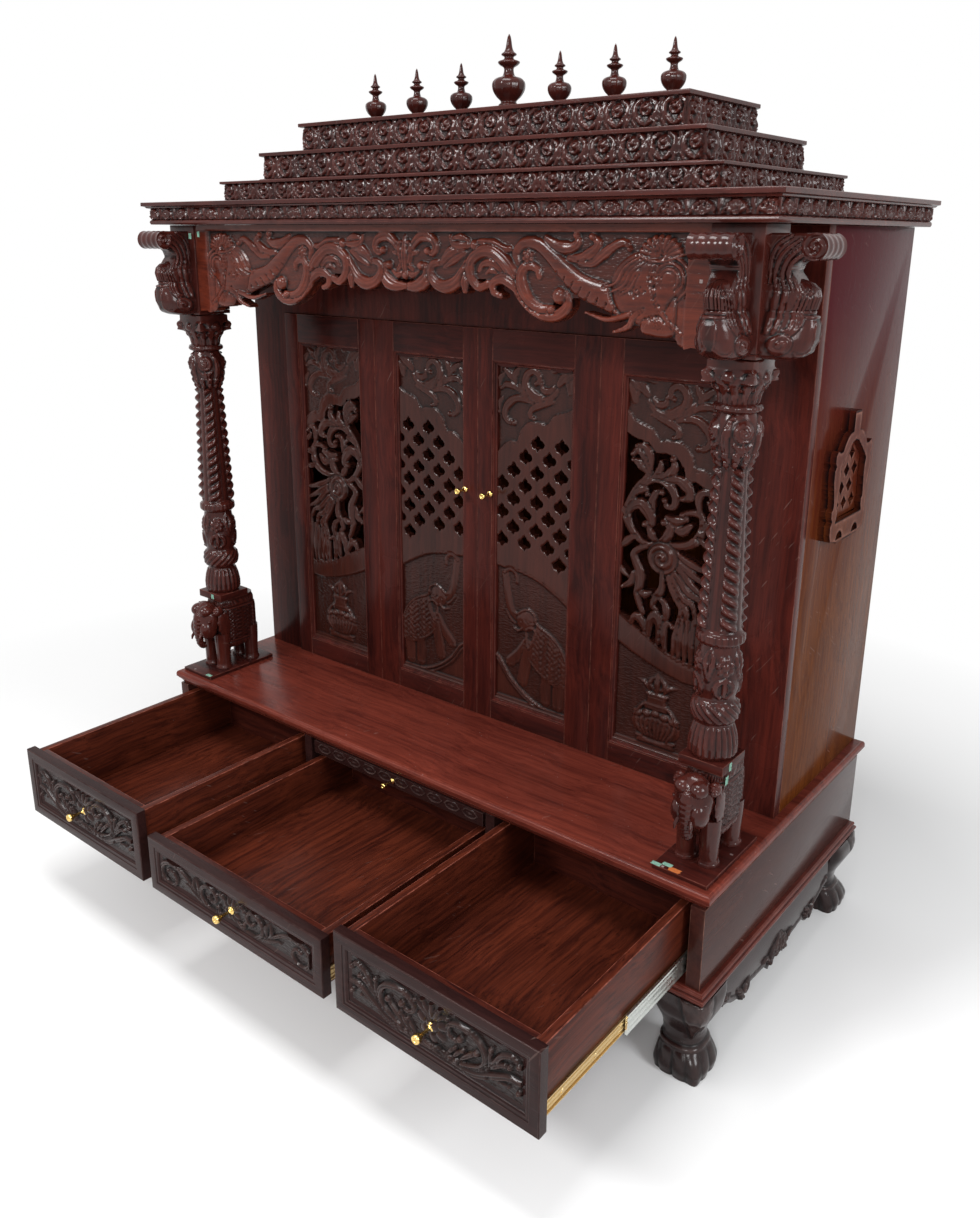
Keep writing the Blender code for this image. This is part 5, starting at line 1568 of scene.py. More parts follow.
@dataclass
class Fascia:
    """Carved board under the cornice: scrolls round a fleur, and an elephant head at each end."""

    cell: float = 0.0023
    ground_y: float = 0.0815
    thick: float = 0.0205
    half: float = 0.6367
    top: float = 1.0838
    rim: float = 0.0088

    def build(self) -> None:
        """Carve both halves in one board."""
        relief = Relief(-self.half, self.half, 0.888, self.top, self.cell, inside=-1.0)
        low = FASCIA_LOW + [(self.half + 0.01, 0.897)]
        shape = [(-u, v) for u, v in reversed(low[1:])] + low + [(0.70, 1.10), (-0.70, 1.10)]
        uu, vv = relief.grid()
        relief.edge = polygon_distance(uu, vv, shape)
        relief.free = ((np.abs(uu) < 0.597) & (vv < 1.070)).astype(float)
        for flip in (1.0, -1.0):
            self.elephant(relief, flip)
            scrolls(relief, FASCIA_SCROLLS, flip, True)
            relief.ball((flip * 0.169, 1.0485), 0.009, 0.0085)
            relief.petals((flip * 0.289, 1.031), 0.014, 0.0065, 6, 0.4, 0.42)
            a, b = sorted((flip * 0.5975, flip * (self.half + 0.01)))
            plateau(relief, [(a, 0.86), (b, 0.86), (b, 1.10), (a, 1.10)], self.rim)
        plateau(relief, [(-0.62, 1.071), (0.62, 1.071), (0.62, 1.10), (-0.62, 1.10)], self.rim)
        relief.carve_both(FLEUR_SIDE)
        relief.carve(FLEUR_BUD)
        to_object(relief.mesh("fascia_board", facing_front(self.ground_y), self.thick), CARVED_RED,
                  "fascia")

    def elephant(self, relief: Relief, flip: float) -> None:
        """Head in profile with fan crown, ear, eye, tusk and raised trunk."""
        relief.carve(HEAD_TRUNK, flip)
        for t in range(9):
            u, v = 0.352 + 0.017 * t, 1.008 - 0.0082 * t + 0.0016 * max(0, t - 5)
            relief.stroke([(flip * u, v), (flip * (u - 0.010), v - 0.014)], 0.0020, -0.0010, FLAT,
                          0,
                          sink=0.0006)
        relief.carve(HEAD_SKULL, flip)
        for k, r in enumerate((0.034, 0.025, 0.016)):
            arc = [(flip * (0.567 + r * math.cos(a)), 1.000 + r * math.sin(a))
                   for a in np.linspace(math.radians(-60), math.radians(215), 9)]
            relief.stroke(arc, 0.0060, 0.0095 + 0.0006 * k, (0.8, 1.0, 0.8), 0, sink=0.0010)
        relief.carve(HEAD_CHEEK, flip)
        u, v = flip * 0.549, 1.034
        for k in range(9):
            a = math.radians(18 + 18 * k)
            relief.stroke([(u, v), (u + 0.036 * math.cos(a), v + 0.029 * math.sin(a))], 0.0092,
                          0.0098,
                          (0.3, 0.8, 1.1), 0, sink=0.0008)
        relief.carve(HEAD_FACE, flip)


ARCH_OUT = points(
    "357 755, 378 729, 407 718, 422 712, 436 694, 460 696, 484 693, 503 676, 513 651, 532 649, "
    "550 638, 566 622")
ARCH_IN = points(
    "357 706, 386 693, 414 688, 431 670, 452 672, 477 666, 491 649, 497 624, 518 626, 543 613, "
    "566 598")
BIRD_BAND_TOP = points("357 336, 396 317, 430 298, 464 279, 497 268, 540 262, 566 262")
BIRD_BAND_LOW = points("357 275, 399 256, 440 241, 473 231, 512 222, 541 221, 566 222")
SPANDREL = """
362 806, 375 787, 378 766: w22 h4.8
366 808, 390 795, 405 780: w21 h4.8
370 812, 398 812, 421 806: w18 h4.5
409 767, 420 753, 439 744, 461 745, 479 756, 489 774, 485 792, 470 801, 457 795, 453 783,
  462 776: w16.5 h5.6 b5
445 752, 461 754, 475 765: w9 h4.5 v0
418 772, 430 763, 444 766, 448 778: w13 h5 b5
417 743, 439 736, 458 730, 473 720, 476 709, 465 704: w13 h5.2 b5
470 737, 501 743, 520 738, 536 724, 542 706, 533 692, 517 690: w15.5 h5.6 b6.2
481 746, 495 757, 504 769: w13 h5
503 757, 520 767, 540 768, 551 760: w13 h5 b4
513 776, 527 788, 543 800: w14 h5
506 806, 514 792, 517 779: w13 h4.8
545 790, 556 778, 558 764: w12 h4.5
548 740, 558 726, 556 710: w12 h4.5 b4
"""
BIRD_SCROLLS = """
452 494, 423 488, 398 499, 379 521, 372 546, 379 571, 392 596, 407 615, 418 631: w16.5 h8.8 v2
356 470, 371 483, 385 496, 398 500: w14 h7
356 560, 364 548, 372 540: w13 h7 v0
418 628, 401 644, 382 652: w18 h8.6 v2 b4
420 634, 410 660, 394 672, 381 664: w18 h9.2 v2 b5
422 640, 418 664, 405 680, 388 680: w15 h8 v2 b4
400 600, 426 618, 448 620, 467 609, 477 590, 474 573, 460 571, 455 582: w16.5 h9 b6.2
428 624, 441 640, 442 655: w14 h7.8
436 624, 458 631, 471 646, 468 664: w17 h8.6 v2 b7
456 622, 482 625, 502 613, 508 597, 493 590: w20 h8.6 v2 b5.5
383 580, 396 592, 411 598, 416 588: w13 h7.5 b5
430 540, 428 560, 428 578, 436 594, 448 597: w15 h8.5 b7
376 548, 387 560, 404 567, 420 553, 428 535, 415 528: w23 h9 v2 b7.5
421 524, 429 511, 440 497: w15 h7.8
448 494, 479 496, 508 502, 529 518, 538 543, 532 565, 511 566, 494 560: w16.5 h9 v2 b6.2
459 549, 479 545, 503 552: w16 h8 v2
474 533, 495 527, 512 541: w17 h7.8
446 494, 464 513, 470 530, 456 538: w17.5 h9 b7.5
533 562, 526 588, 530 606, 545 610, 553 600: w14.5 h8.5 b6
535 540, 552 548, 568 545: w14 h7.5
530 520, 548 510, 568 512: w13 h7
545 592, 556 580, 568 582: w12 h7
"""
BIRD_FEATHERS = """
476 489, 501 474, 539 460, 568 455: w13 h8
470 479, 498 461, 535 440, 568 425: w13 h8.6
474 466, 500 447, 530 420, 566 402: w13 h8.8
472 456, 494 432, 518 408, 541 398, 556 376: w13 h8.8
468 450, 486 422, 505 396, 528 384, 535 350: w13 h8.8
464 446, 478 414, 492 392, 503 372, 498 345: w13 h8.5
500 390, 514 372, 516 344: w12 h8
497 350, 493 310, 490 268: w12 h7.5
508 352, 504 310, 502 265: w12 h8.2
519 352, 517 310, 516 262: w12 h8.5
531 354, 530 310, 530 260: w12 h8.5
543 360, 543 310, 543 260: w12 h8
557 380, 558 320, 558 260: w13 h8
"""
BIRD_BODY = """
420 484, 400 474, 392 462, 398 448, 407 430, 408 405, 404 383, 410 362, 418 346: w18.5 h9 v2
392 425, 388 404, 370 391: w13 h7.5 b4
410 386, 422 385, 433 391: w15 h8.8 v0
456 438, 458 405, 444 380, 440 366, 450 358: w15 h8.2
450 386, 466 376, 472 356, 466 333: w15 h8.6
391 316, 401 334, 415 330, 428 304: w16 h8 v2 b4
433 300, 437 333, 449 345, 458 326, 456 292: w19 h8.4 v2
474 274, 468 308, 473 334, 487 331: w15 h8 b5.5
357 440, 366 425, 380 415: w12 h6.5 v0
"""


LATTICE_LOW = points("56 371, 100 368, 155 357, 200 337, 243 312")
LENS_LOW = points("59 150, 88 113, 125 84, 155 69, 185 61, 215 58")
POT_SHOULDER = "50 122, 34 146, 26 152: w7 h7 t0.7/1/0.7 v0"
POT_LEAVES = """
16 184, 28 198, 43 202: w9.5 h6.6 t0.5/1/0.3
4 184, 17 200, 3 219: w10.5 h6.6 t0.5/1/0.3
"""
LEAF_CLOTH = points(
    "158 252, 180 243, 205 230, 228 204, 241 172, 241 125, 210 122, 180 131, 160 148, 140 174, "
    "143 210")
LEAF_LIMBS = """
70 356, 77 310, 87 275, 108 256: w21 h3 v0
103 342, 99 360, 83 367, 68 357: w10 h3.6 v1 b4
132 205, 112 175, 85 149: w27 h3.2 v0
140 200, 128 150, 121 112: w32 h3.6 v0
186 140, 184 105, 184 80: w30 h3 v0
226 160, 220 110, 218 80: w34 h3.4 v0
"""
LEAF_LINES = """
95 272, 105 268, 120 279, 137 283, 152 274, 159 255, 180 245, 205 231, 229 205, 242 172: w5.2 h6
130 236, 141 243, 153 240, 156 226, 146 206, 136 194, 131 214, 130 236: w5 h6.2
138 172, 150 158, 165 146, 185 137, 207 133: w4.5 h5.8
125 268, 134 256, 150 252: w3.5 h6
96 233, 110 230, 121 239: w5.5 h6
76 268, 88 252, 101 244: w4 h5
"""


class LeafKind(Enum):
    """The two carved designs of the folding leaves."""

    LATTICE = "lattice"
    BIRD = "bird"


@dataclass
class DoorLeaf:
    """One folding leaf: stiles and rails, a beaded rebate and a carved pierced panel."""

    node: str
    kind: LeafKind
    side: float
    cell: float = 0.0027
    face_y: float = 0.296
    ground_y: float = 0.3092
    back_y: float = 0.324
    low: float = 0.045
    high: float = 0.815
    relief_low: float = 0.050

    def __post_init__(self) -> None:
        """Edges of the panel on the right-hand half."""
        self.near, self.far = (0.040, 0.246) if self.kind is LeafKind.LATTICE else (0.357, 0.566)

    def build(self) -> None:
        """Make the frame and the panel."""
        self.frame_boards()
        panel = self.bird_panel() if self.kind is LeafKind.BIRD else self.lattice_panel()
        mesh = panel.mesh(self.node + "_panel", facing_front(self.ground_y),
                          self.back_y - self.ground_y)
        to_object(mirrored(mesh, self.side), LEAF_PANEL)

    def frame_boards(self) -> None:
        """Stiles and rails with softened arrises, and the inner bead."""
        x0, x1, y0, y1, z0, z1 = cad_rect(self.node)
        a, b = sorted((self.side * self.near, self.side * self.far))
        rows = (("stile_1", x0, a, z0, z1), ("stile_2", b, x1, z0, z1),
                ("rail_low", a + 0.0002, b - 0.0002, z0, self.low),
                ("rail_top", a + 0.0002, b - 0.0002, self.high, z1))
        for k, (label, p, q, r, s) in enumerate(rows):
            mesh = rounded(self.node + "_" + label, world(p, y0, r), world(q, y1, s), 0.0011)
            to_object(mesh, FRAME if k < 2 else FRAME_CROSS, "" if k else self.node)
        t = self.ground_y - y0
        bead = [(0.0, -t), (0.0, -0.0022), (0.0014, -0.0012), (0.0030, -0.0022), (0.0040, -0.0040),
                (0.0052, -0.0056), (0.0068, -0.0060), (0.0080, -0.0075), (0.0086, -t)]
        mesh = moulding(self.node + "_bead", (a, b, self.low, self.high),
                        eased([(u - 0.0002, v) for u, v in bead], 0.0005), Facing.FRONT, y0,
                        cap=False)
        to_object(mesh, FRAME)
        self.header(a, b, y0)

    def header(self, a: float, b: float, y0: float) -> None:
        """Scalloped lower edge of the top rail."""
        relief = Relief(a + 0.0085, b - 0.0085, self.high - 0.013, self.high - 0.0004, 0.0013,
                        inside=-1)
        uu, vv = relief.grid()
        t = (uu - a) / (b - a)
        line = self.high - 0.002 - 0.0085 * np.abs(np.sin(t * math.pi * 3)) ** 0.7
        line = np.where(np.abs(t - 0.5) < 0.17, self.high - 0.0035, line)
        relief.edge = vv - line
        mesh = relief.mesh(self.node + "_header", facing_front(y0 + 0.004), 0.009)
        to_object(mesh, FRAME_CROSS)

    def blank(self) -> Relief:
        """Panel with its chiselled ground."""
        inset = 0.0004
        return Relief(self.near + inset, self.far - inset, self.relief_low, self.high - 0.0004,
                      self.cell)

    def bird_panel(self) -> Relief:
        """Arch, pierced bird among scrolls, curved band and water pot."""
        relief = self.blank()
        a, b = self.near - 0.01, self.far + 0.01
        out, inn, top, low = ARCH_OUT, ARCH_IN, BIRD_BAND_TOP, BIRD_BAND_LOW
        pierce(relief, [(a, 0.706)] + inn + [(b, 0.598), (b, 0.262)] + top[::-1] + [(a, 0.338)])
        plateau(relief, [(a, 0.765)] + out + [(b, 0.616), (b, 0.598)] + inn[::-1] + [(a, 0.706)],
                0.0042)
        plateau(relief, [(a, 0.345)] + top + [(b, 0.262), (b, 0.222)] + low[::-1] + [(a, 0.280)],
                0.0042)
        scrolls(relief, BIRD_SCROLLS, cut=True)
        scrolls(relief, BIRD_FEATHERS, cut=True)
        relief.ball((0.456, 0.466), 0.035, 0.0098, turns=2.2, open_edge=True)
        scrolls(relief, BIRD_BODY, cut=True)
        self.lines(relief, out, 0.0052)
        self.lines(relief, top, 0.0052)
        scrolls(relief, SPANDREL)
        self.pot(relief)
        self.sill(relief)
        return relief

    def lines(self, relief: Relief, path: Path2, height: float) -> None:
        """Fine raised fillet along an edge."""
        relief.stroke(path, 0.0042, height, FLAT, 0, sink=0.0006, open_edge=False)

    def sill(self, relief: Relief) -> None:
        """Two stepped mouldings along the bottom of the panel."""
        for v, w, h in ((0.0605, 0.005, 0.0045), (0.0540, 0.006, 0.0075)):
            relief.stroke([(self.near, v), (self.far, v)], w, h, FLAT, 0, sink=0.0005)

    def pot(self, relief: Relief) -> None:
        """Water pot with a bud: ribbed belly, scalloped collar, neck, rim and leaves."""
        c = 0.4606
        plateau(relief, points("418 66, 504 66, 500 80, 422 80"), 0.0046)
        relief.stroke([(0.418, 0.079), (0.504, 0.079)], 0.005, 0.0062, FLAT, 0)
        relief.ball((c, 0.108), 0.0555, 0.0062, squash=0.58)
        for k in range(9):
            u = (k - 4) / 4.4
            relief.stroke([(c + 0.030 * u, 0.083), (c + 0.046 * u, 0.104), (c + 0.048 * u, 0.122)],
                          0.0085, 0.0078, (0.6, 1.0, 0.7), 0, sink=0.0012)
        for k in range(5):
            u = (k - 2) * 0.0205
            relief.ball((c + u, 0.136 - abs(k - 2) * 0.0035), 0.0115, 0.0084, squash=0.72)
        for flip in (-1.0, 1.0):
            relief.carve(POT_SHOULDER, flip, (c, 0.0))
        neck = points("-26 144, 26 144, 20 166, 23 178, -23 178, -20 166")
        plateau(relief, [(c + u, v) for u, v in neck], 0.0056)
        for v, w in ((0.154, 0.026), (0.178, 0.023)):
            relief.stroke([(c - w, v), (c + w, v)], 0.0055, 0.0078, (0.8, 1, 0.8), 0)
        relief.carve_both(POT_LEAVES, (c, 0.0))
        relief.stroke([(c, 0.182), (c, 0.202), (c, 0.223)], 0.015, 0.0076, (0.6, 1, 0.2), 1)

    def lattice_panel(self) -> Relief:
        """Arch, lattice of cusped holes, curved band and an elephant in a lens."""
        relief = self.blank()
        a, b = self.near - 0.01, self.far + 0.01
        out = [(0.612 - u, v) for u, v in ARCH_OUT][::-1]
        low_line = [(a, 0.372)] + LATTICE_LOW + [(b, 0.306)]
        plateau(relief, [(a, 0.600)] + out + [(b, 0.765)] + low_line[::-1], 0.0042)
        self.holes(relief, out)
        self.lines(relief, out, 0.0052)
        relief.carve(SPANDREL, -1.0, (0.606, 0.0), swell=(1.28, 1.15), taper=(0.45, 1.0, 0.5),
                     open_edge=False)
        self.lines(relief, low_line, 0.0050)
        self.elephant(relief)
        lens = [(a, 0.168)] + LENS_LOW + [(b, 0.058)]
        plateau(relief, lens + [(b, 0.03), (a, 0.03)], -0.0015)
        relief.stroke(lens, 0.0060, 0.0062, FLAT, 0, sink=0.0012)
        relief.stroke([(u - 0.004, v - 0.007) for u, v in lens], 0.0045, 0.0040, FLAT, 0,
                      sink=0.001)
        self.sill(relief)
        return relief

    def holes(self, relief: Relief, arch: Path2) -> None:
        """Cusped holes on a diagonal grid, cut right through, with chamfered edges."""
        uu, vv = relief.grid()
        edge_u, edge_v = zip(*sorted(arch))
        for i in range(7):
            for j in range(11):
                u = 0.0600 + 0.0306 * i
                v = 0.6525 - 0.0315 * j
                if (i + j) % 2 == 0:
                    continue
                ceiling = float(np.interp(u, edge_u, edge_v)) - 0.036
                floor = float(np.interp(u, (0.04, 0.155, 0.211, 0.246),
                                        (0.430, 0.418, 0.386, 0.380)))
                if v > ceiling or v < floor:
                    continue
                du, dv = np.abs(uu - u), vv - v
                spread = np.abs(dv - 0.0005)
                arms = du ** 0.82 * 0.0172 ** 0.18 + spread ** 0.82 * 0.0172 ** 0.18
                body = 0.0172 - arms * 0.93
                lobe = 0.0082 - np.hypot(du - 0.0085, (dv + 0.001) * 1.0)
                crown = 0.0072 - np.hypot(du * 1.15, dv - 0.0085)
                inside = np.maximum(np.maximum(body, lobe), crown)
                relief.edge = np.minimum(relief.edge, -inside)
                rim = smooth01((-inside) / 0.0022)
                near = inside > -0.0022
                relief.high = np.where(near, np.minimum(relief.high, 0.0020 + 0.0022 * rim),
                                       relief.high)

    def elephant(self, relief: Relief) -> None:
        """Walking elephant with raised trunk and a netted cloth, in low relief."""
        relief.carve(LEAF_LIMBS, taper=(0.9, 1.0, 0.9), sink=0.0008)
        relief.ball((0.128, 0.256), 0.0260, 0.0046, squash=0.95)
        plateau(relief, LEAF_CLOTH, 0.0040, 0.002)
        for k in range(-9, 14):
            for s in (1, -1):
                c = 0.19 + 0.0125 * k
                line = np.linspace((c - s * 0.05, 0.13), (c + s * 0.06, 0.25), 40)
                seg = line[polygon_distance(line[:, 0], line[:, 1], LEAF_CLOTH) > 0.003]
                if len(seg) > 3:
                    relief.stroke([tuple(seg[0]), tuple(seg[-1])], 0.0026, 0.0056, FLAT, 0,
                                  sink=0.0006)
        relief.carve(LEAF_LINES, taper=(0.8, 1, 0.8), veins=0, sink=0.0009)
        relief.ball((0.116, 0.251), 0.0035, 0.0060)
        for u, v in ((0.083, 0.143), (0.118, 0.106), (0.182, 0.075), (0.216, 0.075)):
            for k in range(3):
                a = u + 0.007 * k
                relief.stroke([(a - 0.008, v + 0.004), (a - 0.004, v - 0.001)], 0.0048, 0.0046,
                              (0.8, 1, 0.8), 0, sink=0.0005)


# Columns, elephants and hanging brackets

def around(axis_x: float, axis_y: float, reach: Callable, length: float) -> Callable:
    """Placer that wraps a relief round an upright axis.

    Args:
        axis_x: axis place across.
        axis_y: axis place in depth.
        reach: radius from the height.
        length: full width of the relief, one turn.

    Returns:
        A function of arrays (u, v, out).
    """
    def place(u: np.ndarray, v: np.ndarray, out: np.ndarray) -> np.ndarray:
        """Points on the turned surface."""
        ang = u / length * math.tau - math.pi / 2
        r = reach(v) + out
        return np.stack([axis_x + r * np.cos(ang), axis_y + SHIFT_Y + r * np.sin(ang),
                         v + FLOOR_TO_TOP], -1)
    return place


def close_tube(mesh: bpy.types.Mesh) -> None:
    """Weld the seam of a wrapped relief and fill its open ends."""
    with editing(mesh, 52.0) as bm:
        bmesh.ops.remove_doubles(bm, verts=bm.verts, dist=0.00004)
        rim = [e for e in bm.edges if len(e.link_faces) == 1]
        bmesh.ops.holes_fill(bm, edges=rim, sides=0)
        bmesh.ops.triangulate(bm, faces=[f for f in bm.faces if len(f.verts) > 4])


VASE_SIDES = """
2 356, 14 348, 17 333, 8 324: w10.5 h4.6 t0.6/1/0.5 b3.8
31.5 408, 23.5 392, 27.5 370, 31.5 352: w10 h4.2 t0.4/1/0.4
"""
BULB_LEAF = """
0 358, 0 340, 0 320: w11 h5 t0.6/1/0.3
0 774: r18.5 h5.8 n1.9
-31.5 739, -31.5 760, -27.5 785, -21.5 795: w14.5 h5.6 t0.9/1/0.4 b4
"""
BULB_SIDES = "3 738, 9 748, 17 754: w9 h4.6 t0.8/1/0.4"
BULB_TIP = "0 737, 0 748, 0 756: w9 h5 t0.8/1/0.3"
RING_LEAF = """
0 716, 1 726, 0 734.5: w15.5 h4.8 t0.6/1/0.9
0 719.5: r6.4 h6.6
-4 844, 0 838, 4 844: w5 h6 t0.8/1/0.8 v0
10 818, 10 832, 10 845: w15 h4.4 t0.6/0.9/1.1
"""
CAPITAL_CURL = "8 852, 18 856, 26 866: w8 h3.4 t0.5/1/0.6"


@dataclass
class Column:
    """Turned and carved column: bowl, gadroon, vase, rope shaft, leaf bulb and scrolled capital."""

    side: float
    x: float = 0.681
    y: float = 0.112
    low: float = 0.2064
    high: float = 0.8866
    turn: float = 0.252
    cell: float = 0.0026
    shaft: tuple[float, float] = (0.437, 0.717)
    shape: str = ("206 37.5, 212 40, 230 40.5, 248 37.5, 262 33, 269 32, 272 34.5, 280 38.5, "
                 "293 40.2, 306 38, 313 33.5, 318 33, 333 36.5, 355 38.5, 380 37.5, 400 34, "
                 "412 32.5, 415 38.5, 420 40.5, 432 40, 437 35, 440 33.5, 500 31.5, 650 26.2, "
                 "714 24, 717 25, 726 30, 735 34.5, 738 33, 756 37.8, 776 38.2, 793 33.5, 801 "
                 "30, 804 37.5, 809 38.8, 814 37, 816 30, 830 32, 845 40, 848 43, 856 46, 870 "
                 "44, 873 43, 887 43")

    def reach(self, v: np.ndarray) -> np.ndarray:
        """Radius at a height."""
        p = np.asarray(points(self.shape))
        return np.interp(v, p[:, 0], p[:, 1])

    def build(self) -> None:
        """Carve one turn of relief and wrap it."""
        field = Relief(0.0, self.turn, self.low, self.high, self.cell)
        uu, vv = field.grid()
        ang = uu / self.turn * math.tau
        self.reeds(field, ang, vv)
        self.ropes(field, ang, vv)
        self.leaves(field)
        self.capital(field, ang, vv)
        seam = 0.5 * (field.high[:, 0] + field.high[:, -1])
        field.high[:, 0] = field.high[:, -1] = seam
        tag = handed("column", self.side)
        mesh = field.mesh(tag + "_carved", around(self.x, self.y, self.reach, self.turn), 0.0,
                          cut=False, back=False)
        close_tube(mesh)
        to_object(mirrored(mesh, self.side), CARVED, tag)

    def zone(self, v: np.ndarray, low: float, high: float, soft: float = 0.003) -> np.ndarray:
        """Share from 0 to 1 inside a range of heights."""
        return smooth01((v - low) / soft) * smooth01((high - v) / soft)

    def reeds(self, field: Relief, ang: np.ndarray, v: np.ndarray) -> None:
        """Reeded bowl, slanted gadroons and beaded rings."""
        field.high += self.zone(v, 0.210, 0.266) * (np.abs(np.sin(ang * 11)) ** 0.6 - 0.5) * 0.0056
        slant = ang + (v - 0.293) * 26
        field.high += self.zone(v, 0.274,
                                0.312) * (np.abs(np.sin(slant * 8)) ** 0.6 - 0.45) * 0.0058
        for low, high, count, deep in ((0.417, 0.435, 12, 0.0028), (0.804, 0.814, 14, 0.0022)):
            beads = np.abs(np.sin(ang * count)) ** 0.6 - 0.5
            field.high += self.zone(v, low, high, 0.002) * beads * deep
        field.free[:] = 0.0

    def ropes(self, field: Relief, ang: np.ndarray, v: np.ndarray) -> None:
        """Four twisted ropes at the corners of the shaft, with grooved strips between."""
        inside = self.zone(v, self.shaft[0] + 0.002, self.shaft[1] - 0.002, 0.004)
        local = ang % (math.pi / 2) - math.pi / 4
        s = local / 0.46
        body = np.sqrt(np.clip(1 - s ** 2, 0, 1))
        twist = np.cos((v / 0.0215 + s * 0.42) * math.tau)
        rope = body * (0.0062 + 0.0044 * twist) - 0.0006
        s2 = (np.abs(local) - math.pi / 4)
        strip = -0.0016 * np.exp(-((np.abs(s2) - 0.16) / 0.07) ** 2) - 0.0010
        field.high += inside * np.where(np.abs(s) < 1, rope, strip)

    def leaves(self, field: Relief) -> None:
        """Rosettes and leaves on the vase, the bulb and the flared ring."""
        q = self.turn / 4
        for k in range(-1, 5):
            at = (k * q + q / 2, 0.0)
            field.petals((at[0], 0.3800), 0.0195, 0.0040, 7, 0.3, 0.42)
            field.carve_both(VASE_SIDES, at)
            field.carve(BULB_LEAF, at=at)
            field.carve_both(BULB_SIDES, at)
            field.carve(BULB_TIP, at=at)
        for k in range(-1, 13):
            field.carve(RING_LEAF, at=(k * self.turn / 12, 0.0))

    def capital(self, field: Relief, ang: np.ndarray, v: np.ndarray) -> None:
        """Square capital with a scroll at each corner."""
        local = (ang + math.pi / 4) % (math.pi / 2) - math.pi / 4
        flat = 1 / np.maximum(np.maximum(np.abs(np.cos(ang)), np.abs(np.sin(ang))), 0.5)
        cap = self.zone(v, 0.848, 0.8875, 0.003)
        field.high += cap * (flat - 1.0) * 0.030
        lobe = np.exp(-((np.abs(local) - math.pi / 4) / 0.20) ** 2)
        groove = np.cos(np.clip((v - 0.846) / 0.026, 0, 1) * math.tau * 1.5)
        field.high += self.zone(v, 0.846, 0.872, 0.004) * lobe * (0.0050 + 0.0016 * groove)
        q = self.turn / 4
        for k in range(-1, 5):
            field.ball((k * q, 0.8580), 0.0100, 0.0042)
            field.carve_both(CAPITAL_CURL, (k * q, 0.0))


def blob(bm: bmesh.types.BMesh, centre: Sequence[float], radii: Sequence[float], u: int = 40,
         v: int = 24, turn: float = 0.0, wave: Optional[Callable] = None) -> None:
    """Ellipsoid with optional surface carving, added to a bmesh.

    Args:
        bm: mesh under work.
        centre: its middle, in base-top coordinates.
        radii: half sizes.
        u: steps round.
        v: steps from pole to pole.
        turn: tilt about the x axis in radians.
        wave: extra share of the radius from (unit point).
    """
    made = bmesh.ops.create_uvsphere(bm, u_segments=u, v_segments=v, radius=1.0)["verts"]
    spin = Matrix.Rotation(turn, 3, "X")
    for p in made:
        k = 1.0 + (wave(p.co) if wave else 0.0)
        q = spin @ Vector((p.co.x * radii[0] * k, p.co.y * radii[1] * k, p.co.z * radii[2] * k))
        p.co = world(centre[0] + q.x, centre[1] + q.y, centre[2] + q.z)


def swept(bm: bmesh.types.BMesh, rows: Sequence[tuple], around_steps: int = 20,
          wave: Optional[Callable] = None, per: int = 6) -> None:
    """Round limb through rows of (x, y, z, half across, half deep), with closed ends.

    Args:
        bm: mesh under work.
        rows: stations, in base-top coordinates.
        around_steps: points round.
        wave: extra share of the radius from (angle, share along).
        per: rings between two stations.
    """
    data = spline(np.asarray([r[:3] for r in rows], float)[:, :2], per)
    t_in = np.linspace(0, 1, len(rows))
    t = np.linspace(0, 1, len(data))
    cols = [np.interp(t, t_in, [r[i] for r in rows]) for i in range(5)]
    pts = np.stack(cols[:3], -1)
    way = np.gradient(pts, axis=0)
    rings = []
    for k, p in enumerate(pts):
        d = Vector(way[k]).normalized()
        side = d.cross(Vector((0, 1, 0.001)))
        if side.length < 0.3:
            side = d.cross(Vector((1, 0, 0)))
        side.normalize()
        deep = d.cross(side).normalized()
        ring = []
        for i in range(around_steps):
            a = math.tau * i / around_steps
            m = 1.0 + (wave(a, t[k]) if wave else 0.0)
            q = Vector(p) + side * math.cos(a) * cols[3][k] * m
            q = q + deep * math.sin(a) * cols[4][k] * m
            ring.append(bm.verts.new(world(*q)))
        rings.append(ring)
    n = around_steps
    for a, b in zip(rings, rings[1:]):
        for i in range(n):
            bm.faces.new((a[i], a[(i + 1) % n], b[(i + 1) % n], b[i]))
    for ring in (rings[0], rings[-1]):
        mid = bm.verts.new(sum((v.co for v in ring), Vector()) / n)
        for i in range(n):
            bm.faces.new((ring[i], ring[(i + 1) % n], mid))


def finish_bm(bm: bmesh.types.BMesh, name: str, angle: float = 45.0) -> bpy.types.Mesh:
    """Close a bmesh into a shaded mesh with outward normals."""
    bmesh.ops.recalc_face_normals(bm, faces=bm.faces)
    mesh = bpy.data.meshes.new(name)
    bm.to_mesh(mesh)
    bm.free()
    shade(mesh, angle)
    return mesh


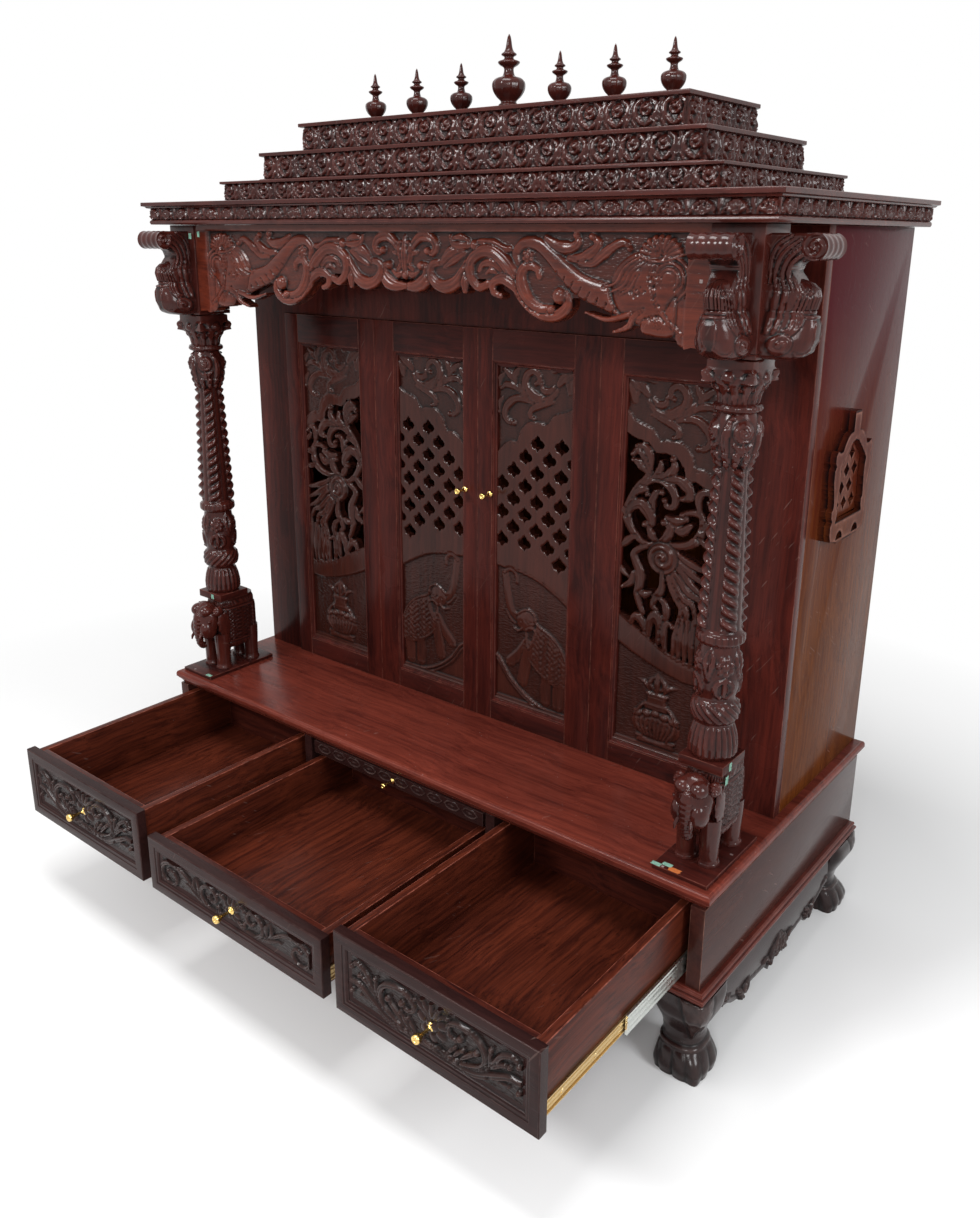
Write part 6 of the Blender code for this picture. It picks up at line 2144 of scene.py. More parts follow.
@dataclass
class Elephant:
    """Standing elephant with a netted cloth, on a plate and under a square slab."""

    side: float
    x: float = 0.681
    y: float = 0.112
    front: float = 0.015

    def build(self) -> None:
        """Model the animal, the plate and the slab."""
        tag = handed("elephant", self.side)
        for label, make in (("figure", self.figure), ("cloth", self.cloth), ("stand", self.stand)):
            mesh = mirrored(make(tag + "_" + label), self.side)
            finish = FRAME_CROSS if label == "stand" else CARVED
            to_object(mesh, finish, tag if label == "figure" else "", slot="mahogany_carved")

    def figure(self, name: str) -> bpy.types.Mesh:
        """Legs, head, trunk, ears and tusks in one mesh."""
        bm = bmesh.new()
        x, y, f = self.x, self.y, self.front

        def hide(p: Vector) -> float:
            """Soft folds of the skin."""
            return 0.012 * math.sin(9 * p.z + 5 * p.y) + 0.008 * math.sin(17 * p.x + 3 * p.z)

        def ear(p: Vector) -> float:
            """Fan ribs of an ear."""
            return 0.09 * math.cos(11 * math.atan2(p.z, p.y)) * (abs(p.x) < 0.8)

        blob(bm, (x, f + 0.040, 0.140), (0.0360, 0.0310, 0.0470), 40, 26, 0.0, hide)
        for s in (1, -1):
            blob(bm, (x + s * 0.0175, f + 0.030, 0.119), (0.0170, 0.0230, 0.0270), 26, 18, 0.25)
            blob(bm, (x + s * 0.0145, f + 0.030, 0.166), (0.0170, 0.0200, 0.0160), 24, 16)
            blob(bm, (x + s * 0.0300, f + 0.028, 0.142), (0.0040, 0.0065, 0.0040), 18, 12)
            blob(bm, (x + s * 0.0310, f + 0.028, 0.142), (0.0036, 0.0030, 0.0022), 14, 10)
            blob(bm, (x + s * 0.0330, f + 0.050, 0.164), (0.0110, 0.0145, 0.0120), 28, 18, 0.0, ear)
            blob(bm, (x + s * 0.0385, f + 0.064, 0.128), (0.0048, 0.0190, 0.0330), 30, 18, 0.15,
                 ear)
            swept(bm, [(x + s * 0.0120, f + 0.012, 0.112, 0.0042, 0.0042),
                       (x + s * 0.0150, f + 0.005, 0.101, 0.0034, 0.0034),
                       (x + s * 0.0150, f + 0.003, 0.093, 0.0014, 0.0014)], 12)

        def rings(a: float, t: float) -> float:
            """Rings of the trunk."""
            return 0.055 * math.cos(t * math.tau * 15)

        swept(bm, [(x, f + 0.028, 0.166, 0.0140, 0.0120), (x, f + 0.016, 0.150, 0.0140, 0.0120),
                   (x, f + 0.0135, 0.126, 0.0130, 0.0115), (x, f + 0.0135, 0.102, 0.0110, 0.0100),
                   (x, f + 0.016, 0.084, 0.0095, 0.0085), (x, f + 0.022, 0.074, 0.0085, 0.0080),
                   (x, f + 0.030, 0.074, 0.0075, 0.0070)], 28, rings, 12)
        for dx in (-0.0225, 0.0225):
            for n, yy in enumerate((y - 0.030, y + 0.056)):
                def bands(a: float, t: float, n: int = n) -> float:
                    """Striped band down the front leg and toes at the foot."""
                    toes = 0.07 * abs(math.sin(4 * a)) if t > 0.88 else 0.0
                    strip = math.sin(a) < -0.35 and 0.12 < t < 0.86
                    wave = 0.050 * math.cos(t * math.tau * 11) - 0.02
                    return toes + (wave if n == 0 and strip else 0.0)

                swept(bm, [(x + dx, yy, 0.100, 0.0190, 0.0210), (x + dx, yy, 0.070, 0.0185, 0.0200),
                           (x + dx, yy, 0.040, 0.0170, 0.0180), (x + dx, yy, 0.020, 0.0170, 0.0180),
                           (x + dx, yy, 0.0096, 0.0190, 0.0200)], 32, bands, 14)
        return finish_bm(bm, name)

    def cloth(self, name: str) -> bpy.types.Mesh:
        """Body under its netted cloth, carved in one wrapped relief."""
        turn = 0.300
        field = Relief(0.0, turn, 0.058, 0.1884, 0.0021)
        uu, vv = field.grid()
        net = np.maximum(np.abs(np.cos(uu * 270 + vv * 330)), np.abs(np.cos(uu * 270 - vv * 330)))
        inside = smooth01((vv - 0.078) / 0.002) * smooth01((0.160 - vv) / 0.002)
        field.high += inside * (net ** 7) * 0.0022
        boss = np.abs(np.sin(uu * 270) * np.sin(vv * 330))
        field.high += inside * smooth01((boss - 0.72) / 0.2) * 0.0016
        for v, high in ((0.0760, 0.0034), (0.0695, 0.0022), (0.1615, 0.0034), (0.1680, 0.0022)):
            field.stroke([(-0.005, v), (turn + 0.005, v)], 0.0046, high, FLAT, 0)
        for k in range(44):
            u = (k + 0.5) * turn / 44
            field.stroke([(u, 0.0680), (u, 0.0600)], 0.0048, 0.0024, (1, 1, 0.6), 0, sink=0.0008)
            field.stroke([(u, 0.1690), (u + 0.003, 0.1790)], 0.0052, 0.0024, (1, 1, 0.7), 0,
                         sink=0.0008)
        for k in range(-1, 5):
            for s in (-1, 1):
                u = (k + 0.5) * turn / 4 + s * 0.0115
                field.stroke([(u, 0.075), (u, 0.162)], 0.0040, 0.0036, FLAT, 0)
        field.high[:, 0] = field.high[:, -1]
        share = np.asarray(((0.050, 0.86), (0.066, 0.95), (0.080, 1.0), (0.150, 1.0), (0.170, 0.96),
                            (0.190, 0.93)))

        def place(u: np.ndarray, v: np.ndarray, out: np.ndarray) -> np.ndarray:
            """Points on a rounded block."""
            ang = u / turn * math.tau - math.pi / 2
            c, s = np.cos(ang), np.sin(ang)
            scale = np.interp(v, share[:, 0], share[:, 1])
            rx = 0.0385 * scale * np.sign(c) * np.abs(c) ** 0.62 + out * c
            ry = 0.0570 * scale * np.sign(s) * np.abs(s) ** 0.62 + out * s
            return np.stack([self.x + rx, self.y + 0.019 + ry + SHIFT_Y, v + FLOOR_TO_TOP], -1)

        mesh = field.mesh(name, place, 0.0, cut=False, back=False)
        close_tube(mesh)
        return mesh

    def stand(self, name: str) -> bpy.types.Mesh:
        """Plate under the feet and slab on the back, with small chamfers."""
        blocks = [(world(0.6285, 0.0155, 0.0004), world(0.7355, 0.2135, 0.0088)),
                  (world(self.x - 0.0423, self.y - 0.0423, 0.1885),
                   world(self.x + 0.0423, self.y + 0.0423,
                                                                         0.2058))]
        return rounded_blocks(name, blocks, 0.0011)


BIRD_FACE = """
6 956, 12 940, 10 920, 4 906: w4.6 h2 t0.5/1/0.3 v0 s1
5 906, 15 898, 30 896, 42 901: w5.5 h2.4 t0.5/1/0.5 v0 s1.2
27 986: r4.2 h4.4
18 980, 27 993, 36 985: w3 h3.4 t0.6/1/0.6 v0
"""


class Way(Enum):
    """Face of the post that a bracket stands on."""

    FRONT = "front"
    SIDE = "side"


@dataclass
class BirdBracket:
    """Scrolled arm with a bird's head and breast, on the front and on the outer side of a post."""

    side: float
    mid_x: float = 0.681
    mid_y: float = 0.112
    face_y: float = 0.068
    face_x: float = 0.725

    def build(self) -> None:
        """Post, its mouldings and both brackets."""
        tag = handed("post", self.side)
        to_object(mirrored(self.post(tag + "_block"), self.side), CARVED, tag)
        for way in Way:
            for mesh in self.bracket(f"{tag}_bird_{way.value}", way):
                to_object(mirrored(mesh, self.side), CARVED)

    def post(self, name: str) -> bpy.types.Mesh:
        """Square post with a small base moulding."""
        blocks = [(world(0.6372, 0.0685, 0.8960), world(0.7245, 0.1555, 1.0836)),
                  (world(0.6372, 0.0685, 0.8874), world(0.7245, 0.1555, 0.8956))]
        return rounded_blocks(name, blocks, 0.0016)

    def at(self, way: Way, u: float, w: float, z: float) -> Vector:
        """Point u out of the post face and w across it."""
        if way is Way.SIDE:
            return world(self.face_x + u, self.mid_y + w, z)
        return world(self.mid_x + w, self.face_y - u, z)

    def roll(self, bm: bmesh.types.BMesh, way: Way, u: float, z: float, r: float,
             half: float) -> None:
        """Rolled scroll: a grooved cylinder with a spiral cut in both ends."""
        steps, rows, turns = 40, 17, 1.75
        rings = []
        for k in range(rows):
            w = half * (2 * k / (rows - 1) - 1)
            wave = 1 + 0.045 * math.cos(math.tau * 4 * k / (rows - 1))
            rings.append([bm.verts.new(self.at(way, u + r * wave * math.cos(a), w,
                                               z + r * wave * math.sin(a)))
                          for a in (math.tau * i / steps for i in range(steps))])
        for a, b in zip(rings, rings[1:]):
            for i in range(steps):
                bm.faces.new((a[i], a[(i + 1) % steps], b[(i + 1) % steps], b[i]))
        for ring, sign in ((rings[0], -1), (rings[-1], 1)):
            last = ring
            for j in range(1, 10):
                share = 1 - j / 10
                cur = []
                for i in range(steps):
                    a = math.tau * i / steps
                    phase = math.cos(turns * math.tau * share + a)
                    lift = sign * 0.0022 * phase * (1 if share > 0.12 else 0.3)
                    w = sign * half + lift
                    cur.append(bm.verts.new(self.at(way, u + r * share * math.cos(a), w,
                                                    z + r * share * math.sin(a))))
                for i in range(steps):
                    bm.faces.new((last[i], last[(i + 1) % steps], cur[(i + 1) % steps], cur[i]))
                last = cur
            mid = bm.verts.new(self.at(way, u, sign * (half + 0.001), z))
            for i in range(steps):
                bm.faces.new((last[i], last[(i + 1) % steps], mid))

    def spot(self, way: Way, u: np.ndarray, w: np.ndarray, z: np.ndarray) -> np.ndarray:
        """Points u out of the post face and w across it, from arrays."""
        if way is Way.SIDE:
            return np.stack([self.face_x + u, self.mid_y + w + SHIFT_Y, z + FLOOR_TO_TOP], -1)
        return np.stack([self.mid_x + w, self.face_y - u + SHIFT_Y, z + FLOOR_TO_TOP], -1)

    def web(self, name: str, way: Way, sign: float) -> bpy.types.Mesh:
        """Half of the fluted arm between the post, the roll and the head."""
        field = Relief(-0.003, 0.076, 0.984, 1.0705, 0.0015, inside=-1.0)
        shape = spline(points("-20 975, 30 975, 52 986, 44 1004, 34 1018, 42 1030, 60 1036, "
                              "68 1050, 66 1066, 40 1072, -20 1074"), 5)
        uu, vv = field.grid()
        field.edge = polygon_distance(uu, vv, shape)
        field.high += 0.0030 * smooth01(field.edge / 0.006)
        field.free[:] = 0.0
        for flute, w in (("38 992, 30 1012, 36 1030, 56 1044", 0.0075),
                         ("26 990, 21 1014, 30 1036, 50 1052", 0.0080),
                         ("13 990, 10 1016, 20 1042, 44 1061", 0.0080),
                         ("3 1000, 2 1030, 10 1052, 30 1067", 0.0070)):
            field.stroke(points(flute), w, 0.0026, (0.7, 1.0, 0.6), 1, base=0.0030, sink=0.0016)

        def place(u: np.ndarray, v: np.ndarray, out: np.ndarray) -> np.ndarray:
            """Points of one half."""
            return self.spot(way, u, sign * (0.0200 + out), v)

        mesh = field.mesh(name, place, 0.0200)
        tidy(mesh, 60.0, 0.0)
        return mesh

    def bird(self, name: str, way: Way) -> bpy.types.Mesh:
        """Head with a fluted cap, banded neck, two smooth breast lobes and side volutes."""
        reach, low_end, high_end = 0.088, 0.8872, 1.0060
        field = Relief(-reach, reach, low_end, high_end, 0.0020)
        uu, vv = field.grid()
        low = smooth01((0.958 - vv) / 0.004)
        field.high -= low * 0.0046 * np.exp(-(uu / 0.0085) ** 2)
        field.high += 0.0016 * smooth01((vv - 0.9605) / 0.002)
        field.free[:] = 0.0
        for s in (1, -1):
            for k in range(3):
                d = 0.0085 * k
                field.stroke([(s * (0.030 + d), 0.990 - 0.3 * d),
                              (s * (0.036 + d), 0.965 - 0.5 * d),
                              (s * (0.046 + 0.8 * d), 0.940 - 0.2 * d),
                              (s * (0.060 + 0.3 * d), 0.924 + 0.5 * d)], 0.0072, 0.0036,
                             (0.5, 1.0, 0.6), 1,
                             sink=0.0016)
            for k in range(1, 3):
                d = 0.0095 * k
                field.stroke([(s * (0.058 + d), 1.003), (s * (0.060 + d), 0.975),
                              (s * (0.064 + 0.9 * d), 0.950), (s * (0.070 + 0.7 * d), 0.929)],
                             0.0080, 0.0038,
                             (0.7, 1.0, 0.6), 1, sink=0.0016)
            field.ball((s * 0.0660, 0.9110), 0.0165, 0.0052, turns=1.7 * s)
            field.carve(BIRD_FACE, s)
        for k in range(-2, 3):
            field.stroke([(0.0085 * k, 0.9640), (0.0080 * k, 0.9820), (0.0060 * k, 1.0020)], 0.0072,
                         0.0036,
                         (0.8, 1.0, 0.8), 0, sink=0.0014)
        for v in (0.9590, 0.9530):
            field.stroke([(-0.034, v), (0.034, v)], 0.0036, 0.0036, (0.8, 1, 0.8), 0, sink=0.0012)
        deep = np.asarray(points(
            "887.2 30, 889 46, 893 58, 902 68, 920 76, 940 77, 952 73, 958 66, 964 68, 980 72, "
            "992 69, 1000 60, 1006 44"))
        half = np.asarray(points(
            "887.2 18, 889 26, 893 32, 902 36.5, 915 38, 935 34.5, 950 29, 960 23.5, 972 25, "
            "988 24.5, 1000 19.5, 1006 12"))

        def place(u: np.ndarray, v: np.ndarray, out: np.ndarray) -> np.ndarray:
            """Points on the rounded front."""
            ang = u / reach * math.pi / 2
            c, s = np.cos(ang), np.sin(ang)
            d = np.interp(v, deep[:, 0], deep[:, 1])
            w = np.interp(v, half[:, 0], half[:, 1])
            return self.spot(way, d * np.abs(c) ** 0.80 - 0.002 + out * c,
                             w * np.sign(s) * np.abs(s) ** 0.72 + out * s, v)

        mesh = field.mesh(name, place, 0.0, cut=False, back=False)
        with editing(mesh, 65.0) as bm:
            for level in (low_end, high_end):
                rim = [e for e in bm.edges if len(e.link_faces) == 1
                       and all(abs(v.co.z - FLOOR_TO_TOP - level) < 1e-5 for v in e.verts)]
                ends = {v for e in rim for v in e.verts}
                mid = bm.verts.new(sum((v.co for v in ends), Vector()) / len(ends))
                for e in rim:
                    bm.faces.new((e.verts[0], e.verts[1], mid))
        centre = world(self.mid_x, self.mid_y, 0.947)
        if sum(p.normal.dot(p.center - centre) * p.area for p in mesh.polygons) < 0:
            mesh.flip_normals()
        return mesh

    def bracket(self, name: str, way: Way) -> list[bpy.types.Mesh]:
        """Meshes of one bracket: its roll, the two halves of the arm and the bird."""
        bm = bmesh.new()
        self.roll(bm, way, 0.0715, 1.0515, 0.0185, 0.0360)
        return [finish_bm(bm, name + "_roll", 50.0), self.web(name + "_arm_a", way, 1.0),
                self.web(name + "_arm_b", way, -1.0), self.bird(name, way)]


# Roof

class Motif(Enum):
    """Repeated carving along a roof band."""

    FAN = "fan"
    ROSETTE = "rosette"


def band_field(length: float, low: float, high: float, motif: Motif, pitch: float) -> Relief:
    """Carved strip with one motif repeated along it.

    Args:
        length: strip length, centred on 0.
        low: lower edge.
        high: upper edge.
        motif: what is carved.
        pitch: distance from one to the next.

    Returns:
        The carved field.
    """
    field = Relief(-length / 2, length / 2, low, high, 0.0026)
    count = int(length / pitch / 2) + 1
    tall = high - low
    for k in range(-count, count + 1):
        u = k * pitch
        v = u + pitch / 2
        if motif is Motif.FAN:
            base = low + 0.001
            arc = [(u + 0.0195 * math.cos(a), base + 0.80 * tall * math.sin(a))
                   for a in np.linspace(0.05, math.pi - 0.05, 7)]
            field.stroke(arc, 0.0046, 0.0056, (1.0, 1.0, 1.0), 0, sink=0.0016)
            for j in range(-2, 3):
                a = math.radians(90 + 30 * j)
                tip = (u + 0.0150 * math.cos(a), base + 0.62 * tall * math.sin(a))
                field.stroke([(u, base), (0.5 * (u + tip[0]), 0.5 * (base + tip[1])), tip], 0.0066,
                             0.0056,
                             (0.3, 0.9, 1.0), 0, sink=0.0012)
            field.ball((u, base), 0.0050, 0.0062)
            field.stroke([(v, high), (v, low + 0.5 * tall), (v, low + 0.10 * tall)], 0.0085, 0.0046,
                         (1.0, 0.8, 0.2), 1, sink=0.0012)
            continue
        for s in (1, -1):
            field.stroke([(u + s * 0.0090, high - 0.0005), (u + s * 0.0205, low + 0.78 * tall),
                          (u + s * 0.0210, low + 0.48 * tall), (u + s * 0.0130, low + 0.20 * tall),
                          (u + s * 0.0020, low + 0.02 * tall)], 0.0118, 0.0066, (0.7, 1.0, 0.3), 1,
                         sink=0.0020)
            field.stroke([(u + s * 0.0005, low + 0.03 * tall), (u + s * 0.0085, low + 0.16 * tall),
                          (u + s * 0.0120, low + 0.34 * tall)], 0.0085, 0.0066, (0.5, 1.0, 0.6), 1,
                         sink=0.0012)
            field.stroke([(v, low + 0.50 * tall), (v + s * 0.0050, low + 0.26 * tall),
                          (v + s * 0.0110, low + 0.02 * tall)], 0.0080, 0.0052, (0.4, 1.0, 0.7), 1)
        field.ball((u, low + 0.64 * tall), 0.0135, 0.0080, turns=1.3)
        field.ball((u, low + 0.66 * tall), 0.0048, 0.0105)
        field.stroke([(v - 0.0015, low + 0.34 * tall), (v + 0.0010, low + 0.66 * tall), (v, high)],
                     0.0090, 0.0048, (0.4, 1.0, 0.9), 1)
    return field


def strip_placer(facing: Facing, edge: float, middle: float, lean: float = 0.0,
                 top: float = 0.0) -> Callable:
    """Placer for a board on the front or on an end.

    Args:
        facing: which way it looks.
        edge: place of its ground out of the middle.
        middle: its middle in depth, for an end.
        lean: how far it comes out for each metre below its top.
        top: height where the lean starts.
    """
    def place(u: np.ndarray, v: np.ndarray, out: np.ndarray) -> np.ndarray:
        """Points of the board."""
        out = out + lean * (top - v)
        z = v + FLOOR_TO_TOP
        if facing is Facing.FRONT:
            return np.stack([u, edge + SHIFT_Y - out, z], -1)
        if facing is Facing.RIGHT:
            return np.stack([edge + out, middle + u + SHIFT_Y, z], -1)
        return np.stack([-(edge + out), middle - u + SHIFT_Y, z], -1)
    return place


ROOF_TOP = 1.300
TOP_STEP = (-0.4856, 0.4856, 0.256, 0.528)


@dataclass
class RoofStep:
    """One step of the roof: moulded slab with a carved band on the front and both ends."""

    node: str
    motif: Motif
    pitch: float
    profile: Sequence[tuple[float, float]]
    band: tuple[float, float, float]

    def build(self) -> None:
        """Slab and bands; the band is (low, high, inset), heights over the node's lower face."""
        x0, x1, y0, y1, z0, z1 = cad_rect(self.node)
        if self.node == "tier_3":
            x0, x1, y0, y1 = TOP_STEP
            z1 = ROOF_TOP
        rows = [(inset, z - z0) for inset, z in self.levels(z0, z1)]
        mesh = self.slab(self.node + "_slab", (x0, x1, y0, y1), eased(rows, 0.0007), z0)
        to_object(mesh, BOARD_ROOF, self.node)
        low, high, inset = self.band
        mid, deep = (y0 + y1) / 2 + inset / 2, y1 - y0 - inset
        wide = x1 - x0 - 2 * inset
        for facing, length, edge, middle in ((Facing.FRONT, wide, y0 + inset, 0.0),
                                             (Facing.RIGHT, deep, x1 - inset, mid),
                                             (Facing.LEFT, deep, x1 - inset, mid)):
            field = band_field(length, z0 + low, z0 + high, self.motif, self.pitch)
            name = f"{self.node}_band_{facing.value}"
            mesh = field.mesh(name, strip_placer(facing, edge, middle, 0.11, z0 + high), 0.006,
                              cut=False)
            tidy(mesh, 60.0, 0.0)
            to_object(mesh, CARVED)

    def levels(self, z0: float, z1: float) -> list[tuple[float, float]]:
        """Profile points as (inset, height)."""
        return [(inset, z0 + share * (z1 - z0)) for inset, share in self.profile]

    def slab(self, name: str, rect: tuple, rows: Sequence[tuple], z: float) -> bpy.types.Mesh:
        """Moulded slab whose back stays flat."""
        a, b, c, d = rect
        rings, values = [], []
        for inset, high, value in rows:
            pts = [(a + inset, c + inset), (b - inset, c + inset), (b - inset, d), (a + inset, d)]
            rings.append(np.array([(u, v + SHIFT_Y, z + high + FLOOR_TO_TOP) for u, v in pts]))
            values += [value] * 4
        mesh = ring_mesh(name, rings, relief=np.array(values, float))
        tidy(mesh, 38.0)
        return mesh


CORNICE_PROFILE = points(
    "60 0, 14 0, 12 90, 13 170, 17 240, 17 700, 8.5 740, 6 800, 0 830, 0 985, 1.5 1000, "
    "100 1000")
TIER_PROFILE = points(
    "100 0, 0 0, -2 30, -0.5 90, 11 130, 11 840, 4.5 860, 0 885, 0 990, 1 1000, 100 1000")


FINIAL_SHAPE = points(
    "680 20, 640 50, 500 65, 460 90, 580 105, 600 125, 500 145, 480 170, 720 220, 930 "
    "290, 1000 360, 950 415, 740 455, 440 475, 340 500, 290 545, 310 585, 500 610, 630 "
    "635, 640 660, 400 680, 280 700, 300 720, 430 735, 450 755, 300 780, 200 830, 150 "
    "900, 90 965, 0 1000")


@dataclass
class Finial:
    """Turned pot finial: base ring, lobed pot, neck, cup disc and pointed tip."""

    index: int
    big: bool = False
    pitch: float = 0.1255
    y: float = 0.392
    z: float = ROOF_TOP

    def build(self) -> None:
        """Turn it."""
        t, w = (0.150, 0.034) if self.big else (0.108, 0.0235)
        shape = [(0.0, -0.003), (0.66 * w, -0.003)] + [(a * w, b * t) for a, b in FINIAL_SHAPE]
        line = spline(np.asarray(shape), 2)
        line[:, 0] = np.clip(line[:, 0], 0.0, 1.0 * w)
        line[:, 1] = np.clip(line[:, 1], -0.003, t)

        def lobes(ang: np.ndarray, h: float) -> np.ndarray:
            """Shallow lobes round the pot."""
            share = smooth01(np.array((h / t - 0.16) / 0.08))
            share = share * smooth01(np.array((0.47 - h / t) / 0.06))
            return -0.055 * w * float(share) * (1 - np.abs(np.sin(ang * 6)) ** 0.5)

        centre = Vector((self.index * self.pitch, self.y + SHIFT_Y, self.z + FLOOR_TO_TOP))
        rings = turned([(a, b) for a, b in line], centre, 36, lobes)
        name = "finial_%d" % (self.index + 4)
        mesh = ring_mesh(name, rings, cap=False)
        tidy(mesh, 50.0)
        to_object(mesh, CARVED)


@dataclass
class Roof:
    """Cornice, three tiers and the finials."""

    def build(self) -> None:
        """Build from below."""
        RoofStep("cornice", Motif.FAN, 0.0530, CORNICE_PROFILE, (0.0112, 0.0335, 0.0165)).build()
        for node, pitch, low, high in (("tier_1", 0.0590, 0.0055, 0.0380),
                                       ("tier_2", 0.0590, 0.0075, 0.0520),
                                       ("tier_3", 0.0570, 0.0075, 0.0525)):
            RoofStep(node, Motif.ROSETTE, pitch, TIER_PROFILE, (low, high, 0.0105)).build()
        for k in range(-3, 4):
            Finial(k, k == 0).build()


# Feet and aprons

FOOT_SHAPE = ((1.00, 0.000, 1.00, 7.0), (0.90, 0.004, 1.03, 5.0), (0.78, 0.006, 0.99, 3.6),
              (0.64, 0.002, 0.85, 2.8), (0.52, -0.003, 0.75, 2.4), (0.40, -0.005, 0.71, 2.2),
              (0.31, -0.002, 0.75, 2.6), (0.22, 0.003, 0.85, 3.4), (0.10, 0.006, 0.92, 4.5),
              (0.00, 0.006, 0.84, 5.0))


@dataclass
class PawFoot:
    """Cabriole leg with a leaf over the knee and a fluted paw."""

    node: str
    side: float
    back: bool
    knee: float = 0.055
    steps: int = 80
    rows: int = 84

    def build(self) -> None:
        """Loft the leg with its carving in the radius."""
        edge = 0.730 if self.back else -0.005
        cy_in = -1.0 if self.back else 1.0
        cx, cy = 0.755 - self.knee, edge + cy_in * self.knee
        table = np.asarray(FOOT_SHAPE)[::-1]
        top = FLOOR_TO_TOP + CASE_LOW
        share = np.linspace(0, 1, self.rows)
        out, half, square = (np.interp(share, table[:, 0], table[:, k]) for k in (1, 2, 3))
        out, half = blur(out[None, :], 2.0)[0], blur(half[None, :], 2.0)[0]
        ang = np.arange(self.steps) * math.tau / self.steps
        rings, values = [], []
        for k in range(self.rows):
            c, s = np.cos(ang), np.sin(ang)
            n = square[k]
            r = half[k] * self.knee / (np.abs(c) ** n + np.abs(s) ** n) ** (1 / n)
            carve_r = self.carving(ang, share[k])
            r = r - 0.0012 + carve_r
            x = self.side * (cx + out[k] + r * c)
            y = cy - cy_in * (out[k] + r * s)
            rings.append(np.stack([x, y + SHIFT_Y, np.full(self.steps, top * share[k])], -1))
            # The carving is stored as relief values: raised parts are painted lighter as wear with
            # a highlight, sunk parts dark as painted shade.
            values.append(np.clip(carve_r / 0.0022, -1, 1))
        mesh = ring_mesh(self.node + "_leg", rings, relief=np.concatenate(values))
        tidy(mesh, 55.0)
        to_object(mesh, FOOT, self.node)

    def carving(self, ang: np.ndarray, share: float) -> np.ndarray:
        """Height of the carving at one level; the outer corner lies at 45 degrees."""
        away = (ang - math.pi / 4 + math.pi) % math.tau - math.pi
        out = np.zeros_like(ang)
        paw = float(smooth01(np.array((0.30 - share) / 0.05)))
        toes = np.abs(np.cos(away * 5.5)) ** 0.45 - 0.72
        out += paw * toes * 0.0050 * (1.0 - 0.5 * share / 0.3)
        claw = float(smooth01(np.array((0.07 - share) / 0.05)))
        out += claw * 0.0020 * np.exp(-(away / 0.10) ** 2)
        ring = math.exp(-((share - 0.315) / 0.016) ** 2)
        out += ring * 0.0026 - 0.0020 * math.exp(-((share - 0.345) / 0.012) ** 2)
        if 0.42 < share < 0.99:
            width = 0.95 * (share - 0.40) ** 0.75
            inside = smooth01((width - np.abs(away)) / 0.10)
            rim = np.exp(-((np.abs(away) - width) / 0.07) ** 2)
            veins = np.abs(np.sin(away * 8 + 7 * share)) ** 0.5 - 0.5
            out += inside * (0.0014 + 0.0026 * veins * (share > 0.5)) - rim * 0.0018
            out += 0.0026 * np.exp(-(away / 0.055) ** 2)
        return out


APRON_EDGE = points(
    "0 116, 40 110, 90 124, 150 129, 200 116, 360 112, 500 108, 560 119, 640 125, 710 112, "
    "820 100, 920 84, 1000 77")


APRON_LEAVES = """
16 -92, 40 -82, 66 -86, 86 -101, 90 -115: w13.5 h5.5 b6
22 -103, 46 -98, 66 -106, 74 -118: w11.5 h5
100 -112, 122 -100, 146 -94, 176 -96: w10 h4.5
345 -88, 372 -92, 396 -104, 410 -116: w13 h5.2 b6
340 -98, 362 -104, 378 -113: w10.5 h4.6
474 -88, 448 -92, 428 -104, 416 -117: w13 h5.2
560 -72, 590 -70, 616 -64: w12 h4.5 b5
"""


@dataclass
class Apron:
    """Scalloped board under the case, with a groove along its edge and leaf clusters."""

    node: str
    half: float
    facing: Facing
    edge_at: float
    middle: float = 0.0
    thick: float = 0.020
    cell: float = 0.0031

    def build(self) -> None:
        """Carve and place it."""
        top = CASE_LOW
        field = Relief(-self.half, self.half, top - 0.132, top, self.cell, inside=-1.0)
        line = [(u * self.half, top - v) for u, v in APRON_EDGE]
        smooth = spline(np.asarray(line), 6)
        full = [tuple(p) for p in smooth]
        ring = [(-u, v) for u, v in full[::-1][:-1]] + full
        shape = ring + [(self.half + 0.02, ring[-1][1]), (self.half + 0.02, top + 0.03),
                        (-self.half - 0.02, top + 0.03), (-self.half - 0.02, ring[0][1])]
        uu, vv = field.grid()
        field.edge = polygon_distance(uu, vv, shape)
        belly = np.sin(np.clip((top - vv) / 0.115, 0, 1) * math.pi) ** 1.2 * 0.0055
        field.high = belly - 0.002 * np.exp(-((field.edge - 0.012) / 0.0016) ** 2)
        field.high += 0.0012 * smooth01((0.010 - field.edge) / 0.006)
        field.free[:] = 0.0
        scale = self.half / 0.639
        field.carve_both(APRON_LEAVES, (0.0, top), (scale, 1.0), taper=(0.4, 1.0, 0.6),
                         base=0.0045)
        for s in (1, -1, 0):
            field.stroke([(s * 0.004, top - 0.066), (s * 0.016, top - 0.086),
                          (s * 0.010, top - 0.111)],
                         0.0150, 0.0070, (0.4, 1.0, 0.5), 1, 0.0, base=0.0055)
        mesh = field.mesh(self.node + "_board", strip_placer(self.facing, self.edge_at,
                                                             self.middle),
                          self.thick - 0.0005)
        tidy(mesh, 60.0, 0.0)
        to_object(mesh, FOOT_BOARD, self.node)

# Cabinet shell, side windows and tape

@dataclass
class Shell:
    """Plain boards of the cabinet: sides with raised windows, back and front jambs."""

    def build(self) -> None:
        """Dress the boards with rounded edges."""
        for node, finish in (("cab_side_r", PANEL), ("cab_side_l", PANEL), ("cab_back", PANEL),
                             ("cab_front", FRAME)):
            to_object(bevelled(node, 0.0011), finish, node)
        SideWindow(1.0).build()
        SideWindow(-1.0).build()


